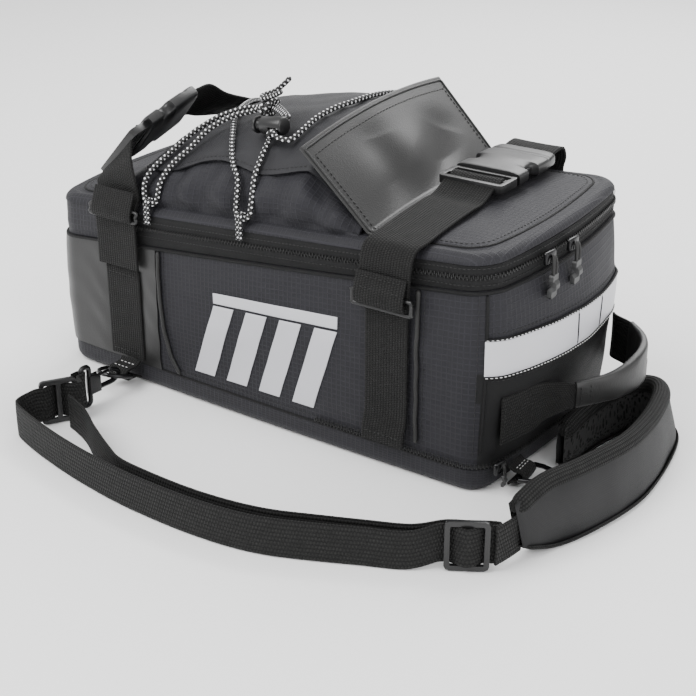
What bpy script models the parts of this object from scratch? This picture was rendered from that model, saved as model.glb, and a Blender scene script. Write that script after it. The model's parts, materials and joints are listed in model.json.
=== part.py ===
"""A bicycle rack bag: a soft box with a zipped lid, a domed top pocket under a bungee, two buckled straps and a
shoulder strap that lies in front of it.

Metres, +Z up. The origin is the middle of the flat base. +X runs to the rear end, the one with the reflective
band and the grab handle, and -Y is the near side, the one that the shoulder strap lies beside.
"""

import math

import bmesh
import bpy
from mathutils import Matrix, Vector

# Main sizes of the bag
BODY_LENGTH = 0.365
BODY_WIDTH = 0.168
CORNER_RADIUS = 0.016
BASE_HEIGHT = 0.016
REAR_SEAM_HEIGHT = 0.141
FRONT_SEAM_HEIGHT = 0.1045
FAR_RISE = 0.010
REAR_BULGE = 0.018
FRONT_BULGE = 0.012
SIDE_BULGE = 0.003
WALL = 0.003
GAP = 0.0003
SEAM_GAP = 0.0007

# Base tray
BASE_EDGE = 0.007

# Zip band and lid
ZIP_BAND_REAR_HEIGHT = 0.016
ZIP_BAND_FRONT_HEIGHT = 0.025
ZIP_BAND_WALL = 0.002
ZIP_BAND_INSET = 0.0008
ZIP_COIL_RADIUS = 0.0016
ZIP_COIL_SHARE = 0.55
ZIP_START_X = -0.150
LID_EDGE = 0.005
LID_CROWN = 0.007
LID_WALL = 0.0025

# Domed top pocket
DOME_FRONT_X = -0.146
DOME_REAR_X = 0.086
DOME_HEIGHT = 0.048
DOME_WALL = 0.002
DOME_FOOT_GAP = 0.0012
DOME_HOOD_WALL = 0.0014
DOME_HOOD_REACH = 0.87
DOME_EDGE_MARGIN = 0.0035
ARCH_WIDTH_POWER = 2.6
ARCH_HEIGHT_POWER = 2.05

# Cover flap over the mouth of the top pocket
FLAP_WIDTH = 0.158
FLAP_HINGE_X = 0.105
FLAP_FOLD_X = 0.0930
FLAP_TIP_X = 0.040
FLAP_WALL = 0.0022
FLAP_TIP_HEIGHT = 0.0593
FLAP_TIP_TILT = 0.0080
FLAP_TIP_BOW = 0.0065
FLAP_SAG = 0.0020

# Front cap, piping and reflective band
FRONT_CAP_EDGE_X = -0.083
FRONT_CAP_WALL = 0.0012
PIPING_RADIUS = 0.0015
MIDDLE_PIPING_X = 0.136
BAND_LOW_Z = 0.082
BAND_HEIGHT = 0.0225
BAND_WALL = 0.0008
BAND_END_SHARE = 0.35

# Webbing
WEB_THICKNESS = 0.0016
SIDE_WEB_WIDTH = 0.032
TOP_WEB_WIDTH = 0.038
SHOULDER_WEB_WIDTH = 0.025
FRONT_STRAP_X = -0.115
REAR_STRAP_X = 0.114
REAR_STRAP_TOP_X = 0.1195
REAR_JOIN_SHARE = 0.90
FRONT_JOIN_SHARE = 0.80
STRAP_RING_WIRE = 0.0014

# Side-release buckles
BUCKLE_WIDTH = 0.048
BUCKLE_LENGTH = 0.074
BUCKLE_THICKNESS = 0.011
BUCKLE_FRAME_LENGTH = 0.022
BUCKLE_BAR = 0.0034

# Grab handle on the rear end
HANDLE_WIDTH = 0.032
HANDLE_MID_Z = 0.050
HANDLE_STANDOFF = 0.033
HANDLE_GRIP_WALL = 0.0015

# Bungee and cord lock
BUNGEE_RADIUS = 0.00175
ANCHOR_CORD_RADIUS = 0.00125
LOCK_RADIUS = 0.006
LOCK_LENGTH = 0.019
LOCK_BORE_RADIUS = 0.0041
LOCK_END_WALL = 0.002
BUTTON_RADIUS = 0.0037
BUTTON_HEAD_RADIUS = 0.0058
BUTTON_HEAD_LENGTH = 0.0025
BUTTON_TRAVEL = 0.003
BUTTON_STANDOFF = 0.0036

# Shoulder strap hardware and pad
RING_WIRE_RADIUS = 0.0017
RING_WIDTH = 0.028
RING_DEPTH = 0.022
SLIDER_LENGTH = 0.026
SLIDER_MARGIN = 0.0035
SLIDER_THICKNESS = 0.0028
HOOK_WIRE_RADIUS = 0.0019
HOOK_INNER_WIDTH = 0.0092
HOOK_INNER_LENGTH = 0.0150
HOOK_BEND_DEPTH = 0.0045
GATE_WIRE_RADIUS = 0.0012
PAD_THICKNESS = 0.009
PAD_MESH_SHARE = 0.45

HALF_LENGTH = BODY_LENGTH / 2
HALF_WIDTH = BODY_WIDTH / 2

# The colours are linear values read by eye from the photograph
FINISHES = {
    "ripstop": ((0.030, 0.030, 0.036), 0.62, 0.0),
    "coated": ((0.038, 0.039, 0.042), 0.48, 0.0),
    "webbing": ((0.016, 0.016, 0.016), 0.80, 0.0),
    "plastic": ((0.012, 0.012, 0.012), 0.38, 0.0),
    "reflective": ((0.62, 0.63, 0.64), 0.35, 0.0),
    "leatherette": ((0.050, 0.050, 0.050), 0.45, 0.0),
    "mesh": ((0.020, 0.020, 0.021), 0.85, 0.0),
    "cord": ((0.060, 0.060, 0.060), 0.70, 0.0),
    "metal": ((0.020, 0.020, 0.022), 0.30, 0.8),
    "zip": ((0.014, 0.014, 0.015), 0.55, 0.0),
}


def clear_scene():
    for obj in list(bpy.data.objects):
        bpy.data.objects.remove(obj, do_unlink=True)


def new_collection(name):
    collection = bpy.data.collections.new(name)
    bpy.context.scene.collection.children.link(collection)
    return collection


def new_material(name):
    colour, roughness, metallic = FINISHES[name]
    material = bpy.data.materials.new(name)
    material.use_nodes = True
    shader = material.node_tree.nodes["Principled BSDF"]
    shader.inputs["Base Color"].default_value = (*colour, 1.0)
    shader.inputs["Roughness"].default_value = roughness
    shader.inputs["Metallic"].default_value = metallic
    return material


clear_scene()
BAG = new_collection("rack_bag")
CUTTERS = new_collection("cutters")
MATERIALS = {name: new_material(name) for name in FINISHES}


# Small tools

def lerp(a, b, share):
    return a + (b - a) * share


def from_table(table, share):
    """Reads a table of (share, value) rows at a share, with straight runs between the rows."""
    if share <= table[0][0]:
        return table[0][1]
    for (low, first), (high, second) in zip(table, table[1:]):
        if share <= high:
            return lerp(first, second, (share - low) / (high - low))
    return table[-1][1]


def smooth_path(points, steps):
    """A smooth curve through the points, with this many steps between two of them."""
    points = [Vector(p) for p in points]
    ends = [points[0] * 2 - points[1], *points, points[-1] * 2 - points[-2]]
    path = []
    for i in range(1, len(ends) - 2):
        before, first, second, after = ends[i - 1:i + 3]
        for step in range(steps):
            t = step / steps
            path.append(
                0.5 * (2 * first + (second - before) * t
                       + (2 * before - 5 * first + 4 * second - after) * t ** 2
                       + (3 * first - before - 3 * second + after) * t ** 3)
            )
    path.append(points[-1])
    return path


def dress(obj, finish, smooth=True):
    obj.data.materials.append(MATERIALS[finish])
    if smooth and obj.type == "MESH":
        obj.data.shade_smooth()
        obj.data.set_sharp_from_angle(angle=math.radians(40))
    return obj


def mesh_object(name, points, faces, finish, collection=None):
    mesh = bpy.data.meshes.new(name)
    mesh.from_pydata([tuple(p) for p in points], [], faces)
    obj = bpy.data.objects.new(name, mesh)
    (collection or BAG).objects.link(obj)
    return dress(obj, finish)


def grid_faces(rows, columns, closed):
    """The quads of a grid of points. A closed one joins its last column to its first."""
    faces = []
    for r in range(rows - 1):
        for c in range(columns if closed else columns - 1):
            d = (c + 1) % columns
            faces.append((r * columns + c, r * columns + d, (r + 1) * columns + d, (r + 1) * columns + c))
    return faces


def sheet(name, rows, thickness, finish, closed=False, end_cap=False, offset=-1.0, flip=False):
    """A wall: an open grid of points, with an n-gon over its last row if asked, thickened by Solidify."""
    columns = len(rows[0])
    faces = grid_faces(len(rows), columns, closed)
    if end_cap:
        start = (len(rows) - 1) * columns
        faces.append(tuple(range(start, start + columns)))
    if flip:
        faces = [face[::-1] for face in faces]
    obj = mesh_object(name, [p for row in rows for p in row], faces, finish)
    solidify = obj.modifiers.new("wall", "SOLIDIFY")
    solidify.thickness = thickness
    solidify.offset = offset
    solidify.use_even_offset = True
    return obj


def loft(name, rings, finish):
    """A closed solid through rings of points, with a flat n-gon on each end."""
    columns = len(rings[0])
    faces = grid_faces(len(rings), columns, True)
    faces.append(tuple(reversed(range(columns))))
    start = (len(rings) - 1) * columns
    faces.append(tuple(range(start, start + columns)))
    obj = mesh_object(name, [p for ring in rings for p in ring], faces, finish)
    solid = bmesh.new()
    solid.from_mesh(obj.data)
    bmesh.ops.recalc_face_normals(solid, faces=solid.faces)
    solid.to_mesh(obj.data)
    solid.free()
    return obj


def ribbon(name, path, across, width, thickness, finish):
    """Flat webbing along a path. across gives the direction of its width, one for each point."""
    rows = []
    for point, direction in zip(path, across):
        side = Vector(direction).normalized() * (width / 2)
        rows.append([point - side, point + side])
    return sheet(name, rows, thickness, finish, offset=0.0)


def tube(name, points, radius, finish, cyclic=False, resolution=2):
    """A cord or wire: a curve with a round bevel, one spline point for each point of the path."""
    curve = bpy.data.curves.new(name, "CURVE")
    curve.dimensions = "3D"
    curve.bevel_depth = radius
    curve.bevel_resolution = resolution
    curve.use_fill_caps = True
    spline = curve.splines.new("POLY")
    spline.points.add(len(points) - 1)
    for knot, point in zip(spline.points, points):
        knot.co = (*point, 1.0)
    spline.use_cyclic_u = cyclic
    obj = bpy.data.objects.new(name, curve)
    BAG.objects.link(obj)
    return dress(obj, finish)


def plate(name, outlines, thickness, matrix, finish):
    """A flat plate: a 2D curve of an outline and its holes, extruded and placed by a matrix."""
    curve = bpy.data.curves.new(name, "CURVE")
    curve.dimensions = "2D"
    curve.fill_mode = "BOTH"
    curve.extrude = thickness / 2
    for outline in outlines:
        spline = curve.splines.new("POLY")
        spline.points.add(len(outline) - 1)
        for knot, (u, v) in zip(spline.points, outline):
            knot.co = (u, v, 0.0, 1.0)
        spline.use_cyclic_u = True
    obj = bpy.data.objects.new(name, curve)
    obj.matrix_world = matrix
    BAG.objects.link(obj)
    return dress(obj, finish)


def as_mesh(obj):
    """The same object as a mesh with welded caps, so that a Boolean can work on it."""
    bpy.context.view_layer.update()
    evaluated = obj.evaluated_get(bpy.context.evaluated_depsgraph_get())
    mesh = bpy.data.meshes.new_from_object(evaluated)
    welded = bmesh.new()
    welded.from_mesh(mesh)
    bmesh.ops.remove_doubles(welded, verts=welded.verts, dist=1e-6)
    bmesh.ops.recalc_face_normals(welded, faces=welded.faces)
    welded.to_mesh(mesh)
    welded.free()
    name, matrix = obj.name, obj.matrix_world.copy()
    bpy.data.objects.remove(obj, do_unlink=True)
    made = bpy.data.objects.new(name, mesh)
    made.matrix_world = matrix
    BAG.objects.link(made)
    return made


def as_cutter(obj):
    for collection in list(obj.users_collection):
        collection.objects.unlink(obj)
    CUTTERS.objects.link(obj)
    obj.hide_render = True
    obj.display_type = "WIRE"
    return obj


def combine(obj, other, operation):
    """A Boolean of two meshes. The second one becomes a hidden cutter."""
    modifier = obj.modifiers.new(operation.lower(), "BOOLEAN")
    modifier.operation = operation
    modifier.solver = "EXACT"
    modifier.object = as_cutter(other)
    return obj


def box(name, size, matrix, finish="plastic"):
    bpy.ops.mesh.primitive_cube_add(size=1.0)
    obj = bpy.context.object
    obj.name = name
    obj.data.transform(Matrix.Diagonal((*size, 1.0)))
    obj.matrix_world = matrix
    for collection in list(obj.users_collection):
        collection.objects.unlink(obj)
    BAG.objects.link(obj)
    return dress(obj, finish, smooth=False)


def cylinder(name, radius, length, matrix, finish="plastic", sides=16):
    bpy.ops.mesh.primitive_cylinder_add(vertices=sides, radius=radius, depth=length)
    obj = bpy.context.object
    obj.name = name
    obj.matrix_world = matrix
    for collection in list(obj.users_collection):
        collection.objects.unlink(obj)
    BAG.objects.link(obj)
    return dress(obj, finish)


def turned(name, profile, matrix, finish, steps=16):
    """A turned shape: a profile of (radius, height) rows down its outer side, spun round its own Z."""
    points = [(radius, 0.0, height) for radius, height in profile]
    edges = [(i, i + 1) for i in range(len(points) - 1)]
    mesh = bpy.data.meshes.new(name)
    mesh.from_pydata(points, edges, [])
    obj = bpy.data.objects.new(name, mesh)
    obj.matrix_world = matrix
    BAG.objects.link(obj)
    screw = obj.modifiers.new("spin", "SCREW")
    screw.steps = steps
    screw.render_steps = steps
    screw.use_merge_vertices = True
    screw.merge_threshold = 0.00001
    return dress(obj, finish, smooth=False)


def basis(origin, u, v):
    """A matrix whose X and Y run along u and v, at an origin."""
    u = Vector(u).normalized()
    w = u.cross(Vector(v)).normalized()
    v = w.cross(u)
    return Matrix.Translation(Vector(origin)) @ Matrix((u, v, w)).transposed().to_4x4()


def rounded_rectangle(width, height, radius, centre=(0.0, 0.0), steps=2):
    """The outline of a rectangle with round corners, anticlockwise."""
    outline = []
    for sign_u, sign_v, start in ((1, -1, -90), (1, 1, 0), (-1, 1, 90), (-1, -1, 180)):
        corner_u = centre[0] + sign_u * (width / 2 - radius)
        corner_v = centre[1] + sign_v * (height / 2 - radius)
        for step in range(steps + 1):
            angle = math.radians(start + 90 * step / steps)
            outline.append((corner_u + radius * math.cos(angle), corner_v + radius * math.sin(angle)))
    return outline


# The soft box, as formulas that every other piece is placed by

# How much of the rear end's swelling there is at a height
REAR_BULGE_SHARES = [(0.0, 0.10), (0.025, 0.30), (0.050, 0.62), (0.070, 0.90), (0.085, 1.0), (0.104, 0.98),
                     (0.125, 0.78), (0.145, 0.50), (0.165, 0.42)]


def rear_bulge(z):
    """How far the rear end swells out in its middle, at a height."""
    return REAR_BULGE * from_table(REAR_BULGE_SHARES, z)


def swollen(x, y, z, inset):
    """Moves a point of the plain outline out to the swollen one."""
    u = x / (HALF_LENGTH - inset)
    v = y / (HALF_WIDTH - inset)
    swell = rear_bulge(z) if x > 0 else -FRONT_BULGE
    return (
        x + swell * max(0.0, 1 - v * v) * abs(u) ** 6,
        y + math.copysign(SIDE_BULGE, y) * max(0.0, 1 - u * u) * abs(v) ** 4,
    )


def plain_outline(inset):
    """The rounded rectangle of the plan, anticlockwise from the near end of the rear end."""
    half_length, half_width = HALF_LENGTH - inset, HALF_WIDTH - inset
    radius = max(CORNER_RADIUS - inset, 0.002)
    corner_steps, end_steps, side_steps = 3, 6, 5
    corners = [(1, -1), (1, 1), (-1, 1), (-1, -1)]
    points = []
    for index, (sign_x, sign_y) in enumerate(corners):
        centre = Vector((sign_x * (half_length - radius), sign_y * (half_width - radius)))
        start = math.radians(-90 + 90 * index)
        arc = []
        for step in range(corner_steps + 1):
            angle = start + math.radians(90) * step / corner_steps
            arc.append(centre + radius * Vector((math.cos(angle), math.sin(angle))))
        next_x, next_y = corners[(index + 1) % 4]
        next_centre = Vector((next_x * (half_length - radius), next_y * (half_width - radius)))
        next_start = start + math.radians(90)
        goal = next_centre + radius * Vector((math.cos(next_start), math.sin(next_start)))
        steps = end_steps if index % 2 == 0 else side_steps
        points.extend(arc)
        points.extend(arc[-1].lerp(goal, step / steps) for step in range(1, steps))
    return points


def side_half(x):
    """Half the width of the swollen box at x."""
    share = min(1.0, abs(x) / HALF_LENGTH)
    return HALF_WIDTH + SIDE_BULGE * (1 - share * share)


def end_half(y, z, rear=True):
    """How far the swollen end lies from the middle, at y and a height."""
    share = min(1.0, abs(y) / HALF_WIDTH)
    return HALF_LENGTH + (rear_bulge(z) if rear else FRONT_BULGE) * (1 - share * share)


def seam_z(x, y):
    """The height of the seam along the top of the walls. It falls to the front and rises to the far side."""
    along = (x + HALF_LENGTH) / BODY_LENGTH
    over = (y + HALF_WIDTH) / BODY_WIDTH
    return lerp(FRONT_SEAM_HEIGHT, REAR_SEAM_HEIGHT, along) + FAR_RISE * (over - 0.5)


def band_height(x):
    """The zip band's height, which tapers to the rear."""
    return lerp(ZIP_BAND_FRONT_HEIGHT, ZIP_BAND_REAR_HEIGHT, (x + HALF_LENGTH) / BODY_LENGTH)


def rim_z(x, y):
    return seam_z(x, y) + band_height(x)


def lid_z(x, y):
    """The height of the lid's top surface."""
    z = rim_z(x, y)
    inset = min(side_half(x) - abs(y), end_half(y, z, x > 0) - abs(x))
    share = min(1.0, max(0.0, inset / LID_EDGE))
    edge = LID_EDGE * math.sqrt(1 - (1 - share) ** 2)
    u = min(1.0, abs(x) / HALF_LENGTH)
    v = min(1.0, abs(y) / HALF_WIDTH)
    return z + edge + LID_CROWN * (1 - u ** 4) * (1 - v * v)


def outline_ring(inset, height):
    """A ring of the swollen outline. height gives each point's z from its plain x and y."""
    ring = []
    for point in plain_outline(inset):
        z = height(point.x, point.y)
        ring.append(Vector((*swollen(point.x, point.y, z, inset), z)))
    return ring


def wall_point(x, level, standoff):
    """A point of the near wall at x, a share of the way from the base to the seam, moved out by a standoff."""
    y = -side_half(x)
    z = lerp(BASE_HEIGHT, seam_z(x, y), level)
    return Vector((x, y - standoff, z))


def mirrored(point):
    return Vector((point.x, -point.y, point.z))


# The box

def base_tray():
    """The stiff foot: a shallow tray whose lower edge is rounded."""
    rows = [(0.0, 1.0), (0.3, 0.3), (1.0, 0.0), (BASE_HEIGHT / BASE_EDGE, 0.0)]
    rings = [
        outline_ring(inset_share * BASE_EDGE, lambda x, y, z=height_share * BASE_EDGE: z)
        for height_share, inset_share in rows
    ]
    return sheet("base_tray", rings[::-1], WALL, "coated", closed=True, end_cap=True, flip=True)


def body_shell():
    """The padded walls and floor of the main compartment, open at the top."""
    levels = (1.0, 0.78, 0.58, 0.34, 0.0)
    foot = BASE_HEIGHT + SEAM_GAP
    rings = [
        outline_ring(0.0, lambda x, y, level=level: lerp(foot, seam_z(x, y), level)) for level in levels
    ]
    return sheet("body_shell", rings, WALL, "ripstop", closed=True, end_cap=True, flip=True)


def zip_band():
    """The upright band that carries the zip, between the walls and the lid."""
    rings = [
        outline_ring(ZIP_BAND_INSET, lambda x, y: rim_z(x, y) - 2 * SEAM_GAP),
        outline_ring(ZIP_BAND_INSET, lambda x, y: seam_z(x, y) + SEAM_GAP),
    ]
    return sheet("zip_band", rings, ZIP_BAND_WALL, "zip", closed=True, flip=True)


def zip_line(standoff):
    """The closed zip's route round the near side, the rear end and the far side."""
    ring = [low.lerp(high, ZIP_COIL_SHARE) for low, high in zip(outline_ring(0.0, seam_z), outline_ring(0.0, rim_z))]
    kept = [p for p in ring if p.x > ZIP_START_X]
    start = min(range(len(kept)), key=lambda i: (kept[i].y > 0, kept[i].x))
    route = kept[start:] + kept[:start]
    path = []
    for index, point in enumerate(route):
        before = route[max(0, index - 1)]
        after = route[min(len(route) - 1, index + 1)]
        along = (after - before).normalized()
        path.append(point + along.cross(Vector((0, 0, 1))).normalized() * standoff)
    return path


def zip_coil():
    """The interlocked teeth, as one rail that stands proud of the band."""
    standoff = ZIP_COIL_RADIUS + GAP - ZIP_BAND_INSET
    return tube("zip_coil", zip_line(standoff), ZIP_COIL_RADIUS, "zip", resolution=1)


def lid_panel():
    """The soft lid, with a rounded edge and a low crown."""
    insets = [0.0, LID_EDGE * 0.25, LID_EDGE, 0.45 * HALF_WIDTH, 0.90 * HALF_WIDTH]
    rings = []
    for inset in insets:
        ring = outline_ring(inset, rim_z)
        rings.append([Vector((p.x, p.y, lid_z(p.x, p.y) if inset else p.z)) for p in ring])
    return sheet("lid_panel", rings, LID_WALL, "ripstop", closed=True, end_cap=True)


# The domed top pocket and its cover flap

# How the dome rises and widens from its front to its mouth, as shares of its length, height and half width
DOME_SECTIONS = [
    {"along": 0.00, "height": 0.02, "width": 0.62},
    {"along": 0.05, "height": 0.12, "width": 0.78},
    {"along": 0.11, "height": 0.26, "width": 0.90},
    {"along": 0.17, "height": 0.44, "width": 0.97},
    {"along": 0.23, "height": 0.61, "width": 1.00},
    {"along": 0.31, "height": 0.77, "width": 1.00},
    {"along": 0.42, "height": 0.88, "width": 1.00},
    {"along": 0.55, "height": 0.94, "width": 1.00},
    {"along": 0.72, "height": 1.00, "width": 1.00},
    {"along": 0.80, "height": 0.97, "width": 1.00},
    {"along": 0.87, "height": 0.56, "width": 1.00},
    {"along": 0.95, "height": 0.20, "width": 1.00},
    {"along": 1.00, "height": 0.02, "width": 1.00},
]


def dome_share(x):
    return (x - DOME_FRONT_X) / (DOME_REAR_X - DOME_FRONT_X)


def dome_half_width(x):
    table = [(row["along"], row["width"]) for row in DOME_SECTIONS]
    full = HALF_WIDTH - DOME_EDGE_MARGIN
    return full * from_table(table, dome_share(x))


def dome_z(x, y):
    """The height of the dome's outer surface. Outside the dome it is the lid's height."""
    if not DOME_FRONT_X <= x <= DOME_REAR_X:
        return lid_z(x, y)
    half = dome_half_width(x)
    share = abs(y) / half
    if share >= 1:
        return lid_z(x, y)
    table = [(row["along"], row["height"]) for row in DOME_SECTIONS]
    rise = DOME_HEIGHT * from_table(table, dome_share(x))
    arch_share = (1 - share ** ARCH_WIDTH_POWER) ** (1 / ARCH_HEIGHT_POWER)
    return lid_z(x, y) + DOME_FOOT_GAP + DOME_WALL * min(1.0, 3 * arch_share) + rise * arch_share


def on_dome(x, over, height):
    """A point at a height off the dome's skin. over is its angle across the dome, -90 near to 90 far."""
    half = dome_half_width(x)
    step = 0.5

    def skin(here, angle):
        y = half * math.sin(math.radians(angle))
        return Vector((here, y, dome_z(here, y)))

    across = skin(x, min(89.0, over + step)) - skin(x, max(-89.0, over - step))
    along = skin(min(DOME_REAR_X, x + 0.001), over) - skin(max(DOME_FRONT_X, x - 0.001), over)
    return skin(x, over) + along.cross(across).normalized() * height


ARCH_ANGLES = [-90, -82, -67, -48, -25, 0, 25, 48, 67, 82, 90]


def arch(x, reach, lift):
    """A row of points over the dome at x, as far down each side as a share of its half width."""
    half = dome_half_width(x)
    row = []
    for angle in ARCH_ANGLES:
        y = half * math.sin(math.radians(angle)) * reach
        row.append(Vector((x, y, dome_z(x, y))) if abs(angle) < 90 or reach < 1 else
                   Vector((x, y, lid_z(x, y) + DOME_FOOT_GAP)))
    if not lift:
        return row
    angles = [math.degrees(math.asin(math.sin(math.radians(angle)) * reach)) for angle in ARCH_ANGLES]
    return [on_dome(x, angle, lift) for angle in angles]


def dome_pocket():
    """The pocket's ripstop shell, open under the flap at its rear mouth."""
    stations = [lerp(DOME_FRONT_X, DOME_REAR_X, row["along"]) for row in DOME_SECTIONS]
    rows = [arch(x, 1.0, 0.0) for x in stations]
    return sheet("dome_pocket", rows, DOME_WALL, "ripstop", flip=True)


def dome_hood():
    """The smooth upper layer, whose hem overlaps the ripstop below it."""
    lift = 4 * GAP + DOME_HOOD_WALL
    stations = [lerp(DOME_FRONT_X, DOME_REAR_X, row["along"]) for row in DOME_SECTIONS[3:-1]]
    rows = [arch(x, DOME_HOOD_REACH, lift) for x in stations]
    return sheet("dome_hood", rows, DOME_HOOD_WALL, "coated", flip=True)


def hood_z(x, y):
    """The height of the hood's outer surface, where cords and the flap lie."""
    return dome_z(x, y) + 1.6 * (2 * GAP + DOME_HOOD_WALL)


# Shallow rolls across the cover flap: where each runs from hinge to tip, and how deep it is
FLAP_ROLLS = [
    {"along": 0.42, "over": 0.10, "spread": 0.26, "depth": 0.0030},
    {"along": 0.66, "over": -0.45, "spread": 0.30, "depth": -0.0012},
    {"along": 0.85, "over": 0.60, "spread": 0.40, "depth": 0.0015},
]


def flap_point(along, over):
    """A point of the flap's underside, from its hinge (0) to its tip (1) and from near (-1) to far (1)."""
    y = over * FLAP_WIDTH / 2
    x = lerp(FLAP_HINGE_X, FLAP_TIP_X, along)
    climb = max(0.0, (FLAP_FOLD_X - x) / (FLAP_FOLD_X - FLAP_TIP_X))
    hinge = lid_z(max(x, FLAP_FOLD_X), y) + 3 * GAP
    tip = rim_z(FLAP_TIP_X, 0.0) + FLAP_TIP_HEIGHT + FLAP_TIP_TILT * over + FLAP_TIP_BOW * (1 - over * over)
    z = lerp(hinge, tip, climb)
    z += FLAP_SAG * math.sin(math.pi * climb) * (1 - over * over)
    for roll in FLAP_ROLLS:
        distance = math.hypot(along - roll["along"], over - roll["over"]) / roll["spread"]
        z += roll["depth"] * math.exp(-distance * distance) * min(1.0, 4 * climb)
    return Vector((x, y, z))


def cover_flap():
    """The leatherette flap that rises from its hinge over the pocket's mouth."""
    rows = [[flap_point(a / 9, o / 3) for o in range(-3, 4)] for a in range(10)]
    return sheet("cover_flap", rows, FLAP_WALL, "leatherette", offset=1.0)


# Skins and trim on the walls

def skin_rows(points_at, levels):
    return [points_at(level) for level in levels]


def front_cap():
    """The smooth panel round the front end, as a skin over the padded wall."""
    standoff = GAP + FRONT_CAP_WALL
    foot = BASE_HEIGHT + SEAM_GAP

    def row(level):
        ring = outline_ring(-standoff, lambda x, y: lerp(foot, seam_z(x, y) - GAP, level))
        kept = [p for p in ring if p.x < FRONT_CAP_EDGE_X - 0.002]
        near = Vector((FRONT_CAP_EDGE_X, -side_half(FRONT_CAP_EDGE_X) - standoff, 0.0))
        near.z = lerp(foot, seam_z(near.x, near.y) - GAP, level)
        far = mirrored(near)
        far.z = lerp(foot, seam_z(far.x, far.y) - GAP, level)
        return [far, *kept, near]

    rows = skin_rows(row, (1.0, 0.5, 0.0))
    return sheet("front_cap", rows, FRONT_CAP_WALL, "leatherette", flip=True)


# The bow of the piping beside the front cap: how far it runs to the rear at each level of the wall
FRONT_PIPING_BOW = [(0.0, 0.016), (0.15, 0.008), (0.35, 0.003), (0.65, 0.0), (1.0, 0.0)]


def upright_piping(name, x, side, start, bow=None):
    """A corded seam up the near or the far wall, from a level near the base."""
    points = []
    for step in range(9):
        level = step / 8
        here = x + (from_table(bow, level) if bow else 0.0)
        point = wall_point(here, lerp(start, 0.98, level), PIPING_RADIUS + GAP)
        if side > 0:
            point = mirrored(point)
        points.append(point)
    return tube(name, points, PIPING_RADIUS, "leatherette")


def reflective_band():
    """The reflective band sewn across the rear end, from one corner seam to the other."""
    standoff = 2 * GAP + BAND_WALL
    rows = []
    for share in (0.0, 0.5, 1.0):
        z = BAND_LOW_Z + share * BAND_HEIGHT
        ring = outline_ring(-standoff, lambda x, y, z=z: z)
        rows.append([p for p in ring if p.x > HALF_LENGTH - BAND_END_SHARE * CORNER_RADIUS])
    return sheet("reflective_band", rows, BAND_WALL, "reflective")


# Compression straps

def side_web(name, x, side):
    """The narrow webbing sewn up a wall, from the base tray to the ring or stitching near the seam."""
    top = REAR_JOIN_SHARE if x > 0 else FRONT_JOIN_SHARE
    standoff = WEB_THICKNESS / 2 + GAP * 2 + FRONT_CAP_WALL + (GAP if x < FRONT_CAP_EDGE_X else 0.0)
    path = []
    for level, lift in ((0.04, 1.0), (0.11, 0.9), (0.18, 0.3), (0.26, 0.0), (0.44, 0.0), (0.62, 0.0), (top, 0.0)):
        over_zip = lift * 2.4 * ZIP_COIL_RADIUS if x > BASE_ZIP_START_X else 0.0
        point = wall_point(x, level, standoff + over_zip)
        path.append(mirrored(point) if side > 0 else point)
    across = [Vector((1, 0, 0))] * len(path)
    return ribbon(name, path, across, SIDE_WEB_WIDTH, WEB_THICKNESS, "webbing")


def strap_standoff():
    return WEB_THICKNESS / 2 + GAP * 3 + FRONT_CAP_WALL


def top_corner(x, side, lean):
    """Points of the top webbing from the wall over the lid's edge, at a standoff that clears zip and piping."""
    off = strap_standoff() + 2 * ZIP_COIL_RADIUS
    half = side_half(x)
    rows = [
        (half + off, seam_z(x, side * half)),
        (half + off, rim_z(x, side * half)),
        (half - 0.2 * LID_EDGE + off * 0.7, rim_z(x, side * half) + LID_EDGE * 0.7 + off * 0.7),
    ]
    return [Vector((x + lean * index, side * y, z)) for index, (y, z) in enumerate(rows)]


def rear_top_web(name, near):
    """The wide webbing of the rear strap, on the near side up to the buckle or on the far side down from it."""
    side = -1 if near else 1
    x = REAR_STRAP_X
    half = side_half(x)
    off = strap_standoff() + 2 * ZIP_COIL_RADIUS
    ring_z = lerp(BASE_HEIGHT, seam_z(x, side * half), REAR_JOIN_SHARE) + 2 * GAP
    points = [Vector((x, side * (half + off), ring_z + (0.004 if near else 0.0)))]
    points += top_corner(x, side, (REAR_STRAP_TOP_X - x) / 3)
    lift = WEB_THICKNESS / 2 + FLAP_WALL + 5 * GAP
    top_x = REAR_STRAP_TOP_X
    buckle_end = REAR_BUCKLE["near_y"] + BUCKLE_LENGTH
    edge_z = lid_z(top_x, HALF_WIDTH - 2.8 * LID_EDGE)
    if near:
        points += [Vector((top_x, y, lid_z(top_x, y) + lift)) for y in (-0.0795, -0.070, -0.050, -0.030, -0.010)]
        points[-1].y = REAR_BUCKLE["near_y"] - 0.012
        points.append(Vector((top_x, REAR_BUCKLE["near_y"] - 2 * GAP, REAR_BUCKLE["z"])))
    else:
        points += [
            Vector((top_x, HALF_WIDTH + 0.0045, edge_z + 0.0080)),
            Vector((top_x, HALF_WIDTH + 0.0010, edge_z + 0.0155)),
            Vector((top_x, buckle_end + 0.0090, edge_z + 0.0160)),
            Vector((top_x, buckle_end + 2 * GAP,
                    REAR_BUCKLE["z"] + REAR_BUCKLE["slope"] * BUCKLE_LENGTH)),
        ]
    path = smooth_path(points, 2)
    across = [Vector((1, 0, 0))] * len(path)
    return ribbon(name, path, across, TOP_WEB_WIDTH, WEB_THICKNESS, "webbing")


REAR_BUCKLE = {"near_y": -0.006, "slope": 0.045, "z": 0.0}
REAR_BUCKLE["z"] = lid_z(REAR_STRAP_TOP_X, 0.0) + BUCKLE_THICKNESS / 2 + FLAP_WALL + 5 * GAP

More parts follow.
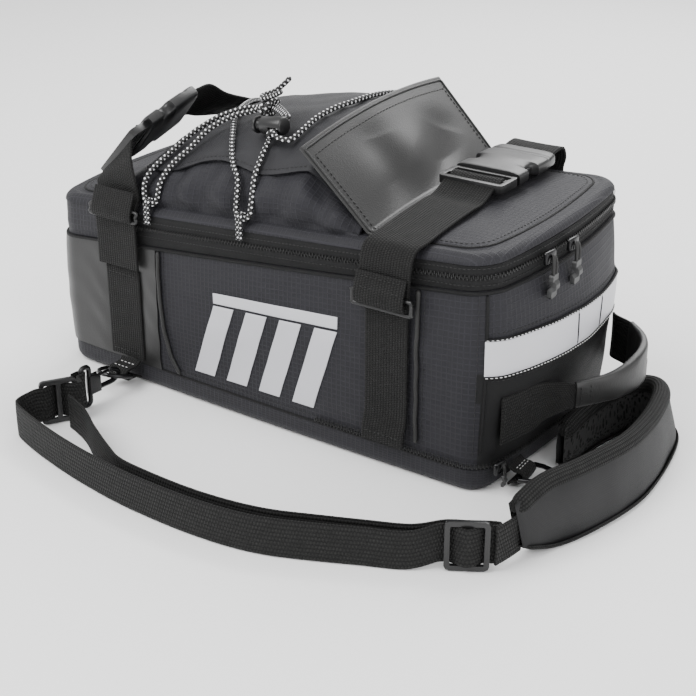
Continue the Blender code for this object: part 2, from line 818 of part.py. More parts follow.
# The loose front strap: its place along Y, its height over the lid's rim, its shift along X and its roll in degrees
FRONT_STRAP_ROUTE = [
    {"y": -0.0865, "over_rim": 0.0120, "x": 0.000, "roll": 2},
    {"y": -0.0860, "over_rim": 0.0210, "x": -0.003, "roll": 12},
    {"y": -0.0825, "over_rim": 0.0290, "x": -0.007, "roll": 30},
]
FRONT_BUCKLE = {"near_y": -0.077, "far_y": -0.007, "near_rise": 0.034, "far_rise": 0.054, "roll": 46,
                "x_shift": -0.010}
FRONT_STRAP_FAR_ROUTE = [
    {"y": 0.008, "over_rim": 0.0540, "x": -0.010, "roll": 44},
    {"y": 0.022, "over_rim": 0.0470, "x": -0.009, "roll": 34},
    {"y": 0.044, "over_rim": 0.0400, "x": -0.008, "roll": 26},
    {"y": 0.068, "over_rim": 0.0330, "x": -0.006, "roll": 16},
    {"y": 0.0840, "over_rim": 0.0180, "x": -0.002, "roll": 8},
]


def front_buckle_ends():
    x = FRONT_STRAP_X + FRONT_BUCKLE["x_shift"]
    rim = rim_z(x, 0.0)
    near = Vector((x, FRONT_BUCKLE["near_y"], rim + FRONT_BUCKLE["near_rise"]))
    far = Vector((x, FRONT_BUCKLE["far_y"], rim + FRONT_BUCKLE["far_rise"]))
    return near, near + (far - near).normalized() * BUCKLE_LENGTH


def front_top_web(name, near):
    """The wide webbing of the front strap, which stands loosely over the front of the dome."""
    side = -1 if near else 1
    x = FRONT_STRAP_X
    half = side_half(x)
    off = strap_standoff() + 2 * ZIP_COIL_RADIUS
    ring_z = lerp(BASE_HEIGHT, seam_z(x, side * half), FRONT_JOIN_SHARE)
    wall = [Vector((x, side * (half + off), ring_z + (0.002 if near else 0.001)))]
    wall += top_corner(x, side, 0.0)
    rolls = [0.0] * len(wall)
    route = FRONT_STRAP_ROUTE if near else FRONT_STRAP_FAR_ROUTE[::-1]
    for row in route:
        y = row["y"]
        wall.append(Vector((x + row["x"], y, rim_z(x, y) + row["over_rim"])))
        rolls.append(row["roll"])
    ends = front_buckle_ends()
    along = (ends[1] - ends[0]).normalized()
    wall.append(ends[0] - along * WEB_THICKNESS if near else ends[1] + along * 2.5 * WEB_THICKNESS)
    rolls.append(FRONT_BUCKLE["roll"])
    steps = 2
    path = smooth_path(wall, steps)
    across = []
    for index in range(len(path)):
        first = min(index // steps, len(rolls) - 1)
        second = min(first + 1, len(rolls) - 1)
        roll = math.radians(lerp(rolls[first], rolls[second], (index % steps) / steps))
        across.append(Vector((math.cos(roll), 0, math.sin(roll))))
    return ribbon(name, path, across, TOP_WEB_WIDTH, WEB_THICKNESS, "webbing")


def strap_ring():
    """The flat wire ring that joins the rear strap's narrow and wide webbing on the near wall."""
    x = REAR_STRAP_X
    y = -side_half(x) - strap_standoff() - 2 * ZIP_COIL_RADIUS - WEB_THICKNESS / 2 - GAP - STRAP_RING_WIRE
    z = lerp(BASE_HEIGHT, seam_z(x, y), REAR_JOIN_SHARE) + 0.001
    half = TOP_WEB_WIDTH / 2 + 2 * STRAP_RING_WIRE
    points = [Vector((x + u, y, z + v)) for u, v in rounded_rectangle(2 * half, 0.009, 0.002, steps=2)]
    return tube("strap_ring_rear", points, STRAP_RING_WIRE, "plastic", cyclic=True)


# Side-release buckles

def buckle_outlines():
    """The outlines of the two halves, in the buckle's plane: u across the strap and v along it."""
    half = BUCKLE_WIDTH / 2
    frame_end = BUCKLE_FRAME_LENGTH
    slot = half - BUCKLE_BAR
    frame = rounded_rectangle(BUCKLE_WIDTH, frame_end, 0.003, (0.0, frame_end / 2))
    slot_depth = (frame_end - 3 * BUCKLE_BAR) / 2
    slots = [
        rounded_rectangle(2 * slot, slot_depth, 0.0008, (0.0, BUCKLE_BAR + slot_depth / 2), 2),
        rounded_rectangle(2 * slot, slot_depth, 0.0008, (0.0, 2 * BUCKLE_BAR + 1.5 * slot_depth), 2),
    ]
    return frame, slots


def male_half(name, matrix):
    """The half with the ladder frame for adjusting, and three prongs that lie inside the other half."""
    frame, slots = buckle_outlines()
    thickness = BUCKLE_THICKNESS * 0.5
    obj = as_mesh(plate(name, [frame, *slots], thickness, matrix, "plastic"))
    tongue = BUCKLE_LENGTH * 0.36
    for index, share in enumerate((-0.36, 0.0, 0.36)):
        centre = Vector((share * BUCKLE_WIDTH, BUCKLE_FRAME_LENGTH + tongue / 2 - 0.001, 0.0))
        prong = box(f"{name}_prong_{index}", (BUCKLE_WIDTH * 0.11, tongue, thickness * 0.8),
                    matrix @ Matrix.Translation(centre))
        combine(obj, prong, "UNION")
    return dress(obj, "plastic", smooth=False)


def female_half(name, matrix):
    """The socket half: a rounded block with a cut at each side, hollow for the prongs, and a webbing slot."""
    start = BUCKLE_FRAME_LENGTH + GAP
    length = BUCKLE_LENGTH - start
    half = BUCKLE_WIDTH / 2
    bite = 0.0055
    outline = []
    for side in (1, -1):
        rows = [(half * 0.98, start), (half, start + 0.004)]
        for step in range(7):
            angle = math.radians(-90 + 180 * step / 6)
            rows.append((half - bite * math.cos(angle), start + length * 0.36 + bite * 1.1 * math.sin(angle)))
        rows += [(half, start + length * 0.62), (half * 0.96, BUCKLE_LENGTH - 0.002),
                 (half * 0.90, BUCKLE_LENGTH)]
        rows = rows if side > 0 else [(-u, v) for u, v in rows[::-1]]
        outline += rows
    slot_centre = (0.0, BUCKLE_LENGTH - BUCKLE_BAR - 0.0022)
    slot = rounded_rectangle(BUCKLE_WIDTH - 2.4 * BUCKLE_BAR, 0.0044, 0.0008, slot_centre, 2)
    obj = as_mesh(plate(name, [outline, slot], BUCKLE_THICKNESS, matrix, "plastic"))
    tongue = BUCKLE_LENGTH * 0.36
    depth = tongue + 0.001
    centre = Vector((0.0, start + depth / 2 - 0.002, 0.0))
    cavity = box(f"{name}_socket", (BUCKLE_WIDTH * 0.86, depth + 0.004, BUCKLE_THICKNESS * 0.52),
                 matrix @ Matrix.Translation(centre))
    combine(obj, cavity, "DIFFERENCE")
    return dress(obj, "plastic", smooth=False)


def rear_buckle():
    origin = Vector((REAR_STRAP_TOP_X, REAR_BUCKLE["near_y"], REAR_BUCKLE["z"]))
    matrix = basis(origin, (1, 0, 0), (0, 1, REAR_BUCKLE["slope"]))
    return male_half("buckle_rear_male", matrix), female_half("buckle_rear_female", matrix)


def front_buckle():
    near, far = front_buckle_ends()
    roll = math.radians(FRONT_BUCKLE["roll"])
    matrix = basis(near, (math.cos(roll), 0, math.sin(roll)), far - near)
    return male_half("buckle_front_male", matrix), female_half("buckle_front_female", matrix)


# Grab handle

# The webbing of the grab handle: y as a share of the half width, how far it stands off and how far it rises
HANDLE_ROUTE = [
    {"over": -0.86, "off": 0.00, "rise": 0.00},
    {"over": -0.70, "off": 0.00, "rise": 0.00},
    {"over": -0.52, "off": 0.02, "rise": 0.05},
    {"over": -0.38, "off": 0.10, "rise": 0.20},
    {"over": -0.20, "off": 0.48, "rise": 0.45},
    {"over": 0.05, "off": 0.88, "rise": 0.75},
    {"over": 0.33, "off": 1.00, "rise": 1.00},
    {"over": 0.56, "off": 0.88, "rise": 1.00},
    {"over": 0.74, "off": 0.48, "rise": 0.90},
    {"over": 0.84, "off": 0.10, "rise": 0.80},
    {"over": 0.90, "off": 0.01, "rise": 0.75},
]
HANDLE_RISE = 0.011
HANDLE_STEPS = 2


def handle_path():
    points = []
    for row in HANDLE_ROUTE:
        y = row["over"] * HALF_WIDTH
        z = HANDLE_MID_Z + row["rise"] * HANDLE_RISE
        face = end_half(y, z) + WEB_THICKNESS / 2 + 9 * GAP
        points.append(Vector((face + row["off"] * HANDLE_STANDOFF, y, z)))
    return smooth_path(points, HANDLE_STEPS)


def rear_handle():
    """The webbing loop of the grab handle and the grip wrapped round its middle."""
    path = handle_path()
    up = Vector((0, 0, 1))
    ribbon("handle_webbing", path, [up] * len(path), HANDLE_WIDTH, WEB_THICKNESS, "webbing")
    rings = []
    for index in range(4 * HANDLE_STEPS, 8 * HANDLE_STEPS + 1):
        along = (path[index + 1] - path[index - 1]).normalized()
        out = along.cross(up).normalized()
        half_wall = WEB_THICKNESS / 2 + 2 * GAP
        section = rounded_rectangle(2 * half_wall, HANDLE_WIDTH + 4 * GAP, half_wall * 0.5, steps=1)
        rings.append([path[index] + out * u + up * v for u, v in section])
    sheet("handle_grip", rings, HANDLE_GRIP_WALL, "leatherette", closed=True, offset=1.0, flip=True)


# Bungee

CORD_HEIGHT = 4 * GAP + DOME_HOOD_WALL + BUNGEE_RADIUS + 2 * GAP
CORD_CROSSING = 2 * BUNGEE_RADIUS + 2 * GAP
ANCHOR_REACH = BUNGEE_RADIUS + GAP + ANCHOR_CORD_RADIUS
ANCHORS = {"near_front": (-0.087, -1), "near_middle": (-0.003, -1), "far_front": (-0.087, 1),
           "far_rear": (0.030, 1)}
ANCHOR_CORD_Z = 0.0085


def anchor_frame(name):
    """Where a loop's outer and inner legs stand across the bag, and the rim's height there."""
    x, side = ANCHORS[name]
    outer = side * (side_half(x) + ANCHOR_CORD_RADIUS + 6 * GAP)
    inner = outer - side * 2 * ANCHOR_REACH
    return x, side, outer, inner, rim_z(x, side * HALF_WIDTH)


def anchor_loop(name):
    """A loop of thin cord sewn to the lid's edge, which straddles the edge and holds the bungee."""
    x, side, outer, inner, rim = anchor_frame(name)
    middle = (outer + inner) / 2
    points = [Vector((x, outer, rim - 0.006)), Vector((x, outer, rim)),
              Vector((x, outer, rim + ANCHOR_CORD_Z - 0.001))]
    for step in range(1, 8):
        angle = math.pi * step / 8
        points.append(Vector((x, middle + (outer - middle) * math.cos(angle),
                              rim + ANCHOR_CORD_Z + ANCHOR_REACH * math.sin(angle))))
    points += [Vector((x, inner, rim + ANCHOR_CORD_Z - 0.001)),
               Vector((x, inner, lid_z(x, inner) + 2 * GAP))]
    return tube(f"anchor_loop_{name}", points, ANCHOR_CORD_RADIUS, "cord")


def anchor_bend(name, half_width):
    """The bungee's turn through a loop, from its rear side to its front side."""
    x, side, outer, inner, rim = anchor_frame(name)
    y = (outer + inner) / 2
    z = rim + ANCHOR_CORD_Z
    rows = [(1.0, 0.0045, -0.0014), (0.62, 0.0014, -0.0004), (0.25, 0.0, 0.0), (-0.25, 0.0, 0.0),
            (-0.62, 0.0014, -0.0004), (-1.0, 0.0045, -0.0014)]
    return [Vector((x + share * half_width, y + side * inward, z + up)) for share, up, inward in rows]


# Where the bungee's runs lie on the dome: x, the angle across the dome and the height off its skin
RUN_NEAR_FRONT_LOW = [(-0.0795, -73, 1.0), (-0.0745, -60, 1.0), (-0.066, -49, 1.1), (-0.057, -39, 1.9),
                      (-0.046, -30, 2.1), (-0.034, -25, 2.0)]
RUN_NEAR_FRONT_HIGH = [(-0.0945, -73, 1.0), (-0.0925, -62, 1.0), (-0.085, -50, 1.0), (-0.072, -38, 1.6),
                       (-0.058, -28.5, 2.1), (-0.044, -22, 2.1), (-0.034, -20.5, 2.0)]
RUN_NEAR_REAR = [(-0.0005, -44, 1.3), (0.000, -52, 1.0), (0.001, -61, 1.0), (0.002, -69, 1.0)]
RUN_CROSS = [(-0.012, -68, 1.0), (-0.020, -60, 1.0), (-0.030, -48, 1.0), (-0.040, -36, 1.0), (-0.050, -25, 1.0),
             (-0.062, -10, 1.0), (-0.073, 8, 1.0), (-0.084, 28, 1.0), (-0.092, 46, 1.0), (-0.0955, 62, 1.0),
             (-0.0955, 72, 1.0)]
RUN_FAR = [(-0.0785, 72, 1.0), (-0.070, 62, 1.0), (-0.050, 55, 1.0), (-0.020, 52, 1.0), (0.002, 55, 1.0),
           (0.014, 62, 1.0), (0.0225, 71, 1.0)]
RUN_FAR_REAR = [(0.037, 71, 1.0), (0.036, 60, 1.2), (0.034, 46, 1.2), (0.032, 30, 1.1), (0.030, 12, 1.0),
                (0.0275, -4, 1.0), (0.0235, -15, 1.0), (0.0205, -26, 1.0), (0.0195, -36, 1.1), (0.0165, -44, 1.4)]


def run(rows):
    return [on_dome(x, over, CORD_HEIGHT + (height - 1.0) * CORD_CROSSING) for x, over, height in rows]


def lock_frame():
    """The lock's middle, and its axis from the button to the closed end."""
    middle = on_dome(0.001, -38, CORD_HEIGHT + CORD_CROSSING + 0.002)
    axis = (on_dome(0.015, -38.5, 0.0) - on_dome(-0.013, -37.5, 0.0)).normalized()
    up = (on_dome(0.001, -38, 0.01) - on_dome(0.001, -38, 0.0)).normalized()
    through = axis.cross(up).normalized()
    return middle, axis, through


def lock_cord_point(share, depth):
    """A point of one of the two cords in the lock's bore: share is -1 or 1, depth is along the bore."""
    middle, axis, through = lock_frame()
    centre = middle + axis * (LOCK_LENGTH / 2 - LOCK_END_WALL - LOCK_BORE_RADIUS)
    return centre + axis * share * (BUNGEE_RADIUS + GAP / 2) + through * depth


def knot_frame():
    """The knot's middle and the way its cords run, from the rear strands to the front ones."""
    middle = on_dome(-0.020, -22.5, CORD_HEIGHT + CORD_CROSSING + 0.001)
    along = (on_dome(-0.034, -22.5, 0.0) - on_dome(-0.006, -23.5, 0.0)).normalized()
    up = (on_dome(-0.020, -22.5, 0.01) - on_dome(-0.020, -22.5, 0.0)).normalized()
    return middle, along, along.cross(up).normalized()


def knot_cord_point(share, along_share):
    middle, along, beside = knot_frame()
    return middle + along * along_share * 0.006 + beside * share * (BUNGEE_RADIUS + GAP / 2)


def knot_sides():
    """Which side of the knot lies nearer the viewer's side of the bag, and which lies beyond it."""
    return (-1, 1) if knot_cord_point(-1, 0).y < knot_cord_point(1, 0).y else (1, -1)


def bungee():
    """The two runs of the bungee. They meet inside the knot's wrap, and leave it as the tails."""
    low, high = knot_sides()
    front = [knot_cord_point(low, 0.05), knot_cord_point(low, 1), *run(RUN_NEAR_FRONT_LOW[::-1]),
             *anchor_bend("near_front", 0.006), *run(RUN_NEAR_FRONT_HIGH), knot_cord_point(high, 1),
             knot_cord_point(high, 0.05)]
    tube("bungee_front", front, BUNGEE_RADIUS, "cord")
    rear = [knot_cord_point(low, -0.05), knot_cord_point(low, -1)]
    rear += [lock_cord_point(-1, depth) for depth in (-0.0095, -0.006, 0.0, 0.0085)]
    rear += [*run(RUN_NEAR_REAR), *anchor_bend("near_middle", 0.006), *run(RUN_CROSS),
             *anchor_bend("far_front", 0.006)[::-1], *run(RUN_FAR), *anchor_bend("far_rear", 0.006)[::-1],
             *run(RUN_FAR_REAR)]
    rear += [lock_cord_point(1, depth) for depth in (0.0085, 0.0, -0.006, -0.0095)]
    rear += [knot_cord_point(high, -1), knot_cord_point(high, -0.05)]
    tube("bungee_rear", rear, BUNGEE_RADIUS, "cord")


def bungee_knot():
    """Two turns of cord wrapped round the strands."""
    middle, along, beside = knot_frame()
    up = beside.cross(along).normalized()
    wide = 2 * BUNGEE_RADIUS + BUNGEE_RADIUS + 3 * GAP
    deep = 2 * BUNGEE_RADIUS + 3 * GAP
    points = []
    for step in range(21):
        angle = 4 * math.pi * step / 20
        shift = (step / 20 - 0.5) * 2 * (2 * BUNGEE_RADIUS + GAP)
        points.append(middle + along * shift + beside * wide * math.cos(angle) + up * deep * math.sin(angle))
    tube("bungee_knot", points, BUNGEE_RADIUS, "cord")
    height = deep + 2 * BUNGEE_RADIUS + 2 * GAP
    bungee_tails(middle + up * height, -along, beside)


# The two loose ends beyond the knot, as one U: how far each point lies along, to the side and up
TAIL_ROUTE = [(0.024, 0.0075, 0.0150), (0.015, 0.0050, 0.0075), (0.007, 0.0036, 0.0022), (0.001, 0.0030, 0.0004),
              (-0.0018, 0.0019, 0.0), (-0.0028, 0.0, 0.0), (-0.0018, -0.0019, 0.0), (0.001, -0.0030, 0.0),
              (0.007, -0.0036, 0.0010), (0.016, -0.0055, 0.0040), (0.025, -0.0080, 0.0085)]


def bungee_tails(start, along, beside):
    """The two loose ends of the bungee, which point away over the dome."""
    up = Vector((0, 0, 1))
    tube("bungee_tails", [start + along * out + beside * over + up * rise for out, over, rise in TAIL_ROUTE],
         BUNGEE_RADIUS, "cord")


def cord_lock():
    """The barrel with a cross bore for the two cords, and its sprung button."""
    middle, axis, through = lock_frame()
    matrix = Matrix.Translation(middle) @ Vector((0, 0, 1)).rotation_difference(axis).to_matrix().to_4x4()
    half = LOCK_LENGTH / 2
    edge = 0.0012
    profile = [(0.0, half), (LOCK_RADIUS - edge, half), (LOCK_RADIUS - 0.3 * edge, half - 0.3 * edge),
               (LOCK_RADIUS, half - edge), (LOCK_RADIUS, -half + edge),
               (LOCK_RADIUS - 0.3 * edge, -half + 0.3 * edge), (LOCK_RADIUS - edge, -half), (0.0, -half)]
    barrel = as_mesh(turned("lock_barrel", profile, matrix, "plastic"))
    well = BUTTON_TRAVEL + BUTTON_STANDOFF + 0.0015
    bore = cylinder("lock_well", LOCK_BORE_RADIUS, 2 * well, matrix @ Matrix.Translation((0, 0, -half)), sides=20)
    combine(barrel, bore, "DIFFERENCE")
    centre = lock_cord_point(0, 0.0)
    slot = box("lock_slot", (4 * BUNGEE_RADIUS + 5 * GAP, 2 * BUNGEE_RADIUS + 4 * GAP, 4 * LOCK_RADIUS),
               basis(centre, axis, through.cross(axis)))
    combine(barrel, slot, "DIFFERENCE")
    dress(barrel, "plastic", smooth=False)
    face = -half - BUTTON_STANDOFF
    inner = face + BUTTON_STANDOFF + 0.0030
    head = face - BUTTON_HEAD_LENGTH
    profile = [(0.0, inner), (BUTTON_RADIUS, inner), (BUTTON_RADIUS, face), (BUTTON_HEAD_RADIUS, face),
               (BUTTON_HEAD_RADIUS, head + 0.0008), (BUTTON_HEAD_RADIUS - 0.0008, head), (0.0, head)]
    turned("lock_button", profile, matrix, "plastic")


# Zips

# The sliders on the top zip: where each stands across the rear end, and how long its pull hangs
TOP_SLIDERS = [{"name": "near", "y": -0.034, "cord": 0.010}, {"name": "far", "y": -0.008, "cord": 0.010}]
PULL_LENGTH = 0.022
PULL_WIDTH = 0.008
PULL_THICKNESS = 0.0028
SLIDER_BODY = (0.0030, 0.0110, 0.0080)


def zip_pull(name, hang, out, across, cord_length):
    """A cord loop and the moulded tab that hangs from it."""
    down = Vector((0, 0, -1))
    tab_top = hang + down * cord_length
    matrix = basis(tab_top + down * PULL_LENGTH / 2, across, down)
    outline = rounded_rectangle(PULL_WIDTH, PULL_LENGTH, PULL_WIDTH * 0.38)
    tab = as_mesh(plate(name, [outline], PULL_THICKNESS, matrix, "plastic"))
    stem = cylinder(f"{name}_cord", 0.0012, cord_length + 0.004,
                    Matrix.Translation(hang + down * (cord_length / 2 + 0.001)), sides=10)
    combine(tab, stem, "UNION")
    return dress(tab, "plastic", smooth=False)


def top_sliders():
    for row in TOP_SLIDERS:
        y = row["y"]
        x0 = HALF_LENGTH
        z = seam_z(x0, y) + band_height(x0) * ZIP_COIL_SHARE
        face = end_half(y, z)
        slope = (end_half(y + 0.002, z) - end_half(y - 0.002, z)) / 0.004
        across = Vector((slope, 1, FAR_RISE / BODY_WIDTH)).normalized()
        out = across.cross(Vector((0, 0, 1))).normalized()
        depth, length, height = SLIDER_BODY
        centre = Vector((face, y, z)) + out * (2 * ZIP_COIL_RADIUS + 3 * GAP + depth / 2)
        body = box(f"zip_slider_{row['name']}", (length, height, depth), basis(centre, across, out.cross(across)))
        bevel = body.modifiers.new("edge", "BEVEL")
        bevel.width = 0.0008
        bevel.segments = 2
        hang = centre + out * (depth / 2 + GAP + 0.0018) + Vector((0, 0, -0.001))
        zip_pull(f"zip_pull_{row['name']}", hang, out, across, row["cord"])


BASE_ZIP_LIFT = 0.0035
BASE_ZIP_START_X = 0.057
BASE_PULL_INSET = 0.0115


def base_zip():
    """The zip of the base pocket, round the rear end just over the tray, with its slider and pull."""
    z = BASE_HEIGHT + BASE_ZIP_LIFT
    ring = [Vector((*swollen(p.x, p.y, z, 0.0), z)) for p in plain_outline(0.0)]
    start = next(i for i, p in enumerate(ring) if p.x < -0.1)
    route = [p for p in ring[start:] + ring[:start] if p.x > BASE_ZIP_START_X - 0.02]
    path = []
    for index, point in enumerate(route):
        along = (route[min(len(route) - 1, index + 1)] - route[max(0, index - 1)]).normalized()
        out = along.cross(Vector((0, 0, 1))).normalized()
        path.append(point + out * (ZIP_COIL_RADIUS + 3 * GAP))
    tube("base_zip_coil", path, ZIP_COIL_RADIUS, "zip", resolution=1)
    depth, length, height = SLIDER_BODY
    pull_y = BASE_PULL_INSET - HALF_WIDTH
    face = end_half(pull_y, z)
    across = Vector((0.10, 1, 0)).normalized()
    out = across.cross(Vector((0, 0, 1))).normalized()
    centre = Vector((face, pull_y, z)) + out * (2 * ZIP_COIL_RADIUS + 6 * GAP + depth / 2)
    body = box("base_zip_slider", (length, height, depth), basis(centre, across, out.cross(across)))
    bevel = body.modifiers.new("edge", "BEVEL")
    bevel.width = 0.0008
    bevel.segments = 2
    hang = centre + out * (depth / 2 + GAP + 0.0018)
    outline = rounded_rectangle(PULL_WIDTH, z - 0.002, PULL_WIDTH * 0.38)
    matrix = basis(hang + Vector((0, 0, -z / 2 + 0.002)), across, (0, 0, -1))
    plate("base_zip_pull", [outline], PULL_THICKNESS, matrix, "plastic")


# Reflective motif on the near wall: slanted bars between two heights, as shares of the field's length
MOTIF_START_X = -0.046
MOTIF_END_X = 0.080
MOTIF_LOW = 0.10
MOTIF_HIGH = 0.74
MOTIF_WALL = 0.0006
MOTIF_BARS = 4
MOTIF_BAR_SHARE = 0.62
MOTIF_RAIL = 0.12


def reflective_motif():
    """A plain reflective motif: slanted bars that hang from one rail."""
    field = MOTIF_END_X - MOTIF_START_X
    pitch = 1.0 / MOTIF_BARS
    lean = 0.16
    standoff = 4 * GAP

    def at(share_x, share_z):
        x = MOTIF_START_X + field * share_x
        level = lerp(MOTIF_LOW, MOTIF_HIGH, share_z)
        return wall_point(x, level, standoff)

    points, faces = [], []

    # The rail shares its lower edge with the tops of the bars, so that the motif is one sheet
    rail_low = 1.0 - MOTIF_RAIL
    columns = []
    for bar in range(MOTIF_BARS):
        columns += [pitch * bar + lean * 0.9, pitch * bar + pitch * MOTIF_BAR_SHARE + lean * 0.9]
    shares = sorted(min(1.0, c * (1 - lean * 0.5)) for c in columns)
    base = len(points)
    for share in shares:
        points.append(at(share, rail_low))
        points.append(at(share, 1.0))
    for index in range(len(shares) - 1):
        a = base + 2 * index
        faces.append((a, a + 2, a + 3, a + 1))
    for bar in range(MOTIF_BARS):
        top_left, top_right = base + 4 * bar, base + 4 * bar + 2
        start = len(points)
        rows = 4
        for row in range(1, rows + 1):
            share_z = rail_low * (1 - row / rows)
            shift = -lean * (row / rows)
            points.append(at(shares[2 * bar] + shift, share_z))
            points.append(at(shares[2 * bar + 1] + shift, share_z))
        previous = (top_left, top_right)
        for row in range(rows):
            here = (start + 2 * row, start + 2 * row + 1)
            faces.append((here[0], here[1], previous[1], previous[0]))
            previous = here
    obj = mesh_object("reflective_motif", points, faces, "reflective")
    solidify = obj.modifiers.new("wall", "SOLIDIFY")
    solidify.thickness = MOTIF_WALL
    solidify.offset = 1.0
    return obj


# Shoulder strap on the floor

# The strap's sliders, and its route in plan: from the hook to the front slider, along the outer layer to the rear
# one, and back along the inner layer. Each place is a share of the half length and a distance out from the near side
FRONT_SLIDER = {"centre": (-0.5753, 0.0825), "direction": (-0.50, -0.86)}
REAR_SLIDER = {"centre": (1.2055, 0.0750), "direction": (0.84, 0.54)}
STRAP_START = [(-0.5726, 0.0650)]
STRAP_OUTER = [
    (-0.6356, 0.1055), (-0.6164, 0.1130), (-0.5534, 0.1180), (-0.4164, 0.1250), (-0.2192, 0.1325),
    (0.0055, 0.1380), (0.1863, 0.1395), (0.3562, 0.1390), (0.5151, 0.1360), (0.6466, 0.1300), (0.7781, 0.1195),
    (0.9205, 0.1065), (1.0521, 0.0945),
]
STRAP_INNER = [
    (1.0411, 0.0865), (0.9096, 0.0985), (0.7671, 0.1105), (0.6356, 0.1210), (0.5096, 0.1270), (0.3562, 0.1305),
    (0.1863, 0.1310), (0.0110, 0.1290), (-0.0877, 0.1220), (-0.2411, 0.1075), (-0.3616, 0.0945), (-0.4548, 0.0875),
    (-0.5096, 0.0845),
]
STRAP_FLOOR_GAP = 0.0006


def beside(place):
    """A place in plan: its x as a share of the half length, and how far out it lies from the near side."""
    share, out = place
    return share * HALF_LENGTH, -HALF_WIDTH - out


def strap_z():
    """The height of the webbing's middle where a slider or the hook carries it."""
    return STRAP_FLOOR_GAP + SLIDER_MARGIN + SHOULDER_WEB_WIDTH / 2


def lying(rows):
    """Points of the webbing where its edge rests on the floor."""
    return [Vector((*beside(row), strap_z() - SLIDER_MARGIN)) for row in rows]


def carried(rows):
    """Points of the webbing where a slider lifts it off the floor."""
    return [Vector((row[0], row[1], strap_z())) for row in rows]


def slider_axes(slider):
    centre = Vector(beside(slider["centre"]))
    along = Vector(slider["direction"]).normalized()
    return centre, along, Vector((along.y, -along.x))


def weave(slider):
    """The webbing's way through a slider: behind the first bar, over the middle one, behind the last."""
    centre, along, front = slider_axes(slider)
    reach = SLIDER_LENGTH / 2
    swing = SLIDER_THICKNESS / 2 + WEB_THICKNESS / 2 + 2 * GAP
    rows = [(-reach - 0.003, -0.9), (-reach + 0.0005, -1.0), (-reach + 0.0036, -1.0), (-0.0018, 1.0),
            (0.0018, 1.0), (reach - 0.0036, -1.0), (reach - 0.0005, -1.0), (reach + 0.003, -0.9)]
    return [centre + along * run_share + front * swing * side for run_share, side in rows]


def strap_path():
    centre, along, front = slider_axes(REAR_SLIDER)
    behind = 0.0068
    reach = SLIDER_LENGTH / 2
    turn = [centre + along * (reach + 0.0065) - front * 0.0045, centre + along * (reach + 0.003) - front * behind,
            centre - front * behind, centre - along * reach - front * behind]
    points = carried([beside(row) for row in STRAP_START] + weave(FRONT_SLIDER)) + lying(STRAP_OUTER)
    points += carried(weave(REAR_SLIDER) + turn) + lying(STRAP_INNER)
    return smooth_path(points, 2)


def pad_webbing():
    """The short webbing between the rear slider and the pad's near end."""
    centre, along, front = slider_axes(REAR_SLIDER)
    row = PAD_ROUTE[0]
    end = (Vector(beside(row["low"])) + Vector(beside(row["high"]))) / 2
    after = (Vector(beside(PAD_ROUTE[1]["low"])) + Vector(beside(PAD_ROUTE[1]["high"]))) / 2
    stop = end - (after - end).normalized() * 0.0035
    start = centre + along * (SLIDER_LENGTH / 2 + 0.0095) + front * 0.0008
    points = [Vector((p.x, p.y, strap_z())) for p in (start, start.lerp(stop, 0.5) + along * 0.0005, stop)]
    path = smooth_path(points, 3)
    ribbon("pad_webbing", path, [Vector((0, 0, 1))] * len(path), SHOULDER_WEB_WIDTH, WEB_THICKNESS, "webbing")


def shoulder_strap():
    """The webbing that stands on its edge on the floor, folded back through the rear slider."""
    path = strap_path()
    return ribbon("shoulder_strap", path, [Vector((0, 0, 1))] * len(path), SHOULDER_WEB_WIDTH, WEB_THICKNESS,
                  "webbing")


def strap_slider(name, slider):
    """A flat frame with a middle bar, standing on its edge beside the webbing."""
    bar = SLIDER_MARGIN - GAP
    height = SHOULDER_WEB_WIDTH + 2 * SLIDER_MARGIN
    outline = rounded_rectangle(SLIDER_LENGTH, height, 0.003)
    slot = (SLIDER_LENGTH - 3 * bar) / 2
    shift = (slot + bar) / 2
    holes = [rounded_rectangle(slot, height - 2 * bar, 0.0008, (side * shift, 0.0), 2) for side in (-1, 1)]
    centre, along, _ = slider_axes(slider)
    matrix = basis(Vector((*centre, height / 2 + STRAP_FLOOR_GAP)), (*along, 0.0), (0, 0, 1))
    return plate(name, [outline, *holes], SLIDER_THICKNESS, matrix, "plastic")


# The snap hook's frame: the middle of its webbing bar, and the way to its tip
HOOK_START = (-0.5836, 0.0600)
HOOK_DIRECTION = Vector((0.02, 1.0, 0.0)).normalized()
HOOK_STEM = 0.010


def hook_frame():
    """Origin on the webbing bar, X up, Y along the hook, at the strap's height."""
    origin = Vector((*beside(HOOK_START), strap_z()))
    return basis(origin, (0, 0, 1), HOOK_DIRECTION)


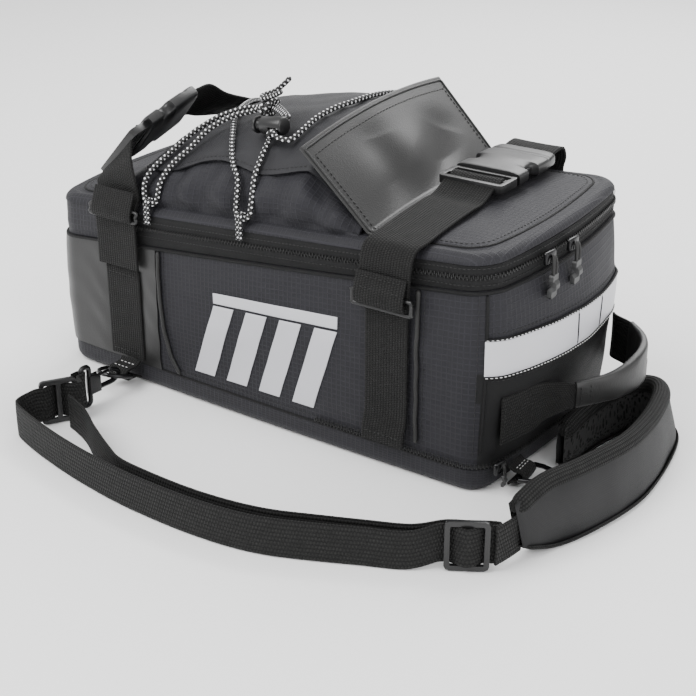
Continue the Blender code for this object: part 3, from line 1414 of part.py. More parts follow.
def hook_body(name, frame):
    """The eye for the webbing, the stem and the open hook, as one bent wire shape."""
    eye_height = SHOULDER_WEB_WIDTH + 2 * HOOK_WIRE_RADIUS + GAP
    eye_depth = 0.0075
    eye = [frame @ Vector((u, v + eye_depth / 2, 0.0))
           for u, v in rounded_rectangle(eye_height, eye_depth, 0.003, steps=3)]
    eye_obj = as_mesh(tube(name, eye, HOOK_WIRE_RADIUS, "metal", cyclic=True))
    stem_from = eye_depth - 0.001
    stem = box(f"{name}_stem", (HOOK_INNER_WIDTH + 2.5 * HOOK_WIRE_RADIUS, HOOK_STEM, 2.4 * HOOK_WIRE_RADIUS),
               frame @ Matrix.Translation((0.0, stem_from + HOOK_STEM / 2, 0.0)))
    combine(eye_obj, stem, "UNION")
    start = stem_from + HOOK_STEM - 0.001
    half = (HOOK_INNER_WIDTH + 2 * HOOK_WIRE_RADIUS) / 2 - HOOK_WIRE_RADIUS
    points = [Vector((-half, start - 0.002, 0.0)), Vector((-half, start + 0.004, 0.0)),
              Vector((-half, start + HOOK_INNER_LENGTH - half, 0.0))]
    top = start + HOOK_INNER_LENGTH - half
    for step in range(1, 10):
        angle = math.pi - math.pi * step / 10 * 1.06
        points.append(Vector((half * math.cos(angle), top + (half + HOOK_BEND_DEPTH) * math.sin(angle), 0.0)))
    wire = as_mesh(tube(f"{name}_wire", [frame @ p for p in points], HOOK_WIRE_RADIUS, "metal"))
    combine(eye_obj, wire, "UNION")
    return dress(eye_obj, "metal"), start, half, top


def snap_hook():
    """The front hook with its sprung gate, which turns in a slot at the stem's end."""
    frame = hook_frame()
    body, start, half, top = hook_body("hook_front", frame)
    slot_depth = 2.4 * GATE_WIRE_RADIUS + 2 * GAP
    slot = box("hook_gate_slot", (6.4 * GATE_WIRE_RADIUS, slot_depth * 2, 2 * GATE_WIRE_RADIUS + 2 * GAP),
               frame @ Matrix.Translation((half + 1.1 * GATE_WIRE_RADIUS, start + 0.001, 0.0)))
    combine(body, slot, "DIFFERENCE")
    pivot = Vector((half, start + 0.001 - slot_depth + GATE_WIRE_RADIUS + GAP, 0.0))
    points = [Vector((0.0, v, 0.0)) for v in (0.0, 0.004, top + 0.0002 - pivot.y)]
    gate = tube("hook_gate", points, GATE_WIRE_RADIUS, "metal")
    gate.matrix_world = frame @ Matrix.Translation(pivot)


def d_ring(name, centre, bar, reach):
    """A D-shaped wire ring: a straight bar in a webbing tab, and a bow."""
    bar = Vector(bar).normalized()
    reach = Vector(reach).normalized()
    half = RING_WIDTH / 2 - RING_WIRE_RADIUS
    points = [centre - bar * (half - 0.002), centre, centre + bar * (half - 0.002)]
    for step in range(9):
        angle = math.pi * step / 8
        points.append(centre + bar * half * math.cos(angle)
                      + reach * (0.002 + (RING_DEPTH - 0.002 - 2 * RING_WIRE_RADIUS) * math.sin(angle)))
    return tube(name, points, RING_WIRE_RADIUS, "metal", cyclic=True)


# The two rings low on the bag: where their webbing tab meets the wall, the way out, how far the ring stands off
# along it and how steeply its bow points up
RING_FRONT_X = -0.112
RING_REAR_Y = -0.053
RINGS = {
    "front": {"height": 0.0118, "proud": 0.0013, "out": Vector((0.0, -1.0, 0.0)), "bow": 0.28, "off": 0.0118},
    "rear": {"height": 0.0088, "proud": 0.0029, "out": Vector((1.0, 0.10, 0.0)).normalized(), "bow": 0.10,
             "off": 0.0075},
}


def ring_seat(name):
    """The middle of a ring's tab, on the foot of the near wall or of the rear end."""
    row = RINGS[name]
    if name == "front":
        return Vector((RING_FRONT_X, -side_half(RING_FRONT_X) - row["proud"], row["height"]))
    return Vector((end_half(RING_REAR_Y, row["height"]) + row["proud"], RING_REAR_Y, row["height"]))


def wall_ring(name):
    """A D-ring and the webbing tab that is folded round its bar and sewn to the foot of the wall."""
    row = RINGS[name]
    up = Vector((0, 0, 1))
    out = row["out"]
    bar = out.cross(up).normalized()
    start = ring_seat(name) + out * (WEB_THICKNESS / 2 + 2 * GAP)
    centre = start + out * row["off"]
    d_ring(f"ring_{name}", centre, bar, out + up * row["bow"])
    loop = RING_WIRE_RADIUS + 3 * GAP + WEB_THICKNESS / 2
    rows = [(0.0, -1.9), (0.0035, -1.12), (row["off"] - 0.8 * loop, -1.0), (row["off"], -1.04)]
    path = [start + out * along + up * loop * rise for along, rise in rows]
    for angle in (-50, 0, 50):
        turn = math.radians(angle)
        path.append(centre + out * loop * 1.06 * math.cos(turn) + up * loop * 1.06 * math.sin(turn))
    path += [start + out * along - up * loop * rise for along, rise in rows[::-1]]
    width = RING_WIDTH - 2 * RING_WIRE_RADIUS - 0.0065
    path = smooth_path(path, 2)
    ribbon(f"ring_tab_{name}", path, [bar] * len(path), width, WEB_THICKNESS, "webbing")


# The pad's route: its lower and its upper edge in plan, its top and how much of its height is left at its ends
PAD_ROUTE = [
    {"low": (1.3068, 0.0450), "high": (1.2712, 0.0510), "top": 0.0435, "share": 0.66},
    {"low": (1.3452, 0.0210), "high": (1.3014, 0.0240), "top": 0.0435, "share": 1.0},
    {"low": (1.4000, -0.0090), "high": (1.3452, -0.0070), "top": 0.0435, "share": 1.0},
    {"low": (1.4329, -0.0510), "high": (1.3863, -0.0490), "top": 0.0435, "share": 1.0},
    {"low": (1.4164, -0.0880), "high": (1.3753, -0.0860), "top": 0.0430, "share": 1.0},
    {"low": (1.3753, -0.1260), "high": (1.3370, -0.1180), "top": 0.0420, "share": 1.0},
    {"low": (1.3315, -0.1470), "high": (1.2986, -0.1360), "top": 0.0410, "share": 1.0},
    {"low": (1.2712, -0.1560), "high": (1.2493, -0.1440), "top": 0.0400, "share": 1.0},
    {"low": (1.2055, -0.1510), "high": (1.1945, -0.1400), "top": 0.0390, "share": 1.0},
    {"low": (1.1562, -0.1340), "high": (1.1534, -0.1260), "top": 0.0375, "share": 1.0},
    {"low": (1.1288, -0.1080), "high": (1.1288, -0.1050), "top": 0.0355, "share": 1.0},
    {"low": (1.1233, -0.0800), "high": (1.1233, -0.0790), "top": 0.0330, "share": 1.0},
    {"low": (1.1205, -0.0630), "high": (1.1205, -0.0625), "top": 0.0315, "share": 0.85},
]


def pad_body(name, finish, inner_share, outer_share):
    """A run of padding on its edge, between two shares of the pad's thickness."""
    lows = smooth_path([Vector((*beside(row["low"]), STRAP_FLOOR_GAP)) for row in PAD_ROUTE], 2)
    highs = smooth_path([Vector((*beside(row["high"]), row["top"])) for row in PAD_ROUTE], 2)
    shares = smooth_path([Vector((row["share"], 0, 0)) for row in PAD_ROUTE], 2)
    rings = []
    for index in range(len(lows)):
        low, high = lows[index], highs[index]
        before, after = lows[max(0, index - 1)], lows[min(len(lows) - 1, index + 1)]
        along = (after - before).normalized()
        up = (high - low).normalized()
        out = along.cross(up).normalized()
        middle = (low + high) / 2
        height = (high - low).length * shares[index].x
        depth = PAD_THICKNESS * (outer_share - inner_share)
        shift = PAD_THICKNESS * ((outer_share + inner_share) / 2 - 0.5)
        section = rounded_rectangle(depth, height, depth * 0.34, (shift, 0.0), 1)
        rings.append([middle + out * u + up * v for u, v in section])
    return loft(name, rings, finish)


def shoulder_pad():
    """The padded part of the strap: a smooth outer body and a mesh body inside the curve."""
    split = PAD_MESH_SHARE
    pad_body("shoulder_pad", "coated", split + 4 * GAP / PAD_THICKNESS, 1.0)
    pad_body("shoulder_pad_mesh", "mesh", 0.0, split)


def build():
    base_tray()
    body_shell()
    zip_band()
    zip_coil()
    lid_panel()
    dome_pocket()
    dome_hood()
    cover_flap()
    front_cap()
    for side, word in ((-1, "near"), (1, "far")):
        upright_piping(f"front_piping_{word}", FRONT_CAP_EDGE_X + 0.003, side, 0.02, FRONT_PIPING_BOW)
        upright_piping(f"rear_piping_{word}", MIDDLE_PIPING_X, side, 0.075)
        side_web(f"front_strap_side_{word}", FRONT_STRAP_X, side)
        side_web(f"rear_strap_side_{word}", REAR_STRAP_X, side)
        rear_top_web(f"rear_strap_top_{word}", side < 0)
        front_top_web(f"front_strap_top_{word}", side < 0)
    reflective_band()
    reflective_motif()
    strap_ring()
    rear_buckle()
    front_buckle()
    rear_handle()
    for name in ANCHORS:
        anchor_loop(name)
    bungee()
    bungee_knot()
    cord_lock()
    top_sliders()
    base_zip()
    shoulder_strap()
    strap_slider("slider_front", FRONT_SLIDER)
    strap_slider("slider_rear", REAR_SLIDER)
    snap_hook()
    wall_ring("front")
    wall_ring("rear")
    shoulder_pad()
    pad_webbing()


build()
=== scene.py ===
"""The finished look of a bicycle rack bag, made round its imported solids.

Metres, +Z up. +X runs to the rear end with the reflective band, and -Y is the near side. Soft pieces are grids laid
on the bag's own surfaces, with a UV map in metres, so that every weave has its real size on every panel.
"""

import json
import logging
import math
from dataclasses import dataclass, field
from enum import Enum
from typing import Callable, Sequence

import bpy
from mathutils import Matrix, Vector, noise

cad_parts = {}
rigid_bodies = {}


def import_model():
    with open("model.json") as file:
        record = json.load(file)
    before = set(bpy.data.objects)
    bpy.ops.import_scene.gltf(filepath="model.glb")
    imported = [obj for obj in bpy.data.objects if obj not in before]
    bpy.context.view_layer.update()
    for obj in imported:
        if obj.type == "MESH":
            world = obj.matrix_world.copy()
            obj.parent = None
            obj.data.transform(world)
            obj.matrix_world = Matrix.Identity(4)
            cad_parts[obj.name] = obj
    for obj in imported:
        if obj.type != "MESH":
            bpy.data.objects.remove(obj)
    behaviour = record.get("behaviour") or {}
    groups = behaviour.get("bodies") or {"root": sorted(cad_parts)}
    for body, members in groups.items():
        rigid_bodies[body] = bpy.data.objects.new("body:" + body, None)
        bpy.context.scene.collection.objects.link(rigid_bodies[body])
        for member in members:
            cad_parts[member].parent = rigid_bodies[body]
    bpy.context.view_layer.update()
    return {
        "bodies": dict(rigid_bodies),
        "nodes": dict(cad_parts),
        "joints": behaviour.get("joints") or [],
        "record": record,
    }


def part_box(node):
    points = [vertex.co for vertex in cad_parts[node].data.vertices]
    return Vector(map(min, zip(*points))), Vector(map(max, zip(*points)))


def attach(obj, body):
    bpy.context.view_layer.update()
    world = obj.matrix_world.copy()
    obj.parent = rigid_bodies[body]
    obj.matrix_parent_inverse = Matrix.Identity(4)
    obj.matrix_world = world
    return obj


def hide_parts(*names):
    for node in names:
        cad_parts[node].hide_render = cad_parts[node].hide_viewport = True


LOG = logging.getLogger("rack_bag")

Place = Callable[[float, float], Vector]
Rows = Sequence[tuple[float, ...]]
Colour = tuple[float, float, float]

BODY = "bag"
UP = Vector((0.0, 0.0, 1.0))
REAR = Vector((1.0, 0.0, 0.0))
FLOOR_CLEAR = 0.0004
GRID_LINE = 0.13
GRID_STRENGTH = 0.45
FINE_THREAD = 0.0011


def lerp(first: float, second: float, share: float) -> float:
    """Returns the value at a share of the way from the first to the second."""
    return first + (second - first) * share


def clamp(value: float, low: float = 0.0, high: float = 1.0) -> float:
    """Returns the value kept between two limits."""
    return min(high, max(low, value))


def read_table(table: Rows, share: float) -> float:
    """Reads a table of (share, value) rows with a smooth run between two rows.

    Args:
        table: Rows in the order of their shares.
        share: Where to read it.

    Returns:
        The value there.
    """
    if share <= table[0][0]:
        return table[0][1]
    for (low, first), (high, second) in zip(table, table[1:]):
        if share <= high:
            return lerp(first, second, (share - low) / (high - low))
    return table[-1][1]


def hump(distance: float, spread: float) -> float:
    """Returns a bell shape: 1 at no distance, and close to 0 beyond twice the spread."""
    return math.exp(-(distance / spread) ** 2)


def ripple(place: Vector, scale: float, seed: float) -> float:
    """Returns smooth noise between -1 and 1, the same on each run.

    Args:
        place: The point.
        scale: How many waves there are in a metre.
        seed: A number that picks one of many patterns.
    """
    return noise.noise(place * scale + Vector((seed, 3.7 * seed, 1.3 * seed)))


class Pattern(Enum):
    """What the close surface of a finish is made of."""

    RIPSTOP = "ripstop"
    COATED = "coated"
    WEBBING = "webbing"
    GRAIN = "grain"
    MOULDED = "moulded"
    TAPE = "tape"
    SPACER = "spacer"
    BRAID = "braid"
    RIBBED = "ribbed"
    METAL = "metal"


class Graph:
    """Adds nodes to a material and joins their sockets."""

    def __init__(self, material: bpy.types.Material) -> None:
        """Starts from the material's own shader.

        Args:
            material: A new material with nodes.
        """
        self.tree = material.node_tree
        self.shader = self.tree.nodes["Principled BSDF"]

    def add(self, kind: str, **settings: object) -> bpy.types.Node:
        """Adds a node.

        Args:
            kind: Its type, without the word ShaderNode.
            settings: Values of the node's own properties.

        Returns:
            The node.
        """
        node = self.tree.nodes.new("ShaderNode" + kind)
        for key, value in settings.items():
            setattr(node, key, value)
        return node

    def feed(self, socket: bpy.types.NodeSocket, value: object) -> None:
        """Gives a socket a number or another node's output.

        Args:
            socket: What is fed.
            value: The number or the output.
        """
        if isinstance(value, bpy.types.NodeSocket):
            self.tree.links.new(value, socket)
        else:
            socket.default_value = value

    def maths(self, operation: str, *values: object) -> bpy.types.NodeSocket:
        """Returns the output of a Math node that is fed with these values.

        Args:
            operation: The sum it does.
            values: What it works on, in order.

        Returns:
            Its result.
        """
        node = self.add("Math", operation=operation)
        for socket, value in zip(node.inputs, values):
            self.feed(socket, value)
        return node.outputs[0]

    def blend(self, factor: object, first: object, second: object) -> bpy.types.NodeSocket:
        """Returns a mix of two colours by a factor.

        Args:
            factor: 0 for the first colour, 1 for the second.
            first: The first colour.
            second: The second colour.

        Returns:
            The mixed colour.
        """
        node = self.add("Mix", data_type="RGBA")
        for index, value in ((0, factor), (6, first), (7, second)):
            self.feed(node.inputs[index], (*value, 1.0) if isinstance(value, tuple) else value)
        return node.outputs[2]

    def remap(self, value: object, low: float, high: float) -> bpy.types.NodeSocket:
        """Returns 0 below low and 1 above high, smooth between them.

        Args:
            value: What is read.
            low: Where it leaves 0.
            high: Where it reaches 1.

        Returns:
            The new value.
        """
        node = self.add("MapRange", interpolation_type="SMOOTHSTEP")
        for index, number in ((0, value), (1, low), (2, high)):
            self.feed(node.inputs[index], number)
        return node.outputs[0]

    def chart(self) -> tuple[bpy.types.NodeSocket, bpy.types.NodeSocket, bpy.types.NodeSocket]:
        """Returns the UV vector, in metres, and its two parts.

        Returns:
            The vector, its first part and its second part.
        """
        vector = self.add("TexCoord").outputs["UV"]
        split = self.add("SeparateXYZ")
        self.feed(split.inputs[0], vector)
        return vector, split.outputs[0], split.outputs[1]

    def wave(self, value: object, pitch: float, shift: object = 0.0) -> bpy.types.NodeSocket:
        """Returns a sine of a length, with this pitch and a shift in turns."""
        turns = self.maths("ADD", self.maths("DIVIDE", value, pitch), shift)
        return self.maths("SINE", self.maths("MULTIPLY", turns, 2 * math.pi))

    def lines(self, value: object, pitch: float, share: float) -> bpy.types.NodeSocket:
        """Returns 1 on thin lines at this pitch, each this share of the pitch wide."""
        place = self.maths("FRACT", self.maths("DIVIDE", value, pitch))
        return self.remap(self.maths("ABSOLUTE", self.maths("SUBTRACT", place, 0.5)), 0.5 - share, 0.5 - share / 3)

    def noise(self, vector: object, scale: float, detail: float = 3.0) -> bpy.types.NodeSocket:
        """Returns fractal noise from 0 to 1.

        Args:
            vector: Where the texture is read.
            scale: How many times it repeats in a metre.
            detail: How many finer layers it has.

        Returns:
            The noise.
        """
        node = self.add("TexNoise")
        self.feed(node.inputs["Vector"], vector)
        node.inputs["Scale"].default_value = scale
        node.inputs["Detail"].default_value = detail
        return node.outputs[0]

    def cells(self, vector: object, scale: float) -> bpy.types.NodeSocket:
        """Returns the distance to the nearest cell's middle.

        Args:
            vector: Where the texture is read.
            scale: How many times it repeats in a metre.

        Returns:
            The distance, as a share of a cell.
        """
        node = self.add("TexVoronoi")
        self.feed(node.inputs["Vector"], vector)
        node.inputs["Scale"].default_value = scale
        return node.outputs["Distance"]

    def raise_by(self, height: object, depth: float) -> None:
        """Gives the shader a bump of this depth in metres.

        Args:
            height: The bump's form, from 0 to 1.
            depth: Its depth.
        """
        bump = self.add("Bump")
        bump.inputs["Strength"].default_value = 1.0
        bump.inputs["Distance"].default_value = depth
        self.feed(bump.inputs["Height"], height)
        self.feed(self.shader.inputs["Normal"], bump.outputs[0])


@dataclass(frozen=True)
class Finish:
    """A finish of the bag: its colour, its gloss and its close surface."""

    name: str
    slot: str
    colour: Colour
    roughness: float
    pattern: Pattern
    pitch: float = 0.004
    relief: float = 0.0002
    second: Colour = (0.08, 0.08, 0.085)
    metallic: float = 0.0
    sheen: float = 0.0
    gloss: float = 0.5

    def material(self) -> bpy.types.Material:
        """Returns the finish's material, made once.

        Returns:
            The material.
        """
        made = bpy.data.materials.get(self.name)
        if made is not None:
            return made
        made = bpy.data.materials.new(self.name)
        made.use_nodes = True
        graph = Graph(made)
        inputs = graph.shader.inputs
        inputs["Roughness"].default_value = self.roughness
        inputs["Metallic"].default_value = self.metallic
        inputs["Specular IOR Level"].default_value = self.gloss
        inputs["Sheen Weight"].default_value = self.sheen
        inputs["Sheen Roughness"].default_value = 0.45
        makers = {Pattern.RIPSTOP: self._ripstop, Pattern.COATED: self._coated, Pattern.WEBBING: self._webbing,
                  Pattern.GRAIN: self._grain, Pattern.MOULDED: self._moulded, Pattern.TAPE: self._tape,
                  Pattern.SPACER: self._spacer, Pattern.BRAID: self._braid, Pattern.RIBBED: self._ribbed,
                  Pattern.METAL: self._metal}
        colour, height = makers[self.pattern](graph)
        graph.feed(inputs["Base Color"], colour)
        graph.raise_by(height, self.relief)
        return made

    def _ripstop(self, graph: Graph) -> tuple[object, object]:
        """Fine weave with a grid of stronger threads, which catch the light.

        Args:
            graph: The material's nodes.

        Returns:
            The colour and the height of the bump.
        """
        vector, across, along = graph.chart()
        grid = graph.maths("MAXIMUM", *(graph.lines(way, self.pitch, GRID_LINE) for way in (across, along)))
        weave = graph.maths("MULTIPLY", *(graph.wave(way, FINE_THREAD) for way in (across, along)))
        mottle = graph.noise(vector, 55.0)
        height = graph.maths("ADD", graph.maths("MULTIPLY", weave, 0.22), graph.maths("ADD", grid, mottle))
        plain = graph.blend(mottle, self.colour, tuple(1.5 * part for part in self.colour))
        return graph.blend(graph.maths("MULTIPLY", grid, GRID_STRENGTH), plain, self.second), height

    def _coated(self, graph: Graph) -> tuple[object, object]:
        """Tight plain weave under a smooth coat.

        Args:
            graph: The material's nodes.

        Returns:
            The colour and the height of the bump.
        """
        vector, across, along = graph.chart()
        weave = graph.maths("MULTIPLY", graph.wave(across, self.pitch), graph.wave(along, self.pitch))
        mottle = graph.noise(vector, 38.0)
        height = graph.maths("ADD", graph.maths("MULTIPLY", weave, 0.3), graph.maths("MULTIPLY", mottle, 1.5))
        return graph.blend(mottle, self.colour, self.second), height

    def _webbing(self, graph: Graph) -> tuple[object, object]:
        """Ridges along the strap, each crossed by threads that step from ridge to ridge, with a painted highlight on
        the raised ridges, made patchy by noise.

        Args:
            graph: The material's nodes.

        Returns:
            The colour and the height of the bump.
        """
        vector, along, across = graph.chart()
        column = graph.maths("FLOOR", graph.maths("DIVIDE", across, self.pitch))
        ridge = graph.maths("ABSOLUTE", graph.wave(across, 2 * self.pitch))
        thread = graph.wave(along, 0.75 * self.pitch, graph.maths("MULTIPLY", column, 0.5))
        height = graph.maths("ADD", ridge, graph.maths("MULTIPLY", thread, 0.35))
        # Painted highlight: the colour turns lighter where the ridges stand high, broken up by random noise.
        painted_ridge_highlight = graph.maths("MULTIPLY", graph.remap(height, 0.3, 1.3), graph.noise(vector, 160.0))
        return graph.blend(painted_ridge_highlight, self.colour, self.second), height

    def _grain(self, graph: Graph) -> tuple[object, object]:
        """Small pebbled grain over slow changes of tone.

        Args:
            graph: The material's nodes.

        Returns:
            The colour and the height of the bump.
        """
        vector, _, _ = graph.chart()
        tone = graph.noise(vector, 24.0)
        height = graph.maths("ADD", graph.cells(vector, 1.0 / self.pitch), graph.maths("MULTIPLY", tone, 0.8))
        return graph.blend(tone, self.colour, self.second), height

    def _moulded(self, graph: Graph) -> tuple[object, object]:
        """Satin moulded plastic with a faint texture.

        Args:
            graph: The material's nodes.

        Returns:
            The colour and the height of the bump.
        """
        place = graph.add("TexCoord").outputs["Object"]
        tone = graph.noise(place, 90.0)
        return graph.blend(tone, self.colour, self.second), graph.noise(place, 1400.0, 1.0)

    def _tape(self, graph: Graph) -> tuple[object, object]:
        """Silver tape: glass beads under a faint diagonal lattice.

        Args:
            graph: The material's nodes.

        Returns:
            The colour and the height of the bump.
        """
        vector, across, along = graph.chart()
        first = graph.lines(graph.maths("ADD", across, along), self.pitch, 0.10)
        second = graph.lines(graph.maths("SUBTRACT", across, along), self.pitch, 0.10)
        lattice = graph.maths("MULTIPLY", graph.maths("MAXIMUM", first, second), 0.25)
        tone = graph.maths("MAXIMUM", lattice, graph.maths("MULTIPLY", graph.noise(vector, 16.0), 0.5))
        return graph.blend(tone, self.colour, self.second), graph.noise(vector, 2600.0, 1.0)

    def _spacer(self, graph: Graph) -> tuple[object, object]:
        """Open spacer mesh: rows of small holes between thick knitted threads.

        Args:
            graph: The material's nodes.

        Returns:
            The colour and the height of the bump.
        """
        vector, _, _ = graph.chart()
        threads = graph.remap(graph.cells(vector, 1.0 / self.pitch), 0.25, 0.55)
        return graph.blend(threads, self.colour, self.second), threads

    def _braid(self, graph: Graph) -> tuple[object, object]:
        """Two threads that cross as they wind round the cord, in a dark and a light colour.

        Args:
            graph: The material's nodes.

        Returns:
            The colour and the height of the bump.
        """
        _, along, around = graph.chart()
        turns = graph.maths("MULTIPLY", around, 2.0)
        first = graph.wave(along, self.pitch, turns)
        second = graph.wave(along, self.pitch, graph.maths("MULTIPLY", turns, -1.0))
        knots = graph.maths("MINIMUM", first, second)
        return graph.blend(graph.remap(knots, 0.10, 0.38), self.colour, self.second), knots

    def _ribbed(self, graph: Graph) -> tuple[object, object]:
        """Narrow woven tape with ribs across it.

        Args:
            graph: The material's nodes.

        Returns:
            The colour and the height of the bump.
        """
        vector, along, across = graph.chart()
        ribs = graph.maths("MULTIPLY", graph.wave(along, self.pitch), graph.wave(across, 0.7 * self.pitch))
        return graph.blend(graph.noise(vector, 120.0), self.colour, self.second), ribs

    def _metal(self, graph: Graph) -> tuple[object, object]:
        """Black enamel over wire, with a little unevenness.

        Args:
            graph: The material's nodes.

        Returns:
            The colour and the height of the bump.
        """
        place = graph.add("TexCoord").outputs["Object"]
        tone = graph.noise(place, 160.0)
        return graph.blend(tone, self.colour, self.second), tone


class Finishes:
    """Every finish of the bag."""

    RIPSTOP = Finish("bag_ripstop", "ripstop", (0.0092, 0.0090, 0.0116), 0.60, Pattern.RIPSTOP, 0.0036, 0.00022,
                     (0.025, 0.0245, 0.031), sheen=0.03, gloss=0.28)
    COATED = Finish("bag_coated_fabric", "coated", (0.0095, 0.0094, 0.0112), 0.52, Pattern.COATED, 0.0009, 0.00018,
                    (0.016, 0.016, 0.019), sheen=0.02, gloss=0.32)
    LINING = Finish("bag_dark_fabric", "coated", (0.0045, 0.0045, 0.0048), 0.62, Pattern.COATED, 0.0009, 0.00015,
                    (0.008, 0.008, 0.0085), gloss=0.25)
    PAD = Finish("bag_pad_fabric", "coated", (0.0058, 0.0058, 0.0062), 0.54, Pattern.COATED, 0.0009, 0.00018,
                 (0.011, 0.011, 0.0118), gloss=0.30)
    WEBBING = Finish("bag_webbing", "webbing", (0.0030, 0.0030, 0.0030), 0.72, Pattern.WEBBING, 0.0021, 0.00040,
                     (0.022, 0.022, 0.021), sheen=0.02, gloss=0.22)
    SHOULDER_WEB = Finish("bag_shoulder_webbing", "webbing", (0.0030, 0.0030, 0.0030), 0.70, Pattern.WEBBING,
                          0.0027, 0.00055, (0.024, 0.024, 0.023), sheen=0.02, gloss=0.22)
    LEATHER = Finish("bag_leatherette", "leatherette", (0.0100, 0.0100, 0.0100), 0.38, Pattern.GRAIN, 0.0008,
                     0.00007, (0.016, 0.016, 0.016), gloss=0.42)
    PLASTIC = Finish("bag_plastic", "plastic", (0.006, 0.006, 0.0062), 0.34, Pattern.MOULDED, relief=0.00003,
                     second=(0.011, 0.011, 0.0115))
    PULL = Finish("bag_soft_pull", "plastic", (0.018, 0.0185, 0.019), 0.48, Pattern.MOULDED, relief=0.00003,
                  second=(0.030, 0.0305, 0.031))
    REFLECTIVE = Finish("bag_reflective", "reflective", (0.60, 0.60, 0.63), 0.42, Pattern.TAPE, 0.0036, 0.00003,
                        (0.46, 0.46, 0.50), metallic=0.10)
    MESH = Finish("bag_spacer_mesh", "mesh", (0.0015, 0.0015, 0.0015), 0.80, Pattern.SPACER, 0.0024, 0.0005,
                  (0.030, 0.030, 0.030), sheen=0.02, gloss=0.2)
    BINDING = Finish("bag_binding", "mesh", (0.002, 0.002, 0.002), 0.72, Pattern.WEBBING, 0.0022, 0.00050,
                     (0.030, 0.030, 0.029), gloss=0.22)
    CORD = Finish("bag_bungee", "cord", (0.004, 0.004, 0.004), 0.62, Pattern.BRAID, 0.0035, 0.00012,
                  (0.86, 0.86, 0.88))
    METAL = Finish("bag_enamel", "metal", (0.006, 0.006, 0.0065), 0.24, Pattern.METAL, relief=0.00002,
                   second=(0.011, 0.011, 0.012), metallic=0.45)
    ZIP = Finish("bag_zip_tape", "zip", (0.006, 0.006, 0.0063), 0.66, Pattern.RIBBED, 0.0011, 0.00012,
                 (0.013, 0.013, 0.0135), gloss=0.25)
    TEETH = Finish("bag_zip_coil", "zip", (0.005, 0.005, 0.005), 0.36, Pattern.MOULDED, relief=0.00002,
                   second=(0.010, 0.010, 0.010))
    THREAD = Finish("bag_thread", "webbing", (0.004, 0.004, 0.004), 0.60, Pattern.MOULDED, relief=0.00002,
                    second=(0.007, 0.007, 0.007))
    PALE_THREAD = Finish("bag_pale_thread", "cord", (0.55, 0.55, 0.55), 0.60, Pattern.MOULDED, relief=0.00002,
                         second=(0.70, 0.70, 0.70))


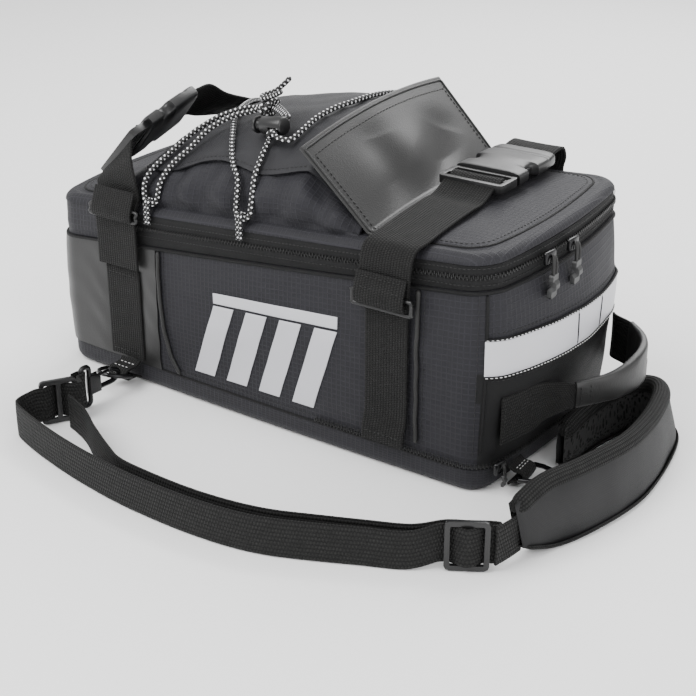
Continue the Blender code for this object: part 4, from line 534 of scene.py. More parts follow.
@dataclass(frozen=True)
class BagForm:
    """The soft box's sizes and its surfaces, which every piece is placed by."""

    length: float = 0.365
    width: float = 0.168
    corner: float = 0.016
    base_height: float = 0.016
    base_edge: float = 0.007
    rear_seam: float = 0.141
    front_seam: float = 0.1045
    far_rise: float = 0.010
    rear_swell: float = 0.018
    front_swell: float = 0.012
    side_swell: float = 0.003
    band_rear: float = 0.016
    band_front: float = 0.025
    lid_edge: float = 0.005
    lid_crown: float = 0.007
    lid_turn: float = 0.008
    front_strap_x: float = -0.115
    rear_strap_x: float = 0.114
    cap_edge_x: float = -0.083
    pad_puff: float = 0.0016
    crease: float = 0.0010
    end_power: int = 6
    side_power: int = 4
    fullness_power: float = 0.6
    press_half: float = 0.020
    fold_waves: tuple[float, float] = (26.0, 60.0)
    drag_place: float = 0.026
    drag_spread: float = 0.010
    drag_waves: float = 260.0
    lid_seam: float = 0.011
    lid_seam_spread: float = 0.004
    lid_quilt: float = 0.0014
    lid_fold: float = 0.0012
    swell_shares: Rows = ((0.0, 0.10), (0.025, 0.30), (0.050, 0.62), (0.070, 0.90), (0.085, 1.0), (0.104, 0.98),
                          (0.125, 0.78), (0.145, 0.50), (0.165, 0.42))

    @property
    def half_length(self) -> float:
        """Half the length of the plain box."""
        return self.length / 2

    @property
    def half_width(self) -> float:
        """Half the width of the plain box."""
        return self.width / 2

    @property
    def perimeter(self) -> float:
        """The length of the plain outline."""
        return 2 * (self.length + self.width) - (8 - 2 * math.pi) * self.corner

    def swell_at(self, z: float) -> float:
        """Returns how far the rear end swells out in its middle at a height."""
        return self.rear_swell * read_table(self.swell_shares, z)

    def side_half(self, x: float) -> float:
        """Returns half the width of the swollen box at x."""
        share = min(1.0, abs(x) / self.half_length)
        return self.half_width + self.side_swell * (1 - share * share)

    def end_half(self, y: float, z: float, rear: bool = True) -> float:
        """Returns how far the swollen end lies from the middle, at y and a height."""
        share = min(1.0, abs(y) / self.half_width)
        return self.half_length + (self.swell_at(z) if rear else self.front_swell) * (1 - share * share)

    def seam_z(self, x: float, y: float) -> float:
        """Returns the height of the seam along the top of the walls.

        Args:
            x: The place along the bag.
            y: The place across the bag.

        Returns:
            The height.
        """
        along = (x + self.half_length) / self.length
        over = (y + self.half_width) / self.width
        return lerp(self.front_seam, self.rear_seam, along) + self.far_rise * (over - 0.5)

    def rim_z(self, x: float, y: float) -> float:
        """Returns the height of the lid's lower edge."""
        return self.seam_z(x, y) + lerp(self.band_front, self.band_rear, (x + self.half_length) / self.length)

    def lid_z(self, x: float, y: float) -> float:
        """Returns the height of the lid's top surface.

        Args:
            x: The place along the bag.
            y: The place across the bag.

        Returns:
            The height.
        """
        z = self.rim_z(x, y)
        inset = min(self.side_half(x) - abs(y), self.end_half(y, z, x > 0) - abs(x))
        share = clamp(inset / self.lid_edge)
        edge = self.lid_edge * math.sqrt(1 - (1 - share) ** 2)
        u, v = min(1.0, abs(x) / self.half_length), min(1.0, abs(y) / self.half_width)
        return z + edge + self.lid_crown * (1 - u ** 4) * (1 - v * v)

    def outline(self, share: float) -> tuple[Vector, Vector]:
        """Walks anticlockwise round the plain outline, from the middle of the far side.

        Args:
            share: How far round, from 0 to 1.

        Returns:
            The point and the way out, both in plan.
        """
        radius = self.corner
        along, over = self.half_length - radius, self.half_width - radius
        runs = [(Vector((0, over, 0)), Vector((-1, 0, 0)), along), (Vector((-along, over, 0)), None, 90),
                (Vector((-along, over, 0)), Vector((0, -1, 0)), 2 * over), (Vector((-along, -over, 0)), None, 180),
                (Vector((-along, -over, 0)), Vector((1, 0, 0)), 2 * along), (Vector((along, -over, 0)), None, 270),
                (Vector((along, -over, 0)), Vector((0, 1, 0)), 2 * over), (Vector((along, over, 0)), None, 0),
                (Vector((along, over, 0)), Vector((-1, 0, 0)), along)]
        left = clamp(share) * self.perimeter
        for start, way, size in runs:
            span = size if way is not None else math.pi * radius / 2
            if left <= span or (start, way, size) == runs[-1]:
                if way is None:
                    angle = math.radians(size + 90 * left / span)
                    out = Vector((math.cos(angle), math.sin(angle), 0))
                    return start + out * radius, out
                out = way.cross(UP)
                return start + way * left + out * radius, out
            left -= span
        return runs[0][0], UP

    def swollen(self, plain: Vector, z: float) -> Vector:
        """Moves a point of the plain outline out to the swollen one.

        Args:
            plain: The point of the plain outline.
            z: The height.

        Returns:
            The point of the swollen one, at that height.
        """
        u, v = plain.x / self.half_length, plain.y / self.half_width
        swell = self.swell_at(z) if plain.x > 0 else -self.front_swell
        out_x = swell * max(0.0, 1 - v * v) * abs(u) ** self.end_power
        out_y = math.copysign(self.side_swell, plain.y) * max(0.0, 1 - u * u) * abs(v) ** self.side_power
        return Vector((plain.x + out_x, plain.y + out_y, z))

    def puff(self, plain: Vector, z: float) -> float:
        """Returns how far the padded wall stands out or in at a place, between its seams and under its straps.

        Args:
            plain: The place in plan.
            z: The height.

        Returns:
            The distance out, or in if it is below 0.
        """
        level = clamp((z - self.base_height) / (self.seam_z(plain.x, plain.y) - self.base_height))
        fullness = math.sin(math.pi * level) ** self.fullness_power if 0 < level < 1 else 0.0
        end = clamp((abs(plain.x) - self.half_length + self.corner) / self.corner)
        straps = (self.front_strap_x, self.rear_strap_x)
        press = sum(math.exp(-((plain.x - strap) / self.press_half) ** 4) for strap in straps) * (1 - end)
        stretched = Vector((plain.x * 0.6, plain.y, z * 1.2))
        folds = ripple(stretched, self.fold_waves[0], 1.0) + 0.5 * ripple(stretched, self.fold_waves[1], 2.0)
        pull = sum(hump(abs(plain.x - strap) - self.drag_place, self.drag_spread) for strap in straps)
        drag = math.sin((plain.x * 0.8 + z) * self.drag_waves) * 0.35 * min(1.0, pull) * (1 - end)
        return fullness * (self.pad_puff * (1 - press) + self.crease * (folds + drag) * (1 - 0.8 * press))

    def wall(self, share: float, z: float, off: float = 0.0) -> Vector:
        """Returns a point of the soft wall at a share of its way round, a height and a distance out."""
        plain, out = self.outline(share)
        return self.swollen(plain, z) + out * (self.puff(plain, z) + off)

    def near(self, x: float, z: float, off: float = 0.0, side: int = -1) -> Vector:
        """Returns a point off the near wall (side -1) or the far wall (side 1).

        Args:
            x: The place along the bag.
            z: The height.
            off: The distance out.
            side: -1 for the near side, 1 for the far side.

        Returns:
            The point.
        """
        y = side * self.side_half(x)
        plain = Vector((x, side * self.half_width, 0.0))
        return Vector((x, y + side * (self.puff(plain, z) + off), z))

    def level_z(self, x: float, level: float, side: int = -1) -> float:
        """Returns the height of a level of a side wall, from 0 at its foot to 1 at the seam."""
        return lerp(self.base_height, self.seam_z(x, side * self.side_half(x)), level)

    def lid_point(self, share: float, inward: float, lift: float = 0.0) -> Vector:
        """Returns a point of the lid, from its edge (inward 0) to its spine (inward 1).

        Args:
            share: The share of the way round.
            inward: The share of the way in.
            lift: A distance up from the lid.

        Returns:
            The point.
        """
        plain, _ = self.outline(share)
        edge = self.swollen(plain, self.rim_z(plain.x, plain.y))
        reach = self.half_length - self.half_width
        spine = Vector((clamp(plain.x, -reach, reach), 0.0, 0.0))
        x, y = lerp(edge.x, spine.x, inward), lerp(edge.y, spine.y, inward)
        depth = inward * (edge.xy - spine.xy).length
        turn = clamp(depth / self.lid_turn)
        u, v = min(1.0, abs(x) / self.half_length), min(1.0, abs(y) / self.half_width)
        z = self.rim_z(x, y) + self.lid_edge * math.sqrt(1 - (1 - turn) ** 2)
        z += self.lid_crown * (1 - u ** 4) * (1 - v * v)
        quilt = self.lid_quilt * (1 - hump(depth - self.lid_seam, self.lid_seam_spread)) * clamp(depth / self.lid_seam)
        fold = self.lid_fold * ripple(Vector((x, y, 0.0)), 30.0, 5.0) * clamp((depth - self.lid_seam) / 0.02)
        return Vector((x, y, z + quilt + fold + lift))


@dataclass(frozen=True)
class DomeForm:
    """The domed top pocket's sizes and skin."""

    form: BagForm
    front_x: float = -0.146
    rear_x: float = 0.086
    height: float = 0.048
    wall: float = 0.002
    foot_gap: float = 0.0012
    edge_margin: float = 0.0035
    width_power: float = 2.6
    height_power: float = 2.05
    heights: Rows = ((0.0, 0.02), (0.05, 0.12), (0.11, 0.26), (0.17, 0.44), (0.23, 0.61), (0.31, 0.77), (0.42, 0.88),
                     (0.55, 0.94), (0.72, 1.0), (0.80, 0.97), (0.87, 0.56), (0.95, 0.20), (1.0, 0.02))
    widths: Rows = ((0.0, 0.62), (0.05, 0.78), (0.11, 0.90), (0.17, 0.97), (0.23, 1.0), (1.0, 1.0))

    def half(self, x: float) -> float:
        """Returns half the dome's width at x."""
        share = (x - self.front_x) / (self.rear_x - self.front_x)
        return (self.form.half_width - self.edge_margin) * read_table(self.widths, share)

    def z(self, x: float, y: float) -> float:
        """Returns the height of the dome's plain skin.

        Args:
            x: The place along the bag.
            y: The place across the bag.

        Returns:
            The height, which is the lid's outside the dome.
        """
        lid = self.form.lid_z(x, y)
        share = abs(y) / self.half(x)
        if not self.front_x <= x <= self.rear_x or share >= 1:
            return lid
        along = (x - self.front_x) / (self.rear_x - self.front_x)
        bow = (1 - share ** self.width_power) ** (1 / self.height_power)
        rise = self.height * read_table(self.heights, along) * bow
        return lid + self.foot_gap + self.wall * min(1.0, 3 * bow) + rise

    def skin(self, x: float, over: float) -> Vector:
        """Returns the skin's point at x and an angle across the dome, from -90 near to 90 far."""
        y = self.half(x) * math.sin(math.radians(over))
        return Vector((x, y, self.z(x, y)))

    def out(self, x: float, over: float) -> Vector:
        """Returns the way out of the skin.

        Args:
            x: The place along the bag.
            over: The angle across the dome.

        Returns:
            The direction.
        """
        across = self.skin(x, min(89.0, over + 2)) - self.skin(x, max(-89.0, over - 2))
        along = self.skin(min(self.rear_x, x + 0.004), over) - self.skin(max(self.front_x, x - 0.004), over)
        return along.cross(across).normalized()

    def at(self, x: float, over: float, off: float) -> Vector:
        """Returns a point at a distance off the skin."""
        return self.skin(x, over) + self.out(x, over) * off


class Route:
    """A smooth route through points, read by its length."""

    def __init__(self, points: Sequence[Sequence[float]], steps: int = 8, closed: bool = False) -> None:
        """Runs a smooth curve through the points.

        Args:
            points: Points of two or more numbers.
            steps: How many steps there are between two of them.
            closed: Whether the last one joins the first.
        """
        spots = [tuple(point) for point in points]
        mirror = [tuple(2 * a - b for a, b in zip(spots[i], spots[j])) for i, j in ((0, 1), (-1, -2))]
        row = [spots[-1], *spots, spots[0], spots[1]] if closed else [mirror[0], *spots, mirror[1]]
        self.points: list[tuple[float, ...]] = []
        for i in range(1, len(row) - 2):
            for step in range(steps):
                t = step / steps
                self.points.append(tuple(
                    0.5 * (2 * b + (c - a) * t + (2 * a - 5 * b + 4 * c - d) * t ** 2
                           + (3 * b - a - 3 * c + d) * t ** 3)
                    for a, b, c, d in zip(*row[i - 1:i + 3])))
        self.points.append(row[-2])
        self.lengths = [0.0]
        for first, second in zip(self.points, self.points[1:]):
            self.lengths.append(self.lengths[-1] + math.dist(first[:3], second[:3]))

    @classmethod
    def along(cls, place: Callable[[float], Sequence[float]], steps: int, closed: bool = False) -> "Route":
        """Runs a route along a line.

        Args:
            place: The line's point at a share from 0 to 1.
            steps: How many times it is read.
            closed: Whether the line comes back to its start.

        Returns:
            The route.
        """
        return cls([place(step / steps) for step in range(steps if closed else steps + 1)], 2, closed)

    @property
    def length(self) -> float:
        """The route's length."""
        return self.lengths[-1]

    def values(self, share: float) -> tuple[float, ...]:
        """Returns every number of the route's points at a share of its length.

        Args:
            share: The share of the way, from 0 to 1.

        Returns:
            The numbers there, in the order of a point's own.
        """
        goal = clamp(share) * self.length
        low, high = 0, len(self.lengths) - 1
        while high - low > 1:
            middle = (low + high) // 2
            low, high = (middle, high) if self.lengths[middle] <= goal else (low, middle)
        span = self.lengths[high] - self.lengths[low]
        part = (goal - self.lengths[low]) / span if span else 0.0
        return tuple(lerp(a, b, part) for a, b in zip(self.points[low], self.points[high]))

    def at(self, share: float) -> Vector:
        """Returns the point at a share of the length."""
        return Vector(self.values(share)[:3])

    def way(self, share: float) -> Vector:
        """Returns the direction at a share of the length."""
        step = 0.5 / len(self.points)
        return (self.at(share + step) - self.at(share - step)).normalized()


class Bench:
    """Makes pieces and dresses them. Every piece of the bag leaves through finish."""

    strap_pitch = 0.0028
    strap_faces = 8
    strap_edge = 0.22
    weld_gap = 0.00002

    @staticmethod
    def clear_choice() -> None:
        """Deselects everything, because an operator acts on all that is selected."""
        if bpy.context.mode != "OBJECT":
            bpy.ops.object.mode_set(mode="OBJECT")
        bpy.ops.object.select_all(action="DESELECT")

    @staticmethod
    def choose(obj: bpy.types.Object) -> None:
        """Makes an object the only one that the operators act on.

        Args:
            obj: The object.
        """
        Bench.clear_choice()
        obj.select_set(True)
        bpy.context.view_layer.objects.active = obj

    @staticmethod
    def edit(obj: bpy.types.Object, *steps: Callable[[], object]) -> None:
        """Runs edit-mode operators on a whole mesh.

        Args:
            obj: The mesh.
            steps: The operators, in order.
        """
        Bench.choose(obj)
        bpy.ops.object.mode_set(mode="EDIT")
        bpy.ops.mesh.select_all(action="SELECT")
        for step in steps:
            step()
        bpy.ops.object.mode_set(mode="OBJECT")

    @staticmethod
    def modify(obj: bpy.types.Object, kind: str, **settings: object) -> None:
        """Adds a modifier with these settings and applies it.

        Args:
            obj: The mesh.
            kind: The modifier's type.
            settings: Its settings.
        """
        Bench.choose(obj)
        modifier = obj.modifiers.new(kind.lower(), kind)
        for key, value in settings.items():
            setattr(modifier, key, value)
        bpy.ops.object.modifier_apply(modifier=modifier.name)

    @staticmethod
    def face_out(obj: bpy.types.Object) -> None:
        """Turns every face of a closed mesh outward."""
        Bench.edit(obj, lambda: bpy.ops.mesh.normals_make_consistent(inside=False))

    @staticmethod
    def round_edges(obj: bpy.types.Object, width: float, segments: int = 2, angle: float = 60.0) -> None:
        """Rounds the edges of a mesh that are sharper than an angle.

        Args:
            obj: The piece.
            width: How far the rounding reaches.
            segments: How many faces it is made of.
            angle: The angle, in degrees.
        """
        Bench.modify(obj, "BEVEL", width=width, segments=segments, limit_method="ANGLE",
                     angle_limit=math.radians(angle))

    @staticmethod
    def finish(obj: bpy.types.Object, name: str, finish: Finish, nodes: Sequence[str] = (), body: str = BODY,
               angle: float = 50.0) -> bpy.types.Object:
        """Names and dresses a piece, smooths it, and puts it on its body.

        Args:
            obj: The piece, in place.
            name: Its name.
            finish: What it is made of.
            nodes: The solids that it stands for.
            body: The body that it moves with.
            angle: The sharpest edge that is still shaded smooth, in degrees.

        Returns:
            The piece.
        """
        Bench.choose(obj)
        bpy.ops.object.transform_apply(location=True, rotation=True, scale=True)
        bpy.ops.object.shade_smooth_by_angle(angle=math.radians(angle))
        obj.name = obj.data.name = name
        if not obj.data.materials:
            obj.data.materials.append(finish.material())
        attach(obj, body)
        if nodes:
            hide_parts(*nodes)
        LOG.info("%s: %d faces", name, len(obj.data.polygons))
        return obj

    @staticmethod
    def grid(columns: int, rows: int, place: Place, size: tuple[float, float], wall: float = 0.0,
             weld: bool = False, inward: bool = True) -> bpy.types.Object:
        """Lays a grid on a surface, with a UV map in metres.

        Args:
            columns: Its faces along the first share.
            rows: Its faces along the second share.
            place: The surface: a point for two shares from 0 to 1.
            size: The lengths that the two shares stand for.
            wall: A thickness, or 0 for none.
            weld: Whether edges that meet are merged.
            inward: Whether the wall grows in from the surface, and not half to each side.

        Returns:
            The grid as an object.
        """
        Bench.clear_choice()
        bpy.ops.mesh.primitive_grid_add(x_subdivisions=columns, y_subdivisions=rows, size=2.0)
        obj = bpy.context.object
        mesh = obj.data
        shares = [((v.co.x + 1) / 2, (v.co.y + 1) / 2) for v in mesh.vertices]
        chart = mesh.uv_layers.active.data
        for loop in mesh.loops:
            u, v = shares[loop.vertex_index]
            chart[loop.index].uv = (u * size[0], v * size[1])
        for vertex, (u, v) in zip(mesh.vertices, shares):
            vertex.co = place(u, v)
        if weld:
            Bench.edit(obj, lambda: bpy.ops.mesh.remove_doubles(threshold=Bench.weld_gap))
        if wall:
            Bench.modify(obj, "SOLIDIFY", thickness=wall, offset=-1.0 if inward else 0.0, use_even_offset=True)
        return obj

    @staticmethod
    def tube(route: Route, radius: float, sides: int = 12, pitch: float = 0.0015,
             closed: bool = False) -> bpy.types.Object:
        """Makes a round cord or wire along a route, with rounded ends unless it is closed.

        Args:
            route: Its middle line.
            radius: Its radius.
            sides: How many faces it has round it.
            pitch: How far apart its rings are.
            closed: Whether its ends meet.

        Returns:
            The tube as an object.
        """
        count = max(8, round(route.length / pitch))
        frames: list[tuple[Vector, Vector, Vector]] = []
        side = route.way(0.0).orthogonal().normalized()
        for index in range(count + 1):
            way = route.way(index / count) if not closed or 0 < index < count else route.way(0.5 / count)
            side = (side - way * side.dot(way)).normalized()
            frames.append((route.at(index / count), side, way.cross(side)))

        def place(along: float, around: float) -> Vector:
            """Returns a point of the tube's skin.

            Args:
                along: The share along it, from 0 to 1.
                around: The share of a turn round it.

            Returns:
                The point.
            """
            middle, first, second = frames[round(along * count)]
            end = 1.0 if closed else clamp(min(along, 1 - along) * route.length / radius)
            reach = radius * math.sqrt(1 - (1 - end) ** 2)
            angle = 2 * math.pi * around
            return middle + first * (reach * math.cos(angle)) + second * (reach * math.sin(angle))

        obj = Bench.grid(count, sides, place, (route.length, 1.0), weld=True)
        Bench.face_out(obj)
        return obj

    @staticmethod
    def strap(route: Route, across: Callable[[float], Vector], width: float, thickness: float, bow: float = 0.0004,
              gather: Rows = ((0.0, 1.0), (1.0, 1.0))) -> bpy.types.Object:
        """Makes flat webbing along a route.

        Args:
            route: The middle line.
            across: The direction of the width at a share of the length.
            width: The width.
            thickness: The thickness.
            bow: How far the middle of the webbing stands out from its edges.
            gather: How much of its width is left at each share of the length.

        Returns:
            The webbing as an object.
        """
        def place(along: float, over: float) -> Vector:
            """Returns a point of the webbing's middle sheet.

            Args:
                along: The share along it, from 0 to 1.
                over: The share across it, from 0 to 1.

            Returns:
                The point.
            """
            side = across(along).normalized()
            out = route.way(along).cross(side)
            reach = width * (over - 0.5) * read_table(gather, along)
            return route.at(along) + side * reach + out * (bow * math.sin(math.pi * over))

        count = max(4, round(route.length / Bench.strap_pitch))
        obj = Bench.grid(count, Bench.strap_faces, place, (route.length, width), thickness, inward=False)
        Bench.round_edges(obj, Bench.strap_edge * thickness)
        return obj

    @staticmethod
    def scatter(shape: bpy.types.Object, places: Sequence[Matrix]) -> bpy.types.Object:
        """Copies a small shape to many places and joins the copies into one mesh.

        Args:
            shape: The shape, at the origin. It is removed.
            places: Where each copy goes.

        Returns:
            The joined copies.
        """
        points = [v.co.copy() for v in shape.data.vertices]
        faces = [tuple(face.vertices) for face in shape.data.polygons]
        spots, sides = [], []
        for matrix in places:
            start = len(spots)
            spots += [matrix @ point for point in points]
            sides += [tuple(start + index for index in face) for face in faces]
        mesh = bpy.data.meshes.new("copies")
        mesh.from_pydata(spots, [], sides)
        obj = bpy.data.objects.new("copies", mesh)
        bpy.context.scene.collection.objects.link(obj)
        bpy.data.objects.remove(shape, do_unlink=True)
        return obj

    @staticmethod
    def stitches(name: str, route: Route, out: Callable[[float], Vector], finish: Finish = Finishes.THREAD,
                 pitch: float = 0.0034, size: float = 0.0024, thread: float = 0.0007) -> bpy.types.Object:
        """Sews a row of stitches along a route.

        Args:
            name: The row's name.
            route: The row's line on the fabric.
            out: The way out of the fabric at a share of the length.
            finish: The thread's finish.
            pitch: The distance from one stitch to the next.
            size: A stitch's length.
            thread: The thread's thickness.

        Returns:
            The row.
        """
        Bench.clear_choice()
        bpy.ops.mesh.primitive_ico_sphere_add(subdivisions=1, radius=0.5)
        shape = bpy.context.object
        count = max(2, round(route.length / pitch))
        places = []
        for index in range(count):
            share = (index + 0.5) / count
            way, up = route.way(share), out(share).normalized()
            turn = Matrix((way, up.cross(way), up)).transposed().to_4x4()
            places.append(Matrix.Translation(route.at(share)) @ turn @ Matrix.Diagonal((size, thread, thread, 1)))
        return Bench.finish(Bench.scatter(shape, places), name, finish, angle=80.0)

    @staticmethod
    def moulded(frame: dict, node: str, finish: Finish, edge: float = 0.0006, body: str = BODY) -> bpy.types.Object:
        """Makes the moulded piece that stands for a hard solid: its shape with rounded edges.

        Args:
            node: The solid's name.
            finish: What it is made of.
            edge: The radius of its edges.
            body: The body that it moves with.

        Returns:
            The piece.
        """
        obj = bpy.data.objects.new(node, frame["nodes"][node].data.copy())
        obj.data.materials.clear()
        bpy.context.scene.collection.objects.link(obj)
        Bench.edit(obj, lambda: bpy.ops.mesh.remove_doubles(threshold=0.00001),
                   lambda: bpy.ops.mesh.customdata_custom_splitnormals_clear(),
                   lambda: bpy.ops.mesh.dissolve_limited(angle_limit=math.radians(2)))
        Bench.round_edges(obj, edge, 3, 35.0)
        return Bench.finish(obj, node + "_moulded", finish, [node], body)


@dataclass
class BoxWalls:
    """The base tray, the padded walls, the zip band and the lid."""

    form: BagForm
    seam_gap: float = 0.0007
    cap_skin: float = 0.0012
    bottom_share: float = 0.4
    edge_share: float = 0.7
    tray_wall: float = 0.0018
    side_wall: float = 0.0022
    band_wall: float = 0.0012
    lid_wall: float = 0.0016
    band_draw: float = 0.0009
    seam_steps: int = 240

    def build(self) -> None:
        """Builds the four soft shells and the skins on the walls."""
        self.tray()
        self.walls()
        self.front_cap()
        self.top_seam()
        self.zip_band()
        self.lid()

    def tray(self) -> None:
        """The stiff foot band with its rounded lower edge and its flat bottom."""
        form = self.form
        reach = form.half_length - form.half_width

        def place(along: float, up: float) -> Vector:
            """Returns a point of the tray, from the middle of its bottom to its upper edge.

            Args:
                along: The share along it, from 0 to 1.
                up: The share from its foot to its top.

            Returns:
                The point.
            """
            plain, out = form.outline(along)
            if up < self.bottom_share:
                edge = form.swollen(plain, 0.0) - out * form.base_edge
                spine = Vector((clamp(plain.x, -reach, reach), 0.0, 0.0))
                return spine.lerp(edge, up / self.bottom_share)
            if up < self.edge_share:
                angle = math.pi / 2 * (up - self.bottom_share) / (self.edge_share - self.bottom_share)
                z = form.base_edge * (1 - math.cos(angle))
                return form.swollen(plain, z) - out * form.base_edge * (1 - math.sin(angle))
            z = lerp(form.base_edge, form.base_height, (up - self.edge_share) / (1 - self.edge_share))
            return form.swollen(plain, z)

        tray = Bench.grid(300, 20, place, (form.perimeter, 0.06), self.tray_wall, weld=True)
        Bench.finish(tray, "base_tray_fabric", Finishes.RIPSTOP, ["base_tray"])

    def walls(self) -> None:
        """The padded walls: ripstop, with a plain dark panel below the reflective band."""
        form = self.form
        foot = form.base_height + self.seam_gap

        def place(along: float, up: float) -> Vector:
            """Returns a point of the padded walls."""
            plain, _ = form.outline(along)
            return form.wall(along, lerp(foot, form.seam_z(plain.x, plain.y), up))

        walls = Bench.grid(420, 54, place, (form.perimeter, 0.107), self.side_wall, weld=True)
        walls.data.materials.append(Finishes.RIPSTOP.material())
        walls.data.materials.append(Finishes.LINING.material())
        for face in walls.data.polygons:
            middle = face.center
            if middle.x > form.half_length - 0.3 * form.corner and middle.z < RearEnd.band_low:
                face.material_index = 1
        Bench.finish(walls, "walls_fabric", Finishes.RIPSTOP, ["body_shell"])

    def top_seam(self) -> None:
        """The thin corded seam round the top of the walls."""
        form = self.form
        radius = 0.0012

        def line(share: float) -> Vector:
            """Returns a point of the seam."""
            plain, _ = form.outline(share)
            return form.wall(share, form.seam_z(plain.x, plain.y) - radius, 0.0002)

        seam = Bench.tube(Route.along(line, self.seam_steps, True), radius, 10, 0.003, closed=True)
        Bench.finish(seam, "wall_top_seam", Finishes.LINING)

    def front_cap(self) -> None:
        """The smooth leatherette panel that is sewn round the front end."""
        form = self.form
        foot = form.base_height + self.seam_gap
        start = self.share_at(form.cap_edge_x, 1)
        end = self.share_at(form.cap_edge_x, -1)

        def place(along: float, up: float) -> Vector:
            """Returns a point of the cap.

            Args:
                along: The share along it, from 0 to 1.
                up: The share from its foot to its top.

            Returns:
                The point.
            """
            share = lerp(start, end, along)
            plain, _ = form.outline(share)
            return form.wall(share, lerp(foot, form.seam_z(plain.x, plain.y) - 0.0003, up), self.cap_skin)

        cap = Bench.grid(150, 40, place, ((end - start) * form.perimeter, 0.09), 0.0010)
        Bench.finish(cap, "front_cap_skin", Finishes.LEATHER, ["front_cap"])

    def share_at(self, x: float, side: int) -> float:
        """Returns the outline's share at x on the far side (1) or the near side (-1), in front of the middle.

        Args:
            x: The place along the bag.
            side: 1 for the far side, -1 for the near side.

        Returns:
            The share.
        """
        form = self.form
        straight = form.half_length - form.corner
        if side > 0:
            return -x / form.perimeter
        before = straight + math.pi * form.corner + 2 * (form.half_width - form.corner)
        return (before + x + straight) / form.perimeter

    def zip_band(self) -> None:
        """The band of tape that carries the zip round the top of the walls."""
        form = self.form

        def place(along: float, up: float) -> Vector:
            """Returns a point of the band, which is drawn in a little at the zip.

            Args:
                along: The share along it, from 0 to 1.
                up: The share from its foot to its top.

            Returns:
                The point.
            """
            plain, out = form.outline(along)
            low = form.swollen(plain, form.seam_z(plain.x, plain.y) + 0.0004)
            high = form.swollen(plain, form.rim_z(plain.x, plain.y) - 0.0004)
            draw = self.band_draw * hump(up - ZipRun.share, 0.22) - 0.0012 * math.sin(math.pi * up) ** 2 + 0.0006
            return low.lerp(high, up) - out * draw

        band = Bench.grid(360, 14, place, (form.perimeter, 0.021), self.band_wall, weld=True)
        band.data.materials.append(Finishes.ZIP.material())
        band.data.materials.append(Finishes.RIPSTOP.material())
        for face in band.data.polygons:
            face.material_index = 1 if face.center.x < ZipRun.start_x else 0
        Bench.finish(band, "zip_band_tape", Finishes.ZIP, ["zip_band"])

    def lid(self) -> None:
        """The soft lid: a top panel inside a seam, and a side strip that turns down to the zip."""
        form = self.form
        lid = Bench.grid(360, 40, lambda along, inward: form.lid_point(along, inward ** 2 * 0.995), (1.0, 1.0),
                         self.lid_wall)
        for loop in lid.data.loops:
            spot = lid.data.vertices[loop.vertex_index].co
            lid.data.uv_layers.active.data[loop.index].uv = (spot.x, spot.y)
        Bench.edit(lid, lambda: bpy.ops.mesh.remove_doubles(threshold=Bench.weld_gap))
        Bench.finish(lid, "lid_fabric", Finishes.RIPSTOP, ["lid_panel"])
        inward = form.lid_seam / form.half_width
        seam = Route.along(lambda share: form.lid_point(share, inward, -0.0003), self.seam_steps, True)
        Bench.finish(Bench.tube(seam, 0.0009, 8, 0.003, closed=True), "lid_panel_seam", Finishes.LINING)
        row = Route.along(lambda share: form.lid_point(share, inward * 1.28, 0.0001), self.seam_steps, True)
        Bench.stitches("lid_panel_stitches", row, lambda share: UP)


